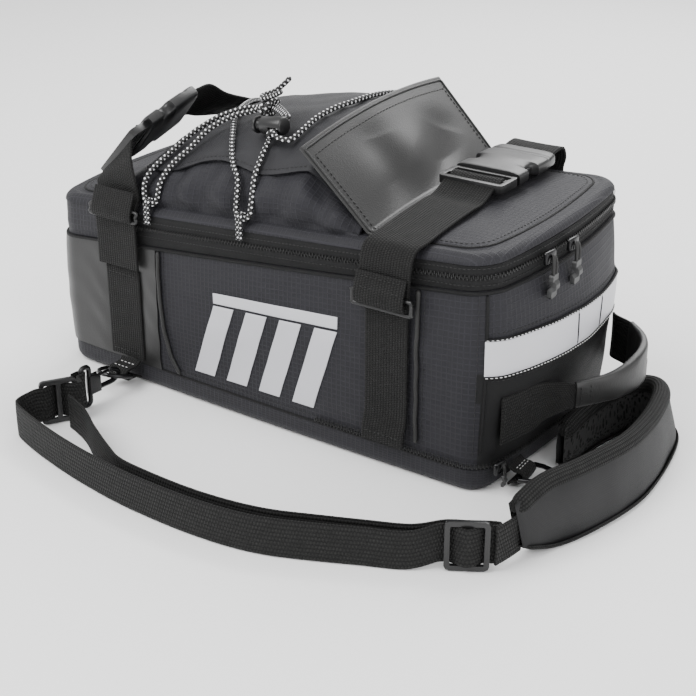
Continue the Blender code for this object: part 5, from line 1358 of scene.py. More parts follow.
@dataclass
class ZipRun:
    """The closed zip round the lid, the base zip, their sliders and their pulls."""

    form: BagForm
    frame: dict
    share: float = 0.55
    start_x: float = -0.122
    tooth_pitch: float = 0.0013
    tooth: tuple[float, float, float] = (0.0008, 0.0022, 0.0012)
    base_lift: float = 0.0035
    base_start_x: float = 0.057
    stitch_rows: float = 0.0052
    tooth_stagger: float = 0.0005
    slider_edge: float = 0.0007
    base_pull_scale: float = 0.52
    pull_cord: Rows = ((0.0, 14.0, 0.0), (-1.8, 11.0, 0.4), (-2.4, 5.0, 0.4), (-1.6, 0.6, 0.0), (0.0, -1.2, -0.4),
                       (1.6, 0.6, 0.0), (2.4, 5.0, 0.4), (1.8, 11.0, 0.4))
    tab_widths: Rows = ((0.0, 3.4), (0.06, 4.2), (0.28, 4.2), (0.36, 3.0), (0.58, 3.0), (0.66, 4.4), (0.94, 4.4),
                        (1.0, 3.6))
    tab_steps: Rows = ((0.0, 0.0), (0.30, 0.0), (0.42, 1.7), (0.56, 1.7), (0.68, -0.6), (1.0, -0.6))

    def build(self) -> None:
        """Builds both zips."""
        top = self.closed_run(self.top_line, self.start_x)
        self.teeth("zip_teeth", top, "zip_coil")
        for name, shift in (("low", -self.stitch_rows), ("high", self.stitch_rows)):
            line = Route([Vector(point) + UP * shift for point in top.points[::6]], 2)
            Bench.stitches(f"zip_stitches_{name}", line, self.outward(line), pitch=0.003)
        base = self.closed_run(self.base_line, self.base_start_x)
        self.teeth("base_zip_teeth", base, "base_zip_coil")
        for name in ("near", "far"):
            Bench.moulded(self.frame, f"zip_slider_{name}", Finishes.METAL, self.slider_edge)
            self.pull(f"zip_pull_{name}", 1.0)
        Bench.moulded(self.frame, "base_zip_slider", Finishes.METAL, self.slider_edge)
        self.pull("base_zip_pull", self.base_pull_scale)

    def top_line(self, share: float) -> tuple[Vector, Vector]:
        """Returns the top zip's point and the way out at a share of the outline.

        Args:
            share: The share of the way, from 0 to 1.

        Returns:
            The point and the direction.
        """
        plain, out = self.form.outline(share)
        low = self.form.swollen(plain, self.form.seam_z(plain.x, plain.y))
        high = self.form.swollen(plain, self.form.rim_z(plain.x, plain.y))
        return low.lerp(high, self.share) + out * 0.0006, out

    def base_line(self, share: float) -> tuple[Vector, Vector]:
        """Returns the base zip's point and the way out at a share of the outline."""
        plain, out = self.form.outline(share)
        return self.form.swollen(plain, self.form.base_height + self.base_lift) + out * 0.0022, out

    def closed_run(self, line: Callable[[float], tuple[Vector, Vector]], start_x: float) -> Route:
        """Returns the part of a line that has teeth, from the near side round the rear end to the far side.

        Args:
            line: The line, all the way round the bag.
            start_x: Where the teeth start and end.

        Returns:
            The route of the teeth.
        """
        near, far = BoxWalls(self.form).share_at(start_x, -1), 1 - start_x / self.form.perimeter
        return Route([line(lerp(near, far, step / 300) % 1.0)[0] for step in range(301)], 1)

    def outward(self, line: Route) -> Callable[[float], Vector]:
        """Returns the way out of the wall along a line."""
        return lambda share: line.way(share).cross(UP)

    def teeth(self, name: str, line: Route, node: str) -> None:
        """Sets interlocked teeth along a line.

        Args:
            name: The name of the row of teeth.
            line: Their middle line.
            node: The solid that they stand for.
        """
        Bench.clear_choice()
        bpy.ops.mesh.primitive_cube_add(size=1.0)
        shape = bpy.context.object
        Bench.edit(shape, lambda: bpy.ops.mesh.bevel(offset=0.2, offset_pct=0, segments=1, affect="EDGES"))
        count = round(line.length / self.tooth_pitch)
        places = []
        for index in range(count):
            share = (index + 0.5) / count
            way = line.way(share)
            out = way.cross(UP).normalized()
            up = out.cross(way).normalized()
            spot = line.at(share) + up * (self.tooth_stagger if index % 2 else -self.tooth_stagger)
            turn = Matrix((way, up, out)).transposed().to_4x4()
            places.append(Matrix.Translation(spot) @ turn @ Matrix.Diagonal((*self.tooth, 1)))
        Bench.finish(Bench.scatter(shape, places), name, Finishes.TEETH, [node])

    def pull(self, node: str, scale: float) -> None:
        """The cord loop and the stepped tab that hang from a slider.

        Args:
            node: The solid that they stand for.
            scale: Their size, 1 for the top zip's.
        """
        low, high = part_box(node)
        middle = (low + high) / 2
        out = Vector((1.0, 0.12, 0.0)).normalized()
        side = UP.cross(out)
        top = Vector((middle.x, middle.y, high.z))
        loop = Route([tuple(top + (side * a - UP * b + out * c) * (0.001 * scale)) for a, b, c in self.pull_cord],
                     6, closed=True)
        Bench.finish(Bench.tube(loop, 0.0011 * scale, 12, 0.0008, closed=True), node + "_cord", Finishes.THREAD)

        def place(across: float, down: float) -> Vector:
            """Returns a point of the tab's middle sheet.

            Args:
                across: The share across it.
                down: The share down it.

            Returns:
                The point.
            """
            reach = read_table(self.tab_widths, down) * (2 * across - 1)
            drop = 10.0 + 15.0 * down
            return top + (side * reach - UP * drop + out * read_table(self.tab_steps, down)) * (0.001 * scale)

        tab = Bench.grid(6, 30, place, (0.009, 0.015), 0.0030 * scale, inward=False)
        Bench.round_edges(tab, 0.0006 * scale, 3, 50.0)
        Bench.finish(tab, node + "_tab", Finishes.PULL, [node], angle=28.0)


@dataclass
class TopPocket:
    """The domed pocket: ripstop shell, smooth hood, and the leatherette flap over its mouth."""

    dome: DomeForm
    cords: Sequence[Vector]
    hood_reach: float = 0.87
    hood_lift: float = 0.0030
    flap_width: float = 0.158
    hinge_x: float = 0.105
    fold_x: float = 0.093
    tip_x: float = 0.040
    tip_height: float = 0.0593
    tip_tilt: float = 0.008
    tip_bow: float = 0.0065
    sag: float = 0.002
    flap_wall: float = 0.0022
    dent_depth: float = 0.0016
    dent_core: float = 0.003
    dent_spread: float = 0.006
    soft_fold: float = 0.0016
    small_fold: float = 0.0008
    gather_fold: float = 0.0024
    gather_waves: float = 210.0
    crumple_fold: float = 0.0022
    belly: float = 0.0042
    belly_level: float = 0.84
    pinch_spread: float = 0.012
    pinches: Rows = ((-0.087, 0), (-0.003, 0), (0.030, 1))
    shell_wall: float = 0.0014
    hood_wall: float = 0.0010
    hood_shares: tuple[float, float] = (0.17, 0.95)
    flap_valleys: tuple[tuple[Sequence[float], Sequence[float], float, float], ...] = (
        ((0.74, -0.30), (0.10, -0.66), 0.0052, 0.12), ((0.60, 0.52), (0.10, -0.28), 0.0068, 0.13))

    def build(self) -> None:
        """Builds the shell, the hood and the flap."""
        self.shell()
        self.hood()
        self.flap()

    def dent(self, point: Vector) -> float:
        """Returns how far the cords press the fabric in at a point."""
        nearest = min((point - cord).length for cord in self.cords)
        return self.dent_depth * hump(max(0.0, nearest - self.dent_core), self.dent_spread)

    def folds(self, x: float, over: float, low: bool) -> float:
        """Returns the height of the fabric's folds at a place on the dome.

        Args:
            x: The place along the bag.
            over: The angle across the dome.
            low: Whether it is the shell, whose foot is gathered, and not the hood.

        Returns:
            The height, which may be below 0.
        """
        side = abs(over) / 90
        flat = Vector((x * 0.7, over * 0.0016, 0.0))
        soft = self.soft_fold * ripple(flat, 28.0, 11.0) + self.small_fold * ripple(flat, 70.0, 12.0)
        if not low:
            return soft * 0.9
        wave = math.sin(x * self.gather_waves + 2.0 * ripple(flat, 30.0, 13.0))
        gather = self.gather_fold * wave * clamp((side - 0.62) / 0.2)
        crease = abs(ripple(Vector((x, over * 0.0012, 0.0)), 55.0, 14.0))
        crumple = self.crumple_fold * crease * clamp((side - 0.4) / 0.3)
        return soft + gather + crumple

    def shell(self) -> None:
        """The ripstop shell, whose sides puff out over the lid's edge between the cord loops."""
        dome = self.dome

        def place(along: float, over: float) -> Vector:
            """Returns a point of the shell.

            Args:
                along: The share along it, from 0 to 1.
                over: The share across it, from 0 to 1.

            Returns:
                The point.
            """
            x = lerp(dome.front_x, dome.rear_x, along)
            angle = lerp(-90.0, 90.0, over)
            skin = dome.skin(x, angle)
            side = abs(angle) / 90
            pinch = max(hump(x - loop_x, self.pinch_spread) for loop_x, far in self.pinches if not far or angle > 0)
            belly = self.belly * hump(side - self.belly_level, 0.13) * (1 - 0.8 * pinch)
            belly *= clamp(along / 0.2) * clamp((1 - along) / 0.1)
            fade = clamp((1 - side) / 0.06)
            lift = (belly + self.folds(x, angle, True) - self.dent(skin)) * fade
            return skin + dome.out(x, clamp(angle, -86, 86)) * lift

        shell = Bench.grid(150, 110, place, (dome.rear_x - dome.front_x, 0.235), self.shell_wall)
        Bench.finish(shell, "pocket_shell", Finishes.RIPSTOP, ["dome_pocket"])

    def hood(self) -> None:
        """The smooth layer that overlaps the ripstop, with a stitched hem."""
        dome = self.dome
        front, rear = (lerp(dome.front_x, dome.rear_x, share) for share in self.hood_shares)
        reach = math.degrees(math.asin(self.hood_reach))

        def place(along: float, over: float) -> Vector:
            """Returns a point of the hood.

            Args:
                along: The share along it, from 0 to 1.
                over: The share across it, from 0 to 1.

            Returns:
                The point.
            """
            x = lerp(front, rear, along)
            wave = 1 + 0.05 * math.sin(x * 75 + 1.0) - 0.05 * clamp((0.12 - along) / 0.12)
            angle = lerp(-reach, reach, over) * wave
            skin = dome.skin(x, angle)
            hem = 0.0010 * hump(min(over, 1 - over), 0.03)
            ends = clamp(min(along, 1 - along) / 0.05)
            lift = self.hood_lift * lerp(0.75, 1.0, ends) + hem + (self.folds(x, angle, False) - self.dent(skin)) * ends
            return dome.at(x, angle, max(0.0016, lift))

        hood = Bench.grid(130, 90, place, (rear - front, 0.17), self.hood_wall)
        Bench.finish(hood, "pocket_hood", Finishes.COATED, ["dome_hood"])
        for name, over in (("near", 0.024), ("far", 0.976)):
            line = Route.along(lambda share: place(share, over) + dome.out(lerp(front, rear, share), 0) * 0.0001, 60)
            Bench.stitches(f"hood_stitches_{name}", line, lambda share: UP)

    def flap_point(self, along: float, over: float, lift: float = 0.0) -> Vector:
        """Returns a point of the flap's top, from its hinge (0) to its tip (1) and from near (-1) to far (1).

        Args:
            along: The share along it, from 0 to 1.
            over: The place across, from -1 to 1.
            lift: A distance up from the flap.

        Returns:
            The point.
        """
        form = self.dome.form
        y = over * self.flap_width / 2
        x = lerp(self.hinge_x, self.tip_x, along)
        climb = max(0.0, (self.fold_x - x) / (self.fold_x - self.tip_x))
        hinge = form.lid_z(max(x, self.fold_x), y) + 0.0009 + self.flap_wall
        tip = form.rim_z(self.tip_x, 0.0) + self.tip_height + self.tip_tilt * over
        tip += self.tip_bow * (1 - over * over) + self.flap_wall
        z = lerp(hinge, tip, climb) + self.sag * math.sin(math.pi * min(1.0, climb)) * (1 - over * over)
        z += lift + min(1.0, 4 * climb) * self.flap_dents(along, over)
        return Vector((x, y, z))

    def flap_dents(self, along: float, over: float) -> float:
        """Returns the height of the flap's soft rolls and of the two valleys between them.

        Args:
            along: The share along it, from 0 to 1.
            over: The place across, from -1 to 1.

        Returns:
            The height, below 0 in a valley.
        """
        total = 0.0040 * hump(math.hypot(along - 0.42, 0.55 * (over + 0.12)), 0.26)
        for first, second, depth, spread in self.flap_valleys:
            a, b, spot = Vector(first), Vector(second), Vector((along, over * 0.62))
            a.y, b.y = a.y * 0.62, b.y * 0.62
            part = clamp((spot - a).dot(b - a) / (b - a).length_squared)
            bend = Vector((b.y - a.y, a.x - b.x)).normalized() * (0.07 * math.sin(math.pi * part))
            reach = (spot - a.lerp(b, part) - bend).length
            total -= depth * hump(reach, spread) * math.sin(math.pi * lerp(0.12, 0.88, part))
        return total

    def flap(self) -> None:
        """The leatherette flap with its turned edge and its stitched border."""
        size = (self.tip_x - self.hinge_x, self.flap_width)
        flap = Bench.grid(70, 90, lambda a, o: self.flap_point(1 - a, 2 * o - 1), (abs(size[0]) * 1.35, size[1]),
                          self.flap_wall)
        Bench.face_out(flap)
        Bench.round_edges(flap, 0.0007, 3)
        Bench.finish(flap, "mouth_flap", Finishes.LEATHER, ["cover_flap"])
        low = 0.05
        for name, lift, rim in (("edge", 0.0002, 0.975), ("border", 0.0003, 0.925)):
            deep = 1 - (1 - rim) * 1.6
            ring = [(lerp(low, deep, s / 24), -rim) for s in range(25)]
            ring += [(deep, lerp(-rim, rim, s / 30)) for s in range(1, 30)]
            ring += [(lerp(deep, low, s / 24), rim) for s in range(25)]
            line = Route([tuple(self.flap_point(a, o, lift)) for a, o in ring], 2)
            if name == "edge":
                Bench.finish(Bench.tube(line, 0.0008, 8, 0.002), "flap_edge_roll", Finishes.LEATHER)
            else:
                Bench.stitches("flap_stitches", line, lambda share: Vector((0.55, 0.0, 0.83)), size=0.0026)


@dataclass
class RearEnd:
    """The reflective band across the rear end, the grab handle and the wall's seams there."""

    form: BagForm
    band_low: float = 0.082
    band_height: float = 0.0225
    handle_width: float = 0.032
    handle_z: float = 0.050
    handle_rise: float = 0.011
    handle_standoff: float = 0.033
    web: float = 0.0016
    handle_route: Rows = ((-0.86, 0.0, 0.0), (-0.70, 0.0, 0.0), (-0.52, 0.02, 0.05), (-0.38, 0.10, 0.20),
                          (-0.20, 0.48, 0.45), (0.05, 0.88, 0.75), (0.33, 1.0, 1.0), (0.56, 0.88, 1.0),
                          (0.74, 0.48, 0.90), (0.84, 0.10, 0.80), (0.90, 0.01, 0.75))
    gather: Rows = ((0.0, 1.0), (0.16, 1.0), (0.33, 0.50), (0.44, 0.50), (0.72, 0.84), (0.86, 1.0), (1.0, 1.0))
    band_inset: float = 0.003
    band_divisions: tuple[float, float] = (0.47, 0.68)
    foot_clear: float = 0.010
    handle_seat: float = 0.0027
    grip: tuple[float, float] = (0.33, 0.86)
    grip_rows: tuple[float, ...] = (0.03, 0.10, 0.90, 0.97)
    sewn_box: Rows = ((0.01, 0.01), (0.15, 0.15), (0.02, 0.14), (0.14, 0.02))

    def build(self) -> None:
        """Builds the band, its seams and the handle."""
        self.band()
        self.panel_seams()
        self.handle()

    def end_share(self, y: float) -> float:
        """Returns the outline's share at y on the rear end.

        Args:
            y: The place across the bag.

        Returns:
            The share of the way round.
        """
        form = self.form
        straight, over = form.half_length - form.corner, form.half_width - form.corner
        quarter = math.pi * form.corner / 2
        return (3 * straight + 3 * quarter + 3 * over + y) / form.perimeter

    def band(self) -> None:
        """The silver band, in three lengths, with black binding and stitches along its edges."""
        form = self.form
        low = self.end_share(-form.half_width + self.band_inset)
        high = self.end_share(form.half_width - self.band_inset)

        def point(along: float, up: float, off: float = 0.0016) -> Vector:
            """Returns a point of the band."""
            return form.wall(lerp(low, high, along), self.band_low + up * self.band_height, off)

        length = (high - low) * form.perimeter
        band = Bench.grid(90, 8, point, (length, self.band_height), 0.0007)
        Bench.round_edges(band, 0.0002)
        Bench.finish(band, "reflective_band_tape", Finishes.REFLECTIVE, ["reflective_band"])
        for name, up in (("low", -0.04), ("high", 1.04)):
            edge = Route.along(lambda share: point(share, up, 0.0012), 60)
            Bench.finish(Bench.tube(edge, 0.0009, 8, 0.003), f"band_binding_{name}", Finishes.LINING)
            row = Route.along(lambda share: point(share, up, 0.0022), 60)
            Bench.stitches(f"band_stitches_{name}", row, lambda share: REAR, Finishes.PALE_THREAD, 0.0030, 0.0020,
                           0.0008)
        for index, along in enumerate(self.band_divisions):
            seam = Route([point(along, up, 0.0017) for up in (0.0, 0.33, 0.66, 1.0)], 4)
            Bench.finish(Bench.tube(seam, 0.0005, 8, 0.002), f"band_division_{index}", Finishes.LINING)

    def panel_seams(self) -> None:
        """The seam down each rear corner, with its row of stitches."""
        form = self.form
        for name, side in (("near", -1), ("far", 1)):
            share = self.end_share(side * (form.half_width - 0.004))
            plain, out = form.outline(share)
            foot, top = form.base_height + self.foot_clear, form.seam_z(plain.x, plain.y) - 0.001
            line = Route.along(lambda part: form.wall(share, lerp(foot, top, part), 0.0001), 20)
            Bench.finish(Bench.tube(line, 0.0011, 10, 0.003), f"corner_seam_{name}", Finishes.LINING)
            beside = share + side * 0.0042 / form.perimeter
            row = Route.along(lambda part: form.wall(beside, lerp(foot, top, part), 0.0003), 20)
            Bench.stitches(f"corner_stitches_{name}", row, lambda part, way=out: way)
        low, high = (self.end_share(side * (form.half_width - 2 * self.band_inset)) for side in (-1, 1))
        for name, z in (("upper", self.band_low + self.band_height + 0.0045), ("lower", self.band_low - 0.004)):
            row = Route.along(lambda part: form.wall(lerp(low, high, part), z, 0.0002), 60)
            Bench.stitches(f"panel_stitches_{name}", row, lambda part: REAR)

    def handle(self) -> None:
        """The webbing of the grab handle, its leatherette grip and its stitched near end."""
        form = self.form
        rows = []
        for over, off, rise in self.handle_route:
            y = over * form.half_width
            z = self.handle_z + rise * self.handle_rise
            rows.append((form.end_half(y, z) + self.web / 2 + self.handle_seat + off * self.handle_standoff, y, z))
        route = Route(rows, 8)
        web = Bench.strap(route, lambda share: UP, self.handle_width, self.web, gather=self.gather)
        Bench.finish(web, "handle_web", Finishes.WEBBING, ["handle_webbing"])
        start, end = self.grip

        def place(along: float, around: float) -> Vector:
            """Returns a point of the grip, a flat sleeve round the webbing.

            Args:
                along: The share along it, from 0 to 1.
                around: The share of a turn round it.

            Returns:
                The point.
            """
            share = lerp(start, end, along)
            out = route.way(share).cross(UP).normalized()
            angle = 2 * math.pi * around
            depth = 0.0024 + 0.0009 * math.sin(math.pi * along) + 0.0004 * ripple(Vector((along, 0, around)), 9.0, 4.0)
            flat = math.copysign(abs(math.sin(angle)) ** 0.35, math.sin(angle))
            bow = math.copysign(abs(math.cos(angle)) ** 0.6, math.cos(angle))
            half = self.handle_width / 2 * read_table(self.gather, share) + 0.0010
            return route.at(share) + out * (depth * bow) + UP * (half * flat)

        grip = Bench.grid(60, 48, place, ((end - start) * route.length, 0.075), 0.0010, weld=True)
        Bench.face_out(grip)
        Bench.finish(grip, "handle_sleeve", Finishes.LEATHER, ["handle_grip"])
        for index, along in enumerate(self.grip_rows):
            share = lerp(start, end, along)
            out = route.way(share).cross(UP).normalized()
            line = Route([tuple(route.at(share) + out * 0.0031 + UP * (z * read_table(self.gather, share)))
                          for z in (-0.013, 0.0, 0.013)], 4)
            Bench.stitches(f"grip_stitches_{index}", line, lambda share, way=out: way)
        for name, (first, second) in zip(("left", "right", "cross", "counter"), self.sewn_box):
            low, high = route.at(first) - UP * 0.012, route.at(second) + UP * 0.012
            line = Route([spot + REAR * 0.0012 for spot in (low, low.lerp(high, 0.5), high)], 4)
            Bench.stitches(f"handle_stitches_{name}", line, lambda share: REAR)


@dataclass
class NearWall:
    """The trim on the side walls: piping, seams and the reflective motif."""

    form: BagForm
    piping: float = 0.0015
    middle_x: float = 0.136
    bow: Rows = ((0.0, 0.016), (0.15, 0.008), (0.35, 0.003), (0.65, 0.0), (1.0, 0.0))
    motif_start: float = -0.046
    motif_end: float = 0.080
    motif_low: float = 0.10
    motif_high: float = 0.74
    bars: int = 4
    bar_share: float = 0.62
    rail: float = 0.12
    lean: float = 0.16
    foot_ends: tuple[float, float] = (-0.165, 0.168)
    stitch_gap: float = 0.0042

    def build(self) -> None:
        """Builds the trim of both sides and the motif."""
        for name, side in (("near", -1), ("far", 1)):
            self.upright(f"front_piping_{name}", self.form.cap_edge_x + 0.003, side, 0.02, self.bow)
            self.upright(f"rear_piping_{name}", self.middle_x, side, 0.075, ((0.0, 0.0), (1.0, 0.0)))
            self.foot_seam(name, side)
        self.motif()

    def upright(self, node: str, x: float, side: int, start: float, bow: Rows) -> None:
        """A corded seam up a side wall, with stitches beside it.

        Args:
            node: The solid that it stands for.
            x: Where it runs.
            side: -1 for the near wall, 1 for the far wall.
            start: The level that it starts from.
            bow: How far its foot runs to the rear at each level.
        """
        form = self.form

        def line(shift: float, off: float) -> Route:
            """Returns a line beside the seam.

            Args:
                shift: How far beside the seam.
                off: How far off the wall.

            Returns:
                The line.
            """
            def point(level: float) -> Vector:
                """Returns the line's point at a level."""
                here = x + read_table(bow, level) + shift
                return form.near(here, form.level_z(here, lerp(start, 0.985, level), side), off, side)

            return Route.along(point, 24)

        Bench.finish(Bench.tube(line(0.0, 0.0013), self.piping, 12, 0.002), node + "_cord", Finishes.LEATHER, [node])
        Bench.stitches(node + "_stitches", line(self.stitch_gap, 0.0002), lambda share: Vector((0, side, 0)))

    def foot_seam(self, name: str, side: int) -> None:
        """The bound seam between the wall and the base tray.

        Args:
            name: The side's name.
            side: -1 for the near wall, 1 for the far wall.
        """
        form = self.form

        def line(rise: float, off: float) -> Route:
            """Returns a line at a height over the tray and a distance off the wall."""
            z = form.base_height + rise
            return Route.along(lambda share: form.near(lerp(*self.foot_ends, share), z, off, side), 60)

        Bench.finish(Bench.tube(line(0.0004, -0.0001), 0.0009, 8, 0.003), f"foot_seam_{name}", Finishes.LINING)
        Bench.stitches(f"foot_stitches_{name}", line(0.0048, 0.0001), lambda share: Vector((0, side, 0)))

    def motif(self) -> None:
        """Slanted reflective bars that hang from one rail."""
        form = self.form
        field = self.motif_end - self.motif_start
        pitch = 1.0 / self.bars

        def spot(share_x: float, share_z: float) -> Vector:
            """Returns a point of the motif's field."""
            x = self.motif_start + field * share_x
            return form.near(x, form.level_z(x, lerp(self.motif_low, self.motif_high, share_z)), 0.0007)

        squeeze = 1 - self.lean * 0.5
        edges = []
        for bar in range(self.bars):
            first = pitch * bar + self.lean * 0.9
            edges.append((min(1.0, first * squeeze), min(1.0, (first + pitch * self.bar_share) * squeeze)))
        rail_low = 1.0 - self.rail
        strips = [lambda a, b: spot(lerp(edges[0][0], edges[-1][1], a), lerp(rail_low, 1.0, b))]
        for left, right in edges:
            strips.append(lambda a, b, l=left, r=right: spot(lerp(l, r, a) - self.lean * (1 - b), rail_low * b * 0.97))
        for index, place in enumerate(strips):
            columns, rows = (60, 5) if index == 0 else (10, 30)
            size = (field * (edges[-1][1] - edges[0][0]), 0.008) if index == 0 else (0.017, 0.052)
            strip = Bench.grid(columns, rows, place, size, 0.0005)
            Bench.round_edges(strip, 0.00015)
            nodes = ["reflective_motif"] if index == 0 else []
            Bench.finish(strip, f"motif_strip_{index}", Finishes.REFLECTIVE, nodes)


@dataclass
class Compression:
    """The two buckled straps over the bag: webbing, ring and side-release buckles."""

    form: BagForm
    frame: dict
    side_width: float = 0.032
    top_width: float = 0.038
    web: float = 0.0016
    top_x: float = 0.1195
    ring_wire: float = 0.0014
    off: float = 0.0063
    rear_join: float = 0.90
    front_join: float = 0.80
    buckle_start: float = -0.006
    buckle_length: float = 0.074
    buckle_slope: float = 0.045
    front_near: Rows = ((-0.0865, 0.0120, 0.000, 2), (-0.0860, 0.0210, -0.003, 12), (-0.0825, 0.0290, -0.007, 30))
    front_far: Rows = ((0.0840, 0.0180, -0.002, 8), (0.068, 0.0330, -0.006, 16), (0.044, 0.0400, -0.008, 26),
                       (0.022, 0.0470, -0.009, 34), (0.008, 0.0540, -0.010, 44))
    front_buckle: tuple[float, ...] = (-0.077, -0.007, 0.034, 0.054, 46.0, -0.010)
    buckle_lift: float = 0.0055
    buckle_half: float = 0.0037
    socket_half: float = 0.024
    socket_bite: float = 0.0055
    socket_start: float = 0.0223
    side_levels: Rows = ((0.04, 1.0), (0.11, 0.9), (0.18, 0.3), (0.26, 0.0), (0.44, 0.0), (0.62, 0.0))
    zip_step: float = 0.0038
    wall_seat: float = 0.0026
    ladder: Rows = ((0.0050, -0.0004), (0.0075, 0.0012), (0.0110, 0.0034), (0.0150, 0.0012), (0.0185, -0.0004))
    keeper_share: float = 0.47
    keeper_fold: Rows = ((0.0012, 0.017), (0.0026, 0.011), (0.0044, 0.004), (0.0046, 0.0), (0.0036, -0.0034),
                         (0.0012, -0.0046))
    ring_fold: Rows = ((0.0010, 0.0175), (-0.0012, 0.0120), (-0.0030, 0.0055), (-0.0034, 0.0015), (-0.0026, -0.0018),
                       (-0.0004, -0.0030))

    def build(self) -> None:
        """Builds both straps with their hardware."""
        for name, side in (("near", -1), ("far", 1)):
            self.side_web(f"front_strap_side_{name}", self.form.front_strap_x, side, self.front_join)
            self.side_web(f"rear_strap_side_{name}", self.form.rear_strap_x, side, self.rear_join)
            self.rear_top(name, side)
            self.front_top(name, side)
        self.ring()
        start = Vector((self.top_x, self.buckle_start, self.form.lid_z(self.top_x, 0.0) + self.buckle_lift
                        + self.buckle_half))
        near, far = self.front_ends()
        roll = math.radians(self.front_buckle[4])
        for name, origin, across, along in (
                ("rear", start, Vector((1, 0, 0)), Vector((0, 1, self.buckle_slope))),
                ("front", near, Vector((math.cos(roll), 0, math.sin(roll))), far - near)):
            Bench.moulded(self.frame, f"buckle_{name}_male", Finishes.PLASTIC, 0.0009)
            self.socket(name, origin, across, along.normalized())
            self.ladder_web(name, origin, across, along.normalized())

    def socket(self, name: str, origin: Vector, across: Vector, along: Vector) -> None:
        """The socket half of a buckle: a crowned body with a finger cut at each side and a raised middle.

        Args:
            name: Which buckle it is.
            origin: The middle of the buckle's near end.
            across: The way across the strap.
            along: The way from the frame to the socket.
        """
        up = across.cross(along).normalized()
        across = along.cross(up).normalized()
        half, bite, first = self.socket_half, self.socket_bite, self.socket_start
        length = self.buckle_length - first
        cut = first + length * 0.36

        def place(share: float, around: float) -> Vector:
            """Returns a point of the socket's skin.

            Args:
                share: The share of the way, from 0 to 1.
                around: The share of a turn round it.

            Returns:
                The point.
            """
            run = lerp(first, self.buckle_length, share)
            reach = half * (1 - 0.10 * clamp((share - 0.62) / 0.38) ** 2)
            gap = (run - cut) / (bite * 1.1)
            reach -= bite * math.sqrt(1 - gap * gap) if abs(gap) < 1 else 0.0
            angle = 2 * math.pi * around
            flat = math.copysign(abs(math.cos(angle)) ** 0.35, math.cos(angle))
            rise = math.copysign(abs(math.sin(angle)) ** 0.45, math.sin(angle))
            ends = math.sqrt(clamp(min(share, 1 - share) / 0.035))
            crown = 0.0050 * (0.80 + 0.20 * ends) + 0.0010 * hump(share - 0.42, 0.24) * (1 - flat * flat)
            groove = 0.0007 * hump(share - 0.80, 0.035) * (1 if rise > 0 else 0)
            closed = 0.0 if share in (0.0, 1.0) else 1.0
            return origin + along * run + across * (reach * flat * closed) + up * ((crown - groove) * rise * closed)

        body = Bench.grid(72, 64, place, (length, 0.11), weld=True)
        Bench.face_out(body)
        Bench.finish(body, f"buckle_{name}_socket", Finishes.PLASTIC, [f"buckle_{name}_female"], angle=40.0)

    def side_web(self, node: str, x: float, side: int, top: float) -> None:
        """The narrow webbing up a wall, with a stitched foot.

        Args:
            node: The solid that it stands for.
            x: Where it runs.
            side: -1 for the near wall, 1 for the far wall.
            top: The level that it ends at.
        """
        form = self.form
        rows = []
        for level, lift in (*self.side_levels, (top, 0.0)):
            over_zip = lift * self.zip_step if x > 0 else 0.0
            y = side * (form.side_half(x) + self.wall_seat + over_zip)
            rows.append((x, y, form.level_z(x, level, side)))
        route = Route(rows, 6)
        web = Bench.strap(route, lambda share: Vector((-side, 0, 0)), self.side_width, self.web)
        Bench.finish(web, node + "_web", Finishes.WEBBING, [node])
        for index, share in enumerate((0.07, 0.94)):
            spot = route.at(share) + Vector((0, side * 0.0016, 0))
            half = self.side_width / 2 - 0.003
            line = Route([spot + REAR * u for u in (-half, 0.0, half)], 4)
            Bench.stitches(f"{node}_stitches_{index}", line, lambda share: Vector((0, side, 0)))

    def corner(self, x: float, side: int, lean: float) -> list[tuple[float, float, float]]:
        """Returns the top webbing's points from the wall over the lid's edge.

        Args:
            x: The place along the bag.
            side: -1 for the near side, 1 for the far side.
            lean: How far each point lies behind the one before.

        Returns:
            The points, from the wall up.
        """
        form = self.form
        half = form.side_half(x)
        rim = form.rim_z(x, side * half)
        rows = [(half + self.off, form.seam_z(x, side * half)), (half + self.off, rim),
                (half - 0.2 * form.lid_edge + self.off * 0.7, rim + form.lid_edge * 0.7 + self.off * 0.7)]
        return [(x + lean * index, side * y, z) for index, (y, z) in enumerate(rows)]

    def rear_top(self, name: str, side: int) -> None:
        """The wide webbing of the rear strap on one side of its buckle.

        Args:
            name: The side's name.
            side: -1 for the near side, 1 for the far side.
        """
        form, x, top_x = self.form, self.form.rear_strap_x, self.top_x
        half = form.side_half(x)
        ring_z = lerp(form.base_height, form.seam_z(x, side * half), self.rear_join) + 0.0006
        rows = [(x, side * (half + self.off), ring_z + (0.004 if side < 0 else 0.0))]
        rows += self.corner(x, side, (top_x - x) / 3)
        lift = self.web / 2 + self.buckle_half
        buckle_z = form.lid_z(top_x, 0.0) + self.buckle_lift + self.buckle_half
        if side < 0:
            rows += [(top_x, y, form.lid_z(top_x, y) + lift) for y in (-0.0795, -0.070, -0.050, -0.030, -0.018)]
            rows.append((top_x, self.buckle_start + 0.0045, buckle_z + 0.0024))
        else:
            end, edge = self.buckle_start + self.buckle_length, form.lid_z(top_x, 0.070)
            rows += [(top_x, 0.0885, edge + 0.008), (top_x, 0.0850, edge + 0.0155), (top_x, 0.0770, edge + 0.0160),
                     (top_x, end - 0.003, buckle_z + self.buckle_slope * self.buckle_length + 0.0012)]
        route = Route(rows, 8)
        web = Bench.strap(route, lambda share: Vector((-side, 0, 0)), self.top_width, self.web)
        Bench.finish(web, f"rear_strap_top_{name}_web", Finishes.WEBBING, [f"rear_strap_top_{name}"])

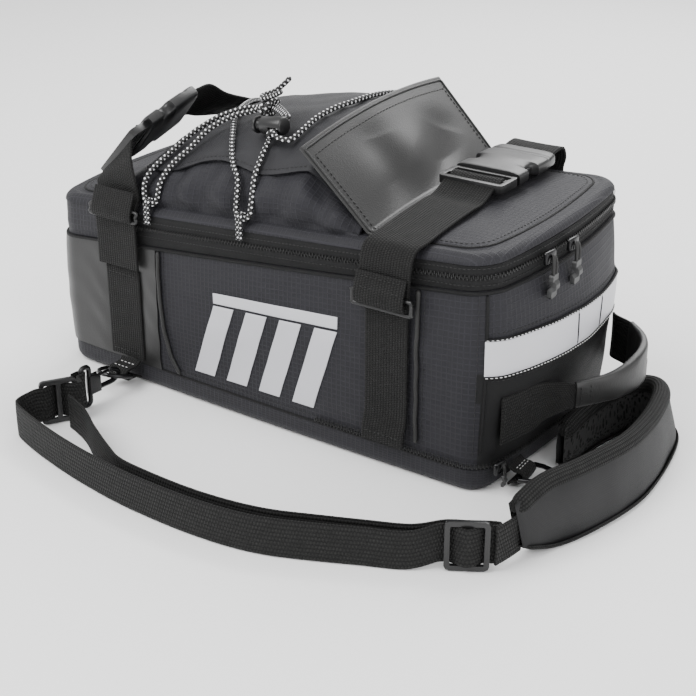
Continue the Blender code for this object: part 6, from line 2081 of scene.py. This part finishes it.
    def front_ends(self) -> tuple[Vector, Vector]:
        """Returns the front buckle's two ends.

        Returns:
            The near end and the far end.
        """
        near_y, far_y, near_rise, far_rise, _, shift = self.front_buckle
        x = self.form.front_strap_x + shift
        rim = self.form.rim_z(x, 0.0)
        near, far = Vector((x, near_y, rim + near_rise)), Vector((x, far_y, rim + far_rise))
        return near, near + (far - near).normalized() * self.buckle_length

    def front_top(self, name: str, side: int) -> None:
        """The loose webbing of the front strap on one side of its buckle.

        Args:
            name: The side's name.
            side: -1 for the near side, 1 for the far side.
        """
        form, x = self.form, self.form.front_strap_x
        half = form.side_half(x)
        foot = lerp(form.base_height, form.seam_z(x, side * half), self.front_join)
        rows = [(x, side * (half + self.off), foot + 0.002, 0.0)]
        rows += [(*point, 0.0) for point in self.corner(x, side, 0.0)]
        for y, rise, shift, roll in (self.front_near if side < 0 else self.front_far):
            rows.append((x + shift, y, form.rim_z(x, y) + rise, roll))
        ends = self.front_ends()
        along = (ends[1] - ends[0]).normalized()
        end = ends[0] + along * 0.003 if side < 0 else ends[1] - along * 0.001
        rows.append((*end, self.front_buckle[4]))
        route = Route(rows, 8)

        def across(share: float) -> Vector:
            """Returns the direction of the webbing's width, which rolls on the way to the buckle."""
            roll = math.radians(route.values(share)[3])
            return Vector((math.cos(roll), 0, math.sin(roll))) * -side

        web = Bench.strap(route, across, self.top_width, self.web)
        Bench.finish(web, f"front_strap_top_{name}_web", Finishes.WEBBING, [f"front_strap_top_{name}"])
        if side < 0:
            self.keeper(route, across)

    def keeper(self, route: Route, across: Callable[[float], Vector]) -> None:
        """The wire ring at the turn of the front strap, and the webbing folded over it.

        Args:
            route: The strap's middle line.
            across: The direction of its width at a share of its length.
        """
        share, half = self.keeper_share, self.top_width / 2
        middle, side = route.at(share), across(share).normalized()
        out = route.way(share).cross(side).normalized()
        way = route.way(share)
        if out.y > 0:
            out = -out
        corners = ((1, 0), (1, 1), (0, 1), (-1, 1), (-1, 0), (-1, -1), (0, -1), (1, -1))
        ring = Route([tuple(middle + out * 0.0022 + side * ((half + 0.0022) * u) + way * (0.0034 * v))
                      for u, v in corners], 6, closed=True)
        Bench.finish(Bench.tube(ring, 0.0013, 12, 0.0012, closed=True), "front_strap_ring", Finishes.PLASTIC)
        fold = Route([middle + out * lift + way * run for lift, run in self.keeper_fold], 6)
        web = Bench.strap(fold, lambda share, way=side: way, self.top_width - 0.0008, self.web)
        Bench.finish(web, "front_strap_fold", Finishes.WEBBING)

    def ring(self) -> None:
        """The flat wire ring between the rear strap's narrow and wide webbing."""
        low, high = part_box("strap_ring_rear")
        middle, wire = (low + high) / 2, self.ring_wire
        half_x, half_z = (high.x - low.x) / 2 - wire, (high.z - low.z) / 2 - wire
        corners = [(1, 0.8), (0.96, 1), (0, 1), (-0.96, 1), (-1, 0.8), (-1, -0.8), (-0.96, -1), (0, -1), (0.96, -1),
                   (1, -0.8)]
        points = [(middle.x + u * half_x, middle.y, middle.z + v * half_z) for u, v in corners]
        ring = Bench.tube(Route(points, 6, closed=True), wire, 14, 0.0012, closed=True)
        Bench.finish(ring, "strap_ring_wire", Finishes.PLASTIC, ["strap_ring_rear"])
        fold = Route([(middle.x - 0.0006, middle.y + out, middle.z + up) for out, up in self.ring_fold], 6)
        web = Bench.strap(fold, lambda share: REAR, self.top_width - 0.0012, self.web)
        Bench.finish(web, "strap_ring_fold", Finishes.WEBBING)
        for index, up in enumerate((0.0085, 0.0150)):
            y = middle.y - (0.0032 if index == 0 else 0.0016)
            row = Route([(middle.x + u, y, middle.z + up) for u in (-0.015, 0.0, 0.015)], 4)
            Bench.stitches(f"strap_ring_stitches_{index}", row, lambda share: Vector((0, -1, 0)))

    def ladder_web(self, name: str, origin: Vector, across: Vector, along: Vector) -> None:
        """The webbing that shows in a buckle's ladder frame.

        Args:
            name: Which buckle it is.
            origin: The middle of the buckle's near end.
            across: The way across the strap.
            along: The way from the frame to the socket.
        """
        up = across.cross(along).normalized()
        route = Route([origin + along * run + up * lift for run, lift in self.ladder], 8)
        web = Bench.strap(route, lambda share: across, self.top_width, self.web)
        Bench.finish(web, f"buckle_{name}_ladder_web", Finishes.WEBBING)


@dataclass
class Bungee:
    """The bungee over the dome, its sewn loops, its knot and its cord lock."""

    dome: DomeForm
    frame: dict
    radius: float = 0.00175
    anchor_radius: float = 0.00125
    gap: float = 0.0003
    hood_wall: float = 0.0014
    lock_length: float = 0.019
    lock_end_wall: float = 0.002
    lock_bore: float = 0.0041
    anchor_z: float = 0.0085
    leg_share: float = 1.05
    lock_depths: tuple[float, ...] = (-0.0095, -0.006, 0.0, 0.0085)
    anchors: tuple[tuple[str, float, int], ...] = (("near_front", -0.087, -1), ("near_middle", -0.003, -1),
                                                   ("far_front", -0.087, 1), ("far_rear", 0.030, 1))
    near_low: Rows = ((-0.0795, -73, 1.0), (-0.0745, -60, 1.0), (-0.066, -49, 1.1), (-0.057, -39, 1.9),
                      (-0.046, -30, 2.1), (-0.034, -25, 2.0))
    near_high: Rows = ((-0.0945, -73, 1.0), (-0.0925, -62, 1.0), (-0.085, -50, 1.0), (-0.072, -38, 1.6),
                       (-0.058, -28.5, 2.1), (-0.044, -22, 2.1), (-0.034, -20.5, 2.0))
    near_rear: Rows = ((-0.0005, -44, 1.3), (0.000, -52, 1.0), (0.001, -61, 1.0), (0.002, -69, 1.0))
    cross: Rows = ((-0.012, -68, 1.0), (-0.020, -60, 1.0), (-0.030, -48, 1.0), (-0.040, -36, 1.0),
                   (-0.050, -25, 1.0), (-0.062, -10, 1.0), (-0.073, 8, 1.0), (-0.084, 28, 1.0), (-0.092, 46, 1.0),
                   (-0.0955, 62, 1.0), (-0.0955, 72, 1.0))
    far: Rows = ((-0.0785, 72, 1.0), (-0.070, 62, 1.0), (-0.050, 55, 1.0), (-0.020, 52, 1.0), (0.002, 55, 1.0),
                 (0.014, 62, 1.0), (0.0225, 71, 1.0))
    far_rear: Rows = ((0.037, 71, 1.0), (0.036, 60, 1.2), (0.034, 46, 1.2), (0.032, 30, 1.1), (0.030, 12, 1.0),
                      (0.0275, -4, 1.0), (0.0235, -15, 1.0), (0.0205, -26, 1.0), (0.0195, -36, 1.1),
                      (0.0165, -44, 1.4))
    tails: Rows = ((0.018, 0.0060, 0.0100), (0.013, 0.0046, 0.0060), (0.007, 0.0036, 0.0022),
                   (0.001, 0.0030, 0.0004), (-0.0018, 0.0019, 0.0), (-0.0028, 0.0, 0.0), (-0.0018, -0.0019, 0.0),
                   (0.001, -0.0030, 0.0), (0.007, -0.0036, 0.0010), (0.014, -0.0050, 0.0034),
                   (0.020, -0.0066, 0.0060))

    @property
    def height(self) -> float:
        """How far the cord's middle lies off the dome's skin."""
        return 6 * self.gap + self.hood_wall + self.radius

    @property
    def loop_reach(self) -> float:
        """The distance from a sewn loop's middle line to the cord's, where the cord turns in it."""
        return self.radius + self.gap + self.anchor_radius

    def loop_y(self, x: float, side: int) -> float:
        """Returns where a sewn loop's outer leg stands at x on a side."""
        return side * (self.dome.form.side_half(x) + self.anchor_radius + 6 * self.gap)

    @property
    def crossing(self) -> float:
        """How much higher a cord lies where it crosses another."""
        return 2 * self.radius + 2 * self.gap

    def run(self, rows: Rows) -> list[Vector]:
        """Returns the points of a run over the dome."""
        return [self.dome.at(x, over, self.height + (height - 1) * self.crossing) for x, over, height in rows]

    def bend(self, name: str) -> list[Vector]:
        """Returns the cord's turn through a sewn loop.

        Args:
            name: Which loop it turns in.

        Returns:
            The turn's points, from its rear leg to its front one.
        """
        form = self.dome.form
        x, side = next((x, side) for key, x, side in self.anchors if key == name)
        y = self.loop_y(x, side) - side * self.loop_reach
        z = form.rim_z(x, side * form.half_width) + self.anchor_z
        rows = ((1.0, 0.0045, -0.0014), (0.62, 0.0014, -0.0004), (0.25, 0.0, 0.0), (-0.25, 0.0, 0.0),
                (-0.62, 0.0014, -0.0004), (-1.0, 0.0045, -0.0014))
        return [Vector((x + share * 0.006, y + side * inward, z + up)) for share, up, inward in rows]

    def lock_axes(self) -> tuple[Vector, Vector, Vector]:
        """Returns the lock's middle, its axis to the closed end, and the way its cords run.

        Returns:
            The middle, the axis and the direction.
        """
        dome = self.dome
        middle = self.exact(0.001, -38, self.height + self.crossing + 0.002)
        axis = (dome.skin(0.015, -38.5) - dome.skin(-0.013, -37.5)).normalized()
        up = (self.exact(0.001, -38, 0.01) - dome.skin(0.001, -38)).normalized()
        return middle, axis, axis.cross(up).normalized()

    def exact(self, x: float, over: float, off: float) -> Vector:
        """Returns a point off the skin by its narrow slope, as the solids are placed.

        Args:
            x: The place along the bag.
            over: The angle across the dome.
            off: The distance off the skin.

        Returns:
            The point.
        """
        dome = self.dome
        across = dome.skin(x, over + 0.5) - dome.skin(x, over - 0.5)
        along = dome.skin(x + 0.001, over) - dome.skin(x - 0.001, over)
        return dome.skin(x, over) + along.cross(across).normalized() * off

    def lock_cord(self, share: float, depth: float) -> Vector:
        """Returns a point of one of the two cords in the lock's bore.

        Args:
            share: -1 for one cord, 1 for the other.
            depth: How far along the bore.

        Returns:
            The point.
        """
        middle, axis, through = self.lock_axes()
        centre = middle + axis * (self.lock_length / 2 - self.lock_end_wall - self.lock_bore)
        return centre + axis * share * (self.radius + self.gap / 2) + through * depth

    def knot_axes(self) -> tuple[Vector, Vector, Vector]:
        """Returns the knot's middle, the way its cords run and the way beside them.

        Returns:
            The middle and the two directions.
        """
        dome = self.dome
        middle = self.exact(-0.020, -22.5, self.height + self.crossing + 0.001)
        along = (dome.skin(-0.034, -22.5) - dome.skin(-0.006, -23.5)).normalized()
        up = (self.exact(-0.020, -22.5, 0.01) - dome.skin(-0.020, -22.5)).normalized()
        return middle, along, along.cross(up).normalized()

    def knot_cord(self, share: float, along_share: float) -> Vector:
        """Returns a point of one of the two cords in the knot."""
        middle, along, beside = self.knot_axes()
        return middle + along * along_share * 0.006 + beside * share * (self.radius + self.gap / 2)

    def routes(self) -> tuple[list[Vector], list[Vector]]:
        """Returns the points of the front and the rear run.

        Returns:
            The front run's points and the rear run's.
        """
        low, high = (-1, 1) if self.knot_cord(-1, 0).y < self.knot_cord(1, 0).y else (1, -1)
        front = [self.knot_cord(low, 0.05), self.knot_cord(low, 1), *self.run(self.near_low[::-1]),
                 *self.bend("near_front"), *self.run(self.near_high), self.knot_cord(high, 1),
                 self.knot_cord(high, 0.05)]
        rear = [self.knot_cord(low, -0.05), self.knot_cord(low, -1)]
        rear += [self.lock_cord(-1, depth) for depth in self.lock_depths]
        rear += [*self.run(self.near_rear), *self.bend("near_middle"), *self.run(self.cross),
                 *self.bend("far_front")[::-1], *self.run(self.far), *self.bend("far_rear")[::-1],
                 *self.run(self.far_rear)]
        rear += [self.lock_cord(1, depth) for depth in self.lock_depths[::-1]]
        rear += [self.knot_cord(high, -1), self.knot_cord(high, -0.05)]
        return front, rear

    def build(self) -> None:
        """Builds the cords, the loops, the knot and the lock."""
        for name, points in zip(("front", "rear"), self.routes()):
            cord = Bench.tube(Route(points, 5), self.radius, 12, 0.0011)
            Bench.finish(cord, f"bungee_{name}_cord", Finishes.CORD, [f"bungee_{name}"])
        for name, x, side in self.anchors:
            self.loop(name, x, side)
        self.knot()
        Bench.moulded(self.frame, "lock_barrel", Finishes.PLASTIC, 0.0007)
        Bench.moulded(self.frame, "lock_button", Finishes.PLASTIC, 0.0004, "button")

    def loop(self, name: str, x: float, side: int) -> None:
        """A loop of thin cord that is sewn to the lid's edge.

        Args:
            name: Which loop it is.
            x: Where it stands.
            side: -1 for the near side, 1 for the far side.
        """
        form = self.dome.form
        rim = form.rim_z(x, side * form.half_width)
        reach, outer = self.loop_reach, self.loop_y(x, side)
        inner = outer - side * 2 * reach
        middle = (outer + inner) / 2
        rows = [(x, outer, rim - 0.006), (x, outer, rim), (x, outer, rim + self.anchor_z - 0.001)]
        for step in range(1, 8):
            angle = math.pi * step / 8
            rows.append((x, middle + (outer - middle) * math.cos(angle), rim + self.anchor_z + reach * math.sin(angle)))
        rows += [(x, inner, rim + self.anchor_z - 0.001), (x, inner, form.lid_z(x, inner) + 0.0006)]
        for index, shift in enumerate((-self.leg_share, self.leg_share)):
            leg = [(here + shift * self.anchor_radius, y, z) for here, y, z in rows]
            cord = Bench.tube(Route(leg, 4), self.anchor_radius, 12, 0.0009)
            nodes = [f"anchor_loop_{name}"] if index == 0 else []
            Bench.finish(cord, f"sewn_loop_{name}_{index}", Finishes.CORD, nodes)

    def knot(self) -> None:
        """The wrapped knot and the two loose ends beyond it."""
        middle, along, beside = self.knot_axes()
        up = beside.cross(along).normalized()
        wide, deep = 3 * self.radius + 3 * self.gap, 2 * self.radius + 3 * self.gap
        rows = []
        for step in range(33):
            turn, shift = 4 * math.pi * step / 32, (step / 32 - 0.5) * 2 * (2 * self.radius + self.gap)
            rows.append(tuple(middle + along * shift + beside * wide * math.cos(turn) + up * deep * math.sin(turn)))
        Bench.finish(Bench.tube(Route(rows, 4), self.radius, 12, 0.001), "knot_wrap", Finishes.CORD, ["bungee_knot"])
        start = middle + up * (deep + 2 * self.radius + 2 * self.gap)
        tails = [tuple(start - along * out + beside * over + UP * rise) for out, over, rise in self.tails]
        Bench.finish(Bench.tube(Route(tails, 6), self.radius, 12, 0.001), "knot_tails", Finishes.CORD,
                     ["bungee_tails"])


@dataclass
class ShoulderStrap:
    """The shoulder strap on the floor: webbing, sliders, snap hook, rings and curved pad."""

    form: BagForm
    frame: dict
    tabs: dict[str, tuple[float, ...]] = field(default_factory=lambda: {"front": (-0.112, 0.0013, 0.0118, 0.0118),
                                                                        "rear": (-0.053, 0.0029, 0.0088, 0.0075)})
    width: float = 0.025
    web: float = 0.0016
    floor_gap: float = 0.0006
    margin: float = 0.0035
    slider_length: float = 0.026
    slider_thickness: float = 0.0028
    front_slider: tuple[float, ...] = (-0.1050, -0.1665, -0.50, -0.86)
    rear_slider: tuple[float, ...] = (0.2200, -0.1590, 0.84, 0.54)
    hook_end: tuple[float, float] = (-0.1045, -0.1490)
    hook_fold: Rows = ((-0.1094, -0.1500), (-0.1094, -0.1440), (-0.1065, -0.1411), (-0.1036, -0.1440),
                       (-0.1038, -0.1500))
    layer: float = 0.0068
    outer: Rows = ((-0.1160, -0.1895), (-0.1125, -0.1970), (-0.101, -0.2020), (-0.076, -0.2090), (-0.040, -0.2165),
                   (0.001, -0.2220), (0.034, -0.2235), (0.065, -0.2230), (0.094, -0.2200), (0.118, -0.2140),
                   (0.142, -0.2035), (0.168, -0.1905), (0.192, -0.1785))
    inner: Rows = ((0.190, -0.1705), (0.166, -0.1825), (0.140, -0.1945), (0.116, -0.2050), (0.093, -0.2110),
                   (0.065, -0.2145), (0.034, -0.2150), (0.002, -0.2130), (-0.016, -0.2060), (-0.044, -0.1915),
                   (-0.066, -0.1785), (-0.083, -0.1715), (-0.0930, -0.1685))
    pad_route: Rows = (
        (0.2385, -0.1290, 0.2320, -0.1350, 0.0435, 0.66), (0.2455, -0.1050, 0.2375, -0.1080, 0.0435, 1.0),
        (0.2555, -0.0750, 0.2455, -0.0770, 0.0435, 1.0), (0.2615, -0.0330, 0.2530, -0.0350, 0.0435, 1.0),
        (0.2585, 0.0040, 0.2510, 0.0020, 0.0430, 1.0), (0.2510, 0.0420, 0.2440, 0.0340, 0.0420, 1.0),
        (0.2430, 0.0630, 0.2370, 0.0520, 0.0410, 1.0), (0.2320, 0.0720, 0.2280, 0.0600, 0.0400, 1.0),
        (0.2200, 0.0670, 0.2180, 0.0560, 0.0390, 1.0), (0.2110, 0.0500, 0.2105, 0.0420, 0.0375, 1.0),
        (0.2060, 0.0240, 0.2060, 0.0210, 0.0355, 1.0), (0.2050, -0.0040, 0.2050, -0.0050, 0.0330, 1.0),
        (0.2045, -0.0210, 0.2045, -0.0215, 0.0315, 0.85))
    pad_thickness: float = 0.009
    split: float = 0.45
    binding_fold: float = 0.0060
    tab_gap: float = 0.0014
    tab_loop: float = 0.0034
    tab_width: float = 0.0181
    tab_turn: tuple[float, ...] = (math.radians(-50), 0.0, math.radians(50))
    wire_edge: float = 0.0004
    pressure: float = 3.0
    last_frame: int = 12
    swell_cap: float = 0.0022

    @property
    def high_z(self) -> float:
        """The height of the webbing's middle where a slider or the hook carries it."""
        return self.floor_gap + self.margin + self.width / 2

    def build(self) -> None:
        """Builds the strap with its hardware and its pad."""
        self.webbing()
        for node in ("slider_front", "slider_rear"):
            Bench.moulded(self.frame, node, Finishes.PLASTIC, 0.0008)
        Bench.moulded(self.frame, "hook_front", Finishes.METAL, self.wire_edge)
        Bench.moulded(self.frame, "hook_gate", Finishes.METAL, 0.0003, "gate")
        for name in ("front", "rear"):
            self.ring(name)
        self.pad()

    def weave(self, slider: tuple[float, ...]) -> list[tuple[float, float]]:
        """Returns the webbing's way through a slider: behind the end bars and over the middle one.

        Args:
            slider: The slider's middle and its direction, in plan.

        Returns:
            The webbing's points in plan.
        """
        centre, along = Vector(slider[:2]), Vector(slider[2:]).normalized()
        front = Vector((along.y, -along.x))
        reach, swing = self.slider_length / 2, self.slider_thickness / 2 + self.web / 2 + 0.0006
        rows = [(-reach - 0.003, -0.9), (-reach + 0.0005, -1.0), (-reach + 0.0036, -1.0), (-0.0018, 1.0),
                (0.0018, 1.0), (reach - 0.0036, -1.0), (reach - 0.0005, -1.0), (reach + 0.003, -0.9)]
        return [tuple(centre + along * run + front * swing * side) for run, side in rows]

    def webbing(self) -> None:
        """The long webbing on its edge and the short piece to the pad."""
        low = self.high_z - self.margin
        centre, along = Vector(self.rear_slider[:2]), Vector(self.rear_slider[2:]).normalized()
        front, reach = Vector((along.y, -along.x)), self.slider_length / 2
        back = centre - front * self.layer
        turn = [centre + along * (reach + 0.0065) - front * 0.0045, back + along * (reach + 0.003), back,
                back - along * reach]
        rows = [(*p, self.high_z) for p in [self.hook_end, *self.weave(self.front_slider)]]
        rows += [(*p, low) for p in self.outer]
        rows += [(*p, self.high_z) for p in [*self.weave(self.rear_slider), *map(tuple, turn)]]
        rows += [(*p, low) for p in self.inner]
        web = Bench.strap(Route(rows, 6), lambda share: UP, self.width, self.web, bow=0.0002)
        Bench.finish(web, "shoulder_web", Finishes.SHOULDER_WEB, ["shoulder_strap"])
        rows = [(*p, self.high_z) for p in self.hook_fold]
        fold = Bench.strap(Route(rows, 6), lambda share: UP, self.width, self.web)
        Bench.finish(fold, "hook_fold_web", Finishes.SHOULDER_WEB)
        first, second = self.pad_route[0], self.pad_route[1]
        end = Vector(((first[0] + first[2]) / 2, (first[1] + first[3]) / 2))
        after = Vector(((second[0] + second[2]) / 2, (second[1] + second[3]) / 2))
        start, stop = centre + along * (reach + 0.0030), end + (after - end).normalized() * 0.0050
        rows = [(*p, self.high_z) for p in (start, start.lerp(stop, 0.5) + along * 0.0005, stop)]
        link = Bench.strap(Route(rows, 6), lambda share: UP, self.width, self.web)
        Bench.finish(link, "pad_link_web", Finishes.SHOULDER_WEB, ["pad_webbing"])

    def ring(self, name: str) -> None:
        """A wire ring and its folded webbing tab, with two rows of pale stitches.

        Args:
            name: Which ring it is.
        """
        Bench.moulded(self.frame, f"ring_{name}", Finishes.METAL, self.wire_edge)
        self.tab(name)

    def tab(self, name: str) -> None:
        """The webbing that is folded round a ring's bar and sewn to the wall at its two ends.

        Args:
            name: Which ring it holds.
        """
        across, clear, z, off = self.tabs[name]
        if name == "front":
            out, seat = Vector((0.0, -1.0, 0.0)), Vector((across, -self.form.side_half(across) - clear, z))
        else:
            out = Vector((1.0, 0.10, 0.0)).normalized()
            seat = Vector((self.form.end_half(across, z) + clear, across, z))
        start = seat + out * self.tab_gap
        loop = self.tab_loop
        legs = ((0.0, 1.9), (0.0035, 1.12), (off - 0.8 * loop, 1.0), (off, 1.04))
        low = [start + out * along - UP * (loop * rise) for along, rise in legs]
        high = [start + out * along + UP * (loop * rise) for along, rise in reversed(legs)]
        turn = [start + out * (off + 1.06 * loop * math.cos(angle)) + UP * (1.06 * loop * math.sin(angle))
                for angle in self.tab_turn]
        bar = out.cross(UP)
        web = Bench.strap(Route([*low, *turn, *high], 6), lambda share: bar, self.tab_width, self.web)
        Bench.finish(web, f"ring_tab_web_{name}", Finishes.WEBBING, [f"ring_tab_{name}"])
        lift = UP * (1.04 * loop + self.web / 2 + 0.0006)
        for index, along in enumerate((0.0048, off - 0.0005)):
            row = Route([start + out * along + bar * (self.tab_width * over) + lift for over in (-0.4, 0.0, 0.4)], 4)
            Bench.stitches(f"ring_tab_stitches_{name}_{index}", row, lambda share: UP, Finishes.PALE_THREAD)

    def pad_frame(self, route: Route, share: float) -> tuple[Vector, Vector, Vector, float]:
        """Returns the pad's middle, its way out, its way up and its height at a share of its length.

        Args:
            route: The pad's route.
            share: The share of the way, from 0 to 1.

        Returns:
            The middle, the two directions and the height.
        """
        low_x, low_y, high_x, high_y, top, part = self.pad_numbers(route, share)
        low, high = Vector((low_x, low_y, self.floor_gap)), Vector((high_x, high_y, top))
        ahead = self.pad_numbers(route, min(1.0, share + 0.01))
        behind = self.pad_numbers(route, max(0.0, share - 0.01))
        along = Vector((ahead[0] - behind[0], ahead[1] - behind[1], 0.0)).normalized()
        up = (high - low).normalized()
        return (low + high) / 2, along.cross(up).normalized(), up, (high - low).length * part

    def pad_numbers(self, route: Route, share: float) -> tuple[float, ...]:
        """Returns the numbers of the pad's route: lower edge, upper edge, top and height share."""
        x, y, _, high_x, high_y, top, part = route.values(share)
        return x, y, high_x, high_y, top, part

    def pad(self) -> None:
        """The padded part: smooth outer skin, spacer mesh lining and a mesh binding round its edge."""
        route = Route([(a, b, 0.0, c, d, top, part) for a, b, c, d, top, part in self.pad_route], 8)

        def pillow(inner: float, outer: float, quilt: float) -> Place:
            """Returns the skin of a run of padding between two shares of the pad's thickness.

            Args:
                inner: The share where it starts, from the inside.
                outer: The share where it ends.
                quilt: How deep its creases are.

            Returns:
                The surface.
            """
            def place(along: float, around: float) -> Vector:
                """Returns a point of the padding's skin.

                Args:
                    along: The share along it, from 0 to 1.
                    around: The share of a turn round it.

                Returns:
                    The point.
                """
                middle, out, up, height = self.pad_frame(route, along)
                angle = 2 * math.pi * around
                depth = self.pad_thickness * (outer - inner) / 2
                shift = self.pad_thickness * ((outer + inner) / 2 - 0.5)
                end = clamp(min(along, 1 - along) / 0.03) ** 0.5
                flat = math.copysign(abs(math.sin(angle)) ** 0.55, math.sin(angle))
                bow = math.copysign(abs(math.cos(angle)) ** 0.75, math.cos(angle))
                crease = 1 + quilt * ripple(Vector((along * 1.6, 0.06 * bow, 0.10 * flat)), 9.0, 21.0)
                swell = 1.0 + 0.22 * math.cos(math.pi * flat / 2)
                spot = middle + out * (shift + depth * bow * crease * swell * end) + up * (height / 2 * flat)
                return Vector((spot.x, spot.y, max(spot.z, FLOOR_CLEAR)))
            return place

        skin = Bench.grid(150, 40, pillow(self.split, 1.0, 0.30), (route.length, 0.11), weld=True)
        self.swell(skin)
        Bench.finish(skin, "pad_skin", Finishes.PAD, ["shoulder_pad"])
        mesh = Bench.grid(150, 40, pillow(0.0, self.split, 0.15), (route.length, 0.11), weld=True)
        Bench.face_out(mesh)
        Bench.finish(mesh, "pad_lining", Finishes.MESH, ["shoulder_pad_mesh"])
        for name, edge in (("upper", 1.0), ("lower", -1.0)):
            self.binding(name, route, edge)

    def binding(self, name: str, route: Route, edge: float) -> None:
        """The rolled binding along an edge of the pad.

        Args:
            name: Which edge it is on.
            route: The pad's route.
            edge: 1 for the upper edge and -1 for the lower one.
        """
        def place(along: float, around: float) -> Vector:
            """Returns a point of the binding, a half round that hugs the pad's edge.

            Args:
                along: The share along it, from 0 to 1.
                around: The share of a turn round it.

            Returns:
                The point.
            """
            middle, out, up, height = self.pad_frame(route, along)
            angle = lerp(-1.2, 1.2, around) * math.pi / 2
            end = math.sqrt(clamp(min(along, 1 - along) / 0.02))
            deep = self.pad_thickness * 0.62 * math.sin(angle) * end
            fold = self.binding_fold * (1.0 if edge > 0 else 0.45)
            spot = middle + up * edge * (height / 2 + 0.0012 - fold * (1 - math.cos(angle) * end)) + out * deep
            return Vector((spot.x, spot.y, max(spot.z, 0.0003)))

        strip = Bench.grid(170, 18, place, (route.length, 0.024), 0.0010, inward=False)
        Bench.finish(strip, f"pad_binding_{name}", Finishes.BINDING)

    def swell(self, pad: bpy.types.Object) -> None:
        """Fills a pad with a short cloth simulation, and keeps each point near its start.

        Args:
            pad: The pad. Its simulation is applied.
        """
        Bench.face_out(pad)
        before = [v.co.copy() for v in pad.data.vertices]
        Bench.choose(pad)
        cloth = pad.modifiers.new("fill", "CLOTH")
        cloth.settings.use_pressure = True
        cloth.settings.uniform_pressure_force = self.pressure
        cloth.settings.effector_weights.gravity = 0.0
        for number in range(1, self.last_frame + 1):
            bpy.context.scene.frame_set(number)
        bpy.ops.object.modifier_apply(modifier=cloth.name)
        bpy.context.scene.frame_set(1)
        for vertex, start in zip(pad.data.vertices, before):
            move = vertex.co - start
            vertex.co = start + move * min(1.0, self.swell_cap / max(move.length, 1e-9))
            vertex.co.z = max(vertex.co.z, FLOOR_CLEAR)


@dataclass
class Studio:
    """The pale floor, the soft lights and the camera."""

    azimuth: float = 36.5
    pitch: float = 23.8
    focal_pixels: float = 1390.0
    image_pixels: float = 696.0
    camera_at: tuple[float, float, float] = (0.5659, -0.7393, 0.4350)
    look_at: tuple[float, float, float] = (0.0, 0.0, 0.08)
    floor_size: float = 12.0
    floor_z: float = -0.0002
    floor_colour: Colour = (0.94, 0.94, 0.94)
    lamps: tuple[tuple[str, float, float, tuple[float, float, float]], ...] = (
        ("key", 34.0, 1.2, (-0.5, -1.1, 1.5)), ("fill", 16.0, 1.4, (1.5, -0.5, 0.9)),
        ("back", 30.0, 1.2, (-0.2, 1.3, 1.4)))

    def build(self) -> None:
        """Builds the stage."""
        self.floor()
        self.lights()
        self.camera()

    def floor(self) -> None:
        """A plain pale floor and a pale surround."""
        Bench.clear_choice()
        bpy.ops.mesh.primitive_plane_add(size=self.floor_size, location=(0, 0, self.floor_z))
        floor = bpy.context.object
        floor.name = "studio_floor"
        material = bpy.data.materials.new("studio_pale")
        material.use_nodes = True
        shader = material.node_tree.nodes["Principled BSDF"]
        shader.inputs["Base Color"].default_value = (*self.floor_colour, 1)
        shader.inputs["Roughness"].default_value = 0.9
        floor.data.materials.append(material)
        world = bpy.data.worlds.new("studio")
        world.use_nodes = True
        world.node_tree.nodes["Background"].inputs[0].default_value = (1, 1, 1, 1)
        world.node_tree.nodes["Background"].inputs[1].default_value = 1.0
        bpy.context.scene.world = world

    def lights(self) -> None:
        """Three large soft lights: over the near side, from the rear end and from behind."""
        for name, power, size, spot in self.lamps:
            data = bpy.data.lights.new(name, "AREA")
            data.energy, data.size = power, size
            light = bpy.data.objects.new(name, data)
            light.location = spot
            light.rotation_euler = (Vector(self.look_at) - Vector(spot)).to_track_quat("-Z", "Y").to_euler()
            bpy.context.scene.collection.objects.link(light)

    def camera(self) -> None:
        """The camera at the photograph's place and lens."""
        data = bpy.data.cameras.new("view")
        data.sensor_width = 36.0
        data.lens = self.focal_pixels / self.image_pixels * data.sensor_width
        data.clip_start, data.clip_end = 0.05, 30.0
        camera = bpy.data.objects.new("view", data)
        turn, tilt = math.radians(self.azimuth), math.radians(self.pitch)
        ahead = Vector((-math.sin(turn) * math.cos(tilt), math.cos(turn) * math.cos(tilt), -math.sin(tilt)))
        camera.location = self.camera_at
        camera.rotation_euler = ahead.to_track_quat("-Z", "Y").to_euler()
        bpy.context.scene.collection.objects.link(camera)
        bpy.context.scene.camera = camera


def main() -> None:
    """Builds the bag round its solids, then the stage."""
    logging.basicConfig(level=logging.INFO, format="%(name)s %(message)s")
    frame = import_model()
    form = BagForm()
    dome = DomeForm(form)
    bungee = Bungee(dome, frame)
    cords = [point for route in bungee.routes() for point in route]
    for part in (BoxWalls(form), ZipRun(form, frame), TopPocket(dome, cords), RearEnd(form), NearWall(form),
                 Compression(form, frame), bungee, ShoulderStrap(form, frame), Studio()):
        LOG.info("building %s", type(part).__name__)
        part.build()


if __name__ == "__main__":
    main()
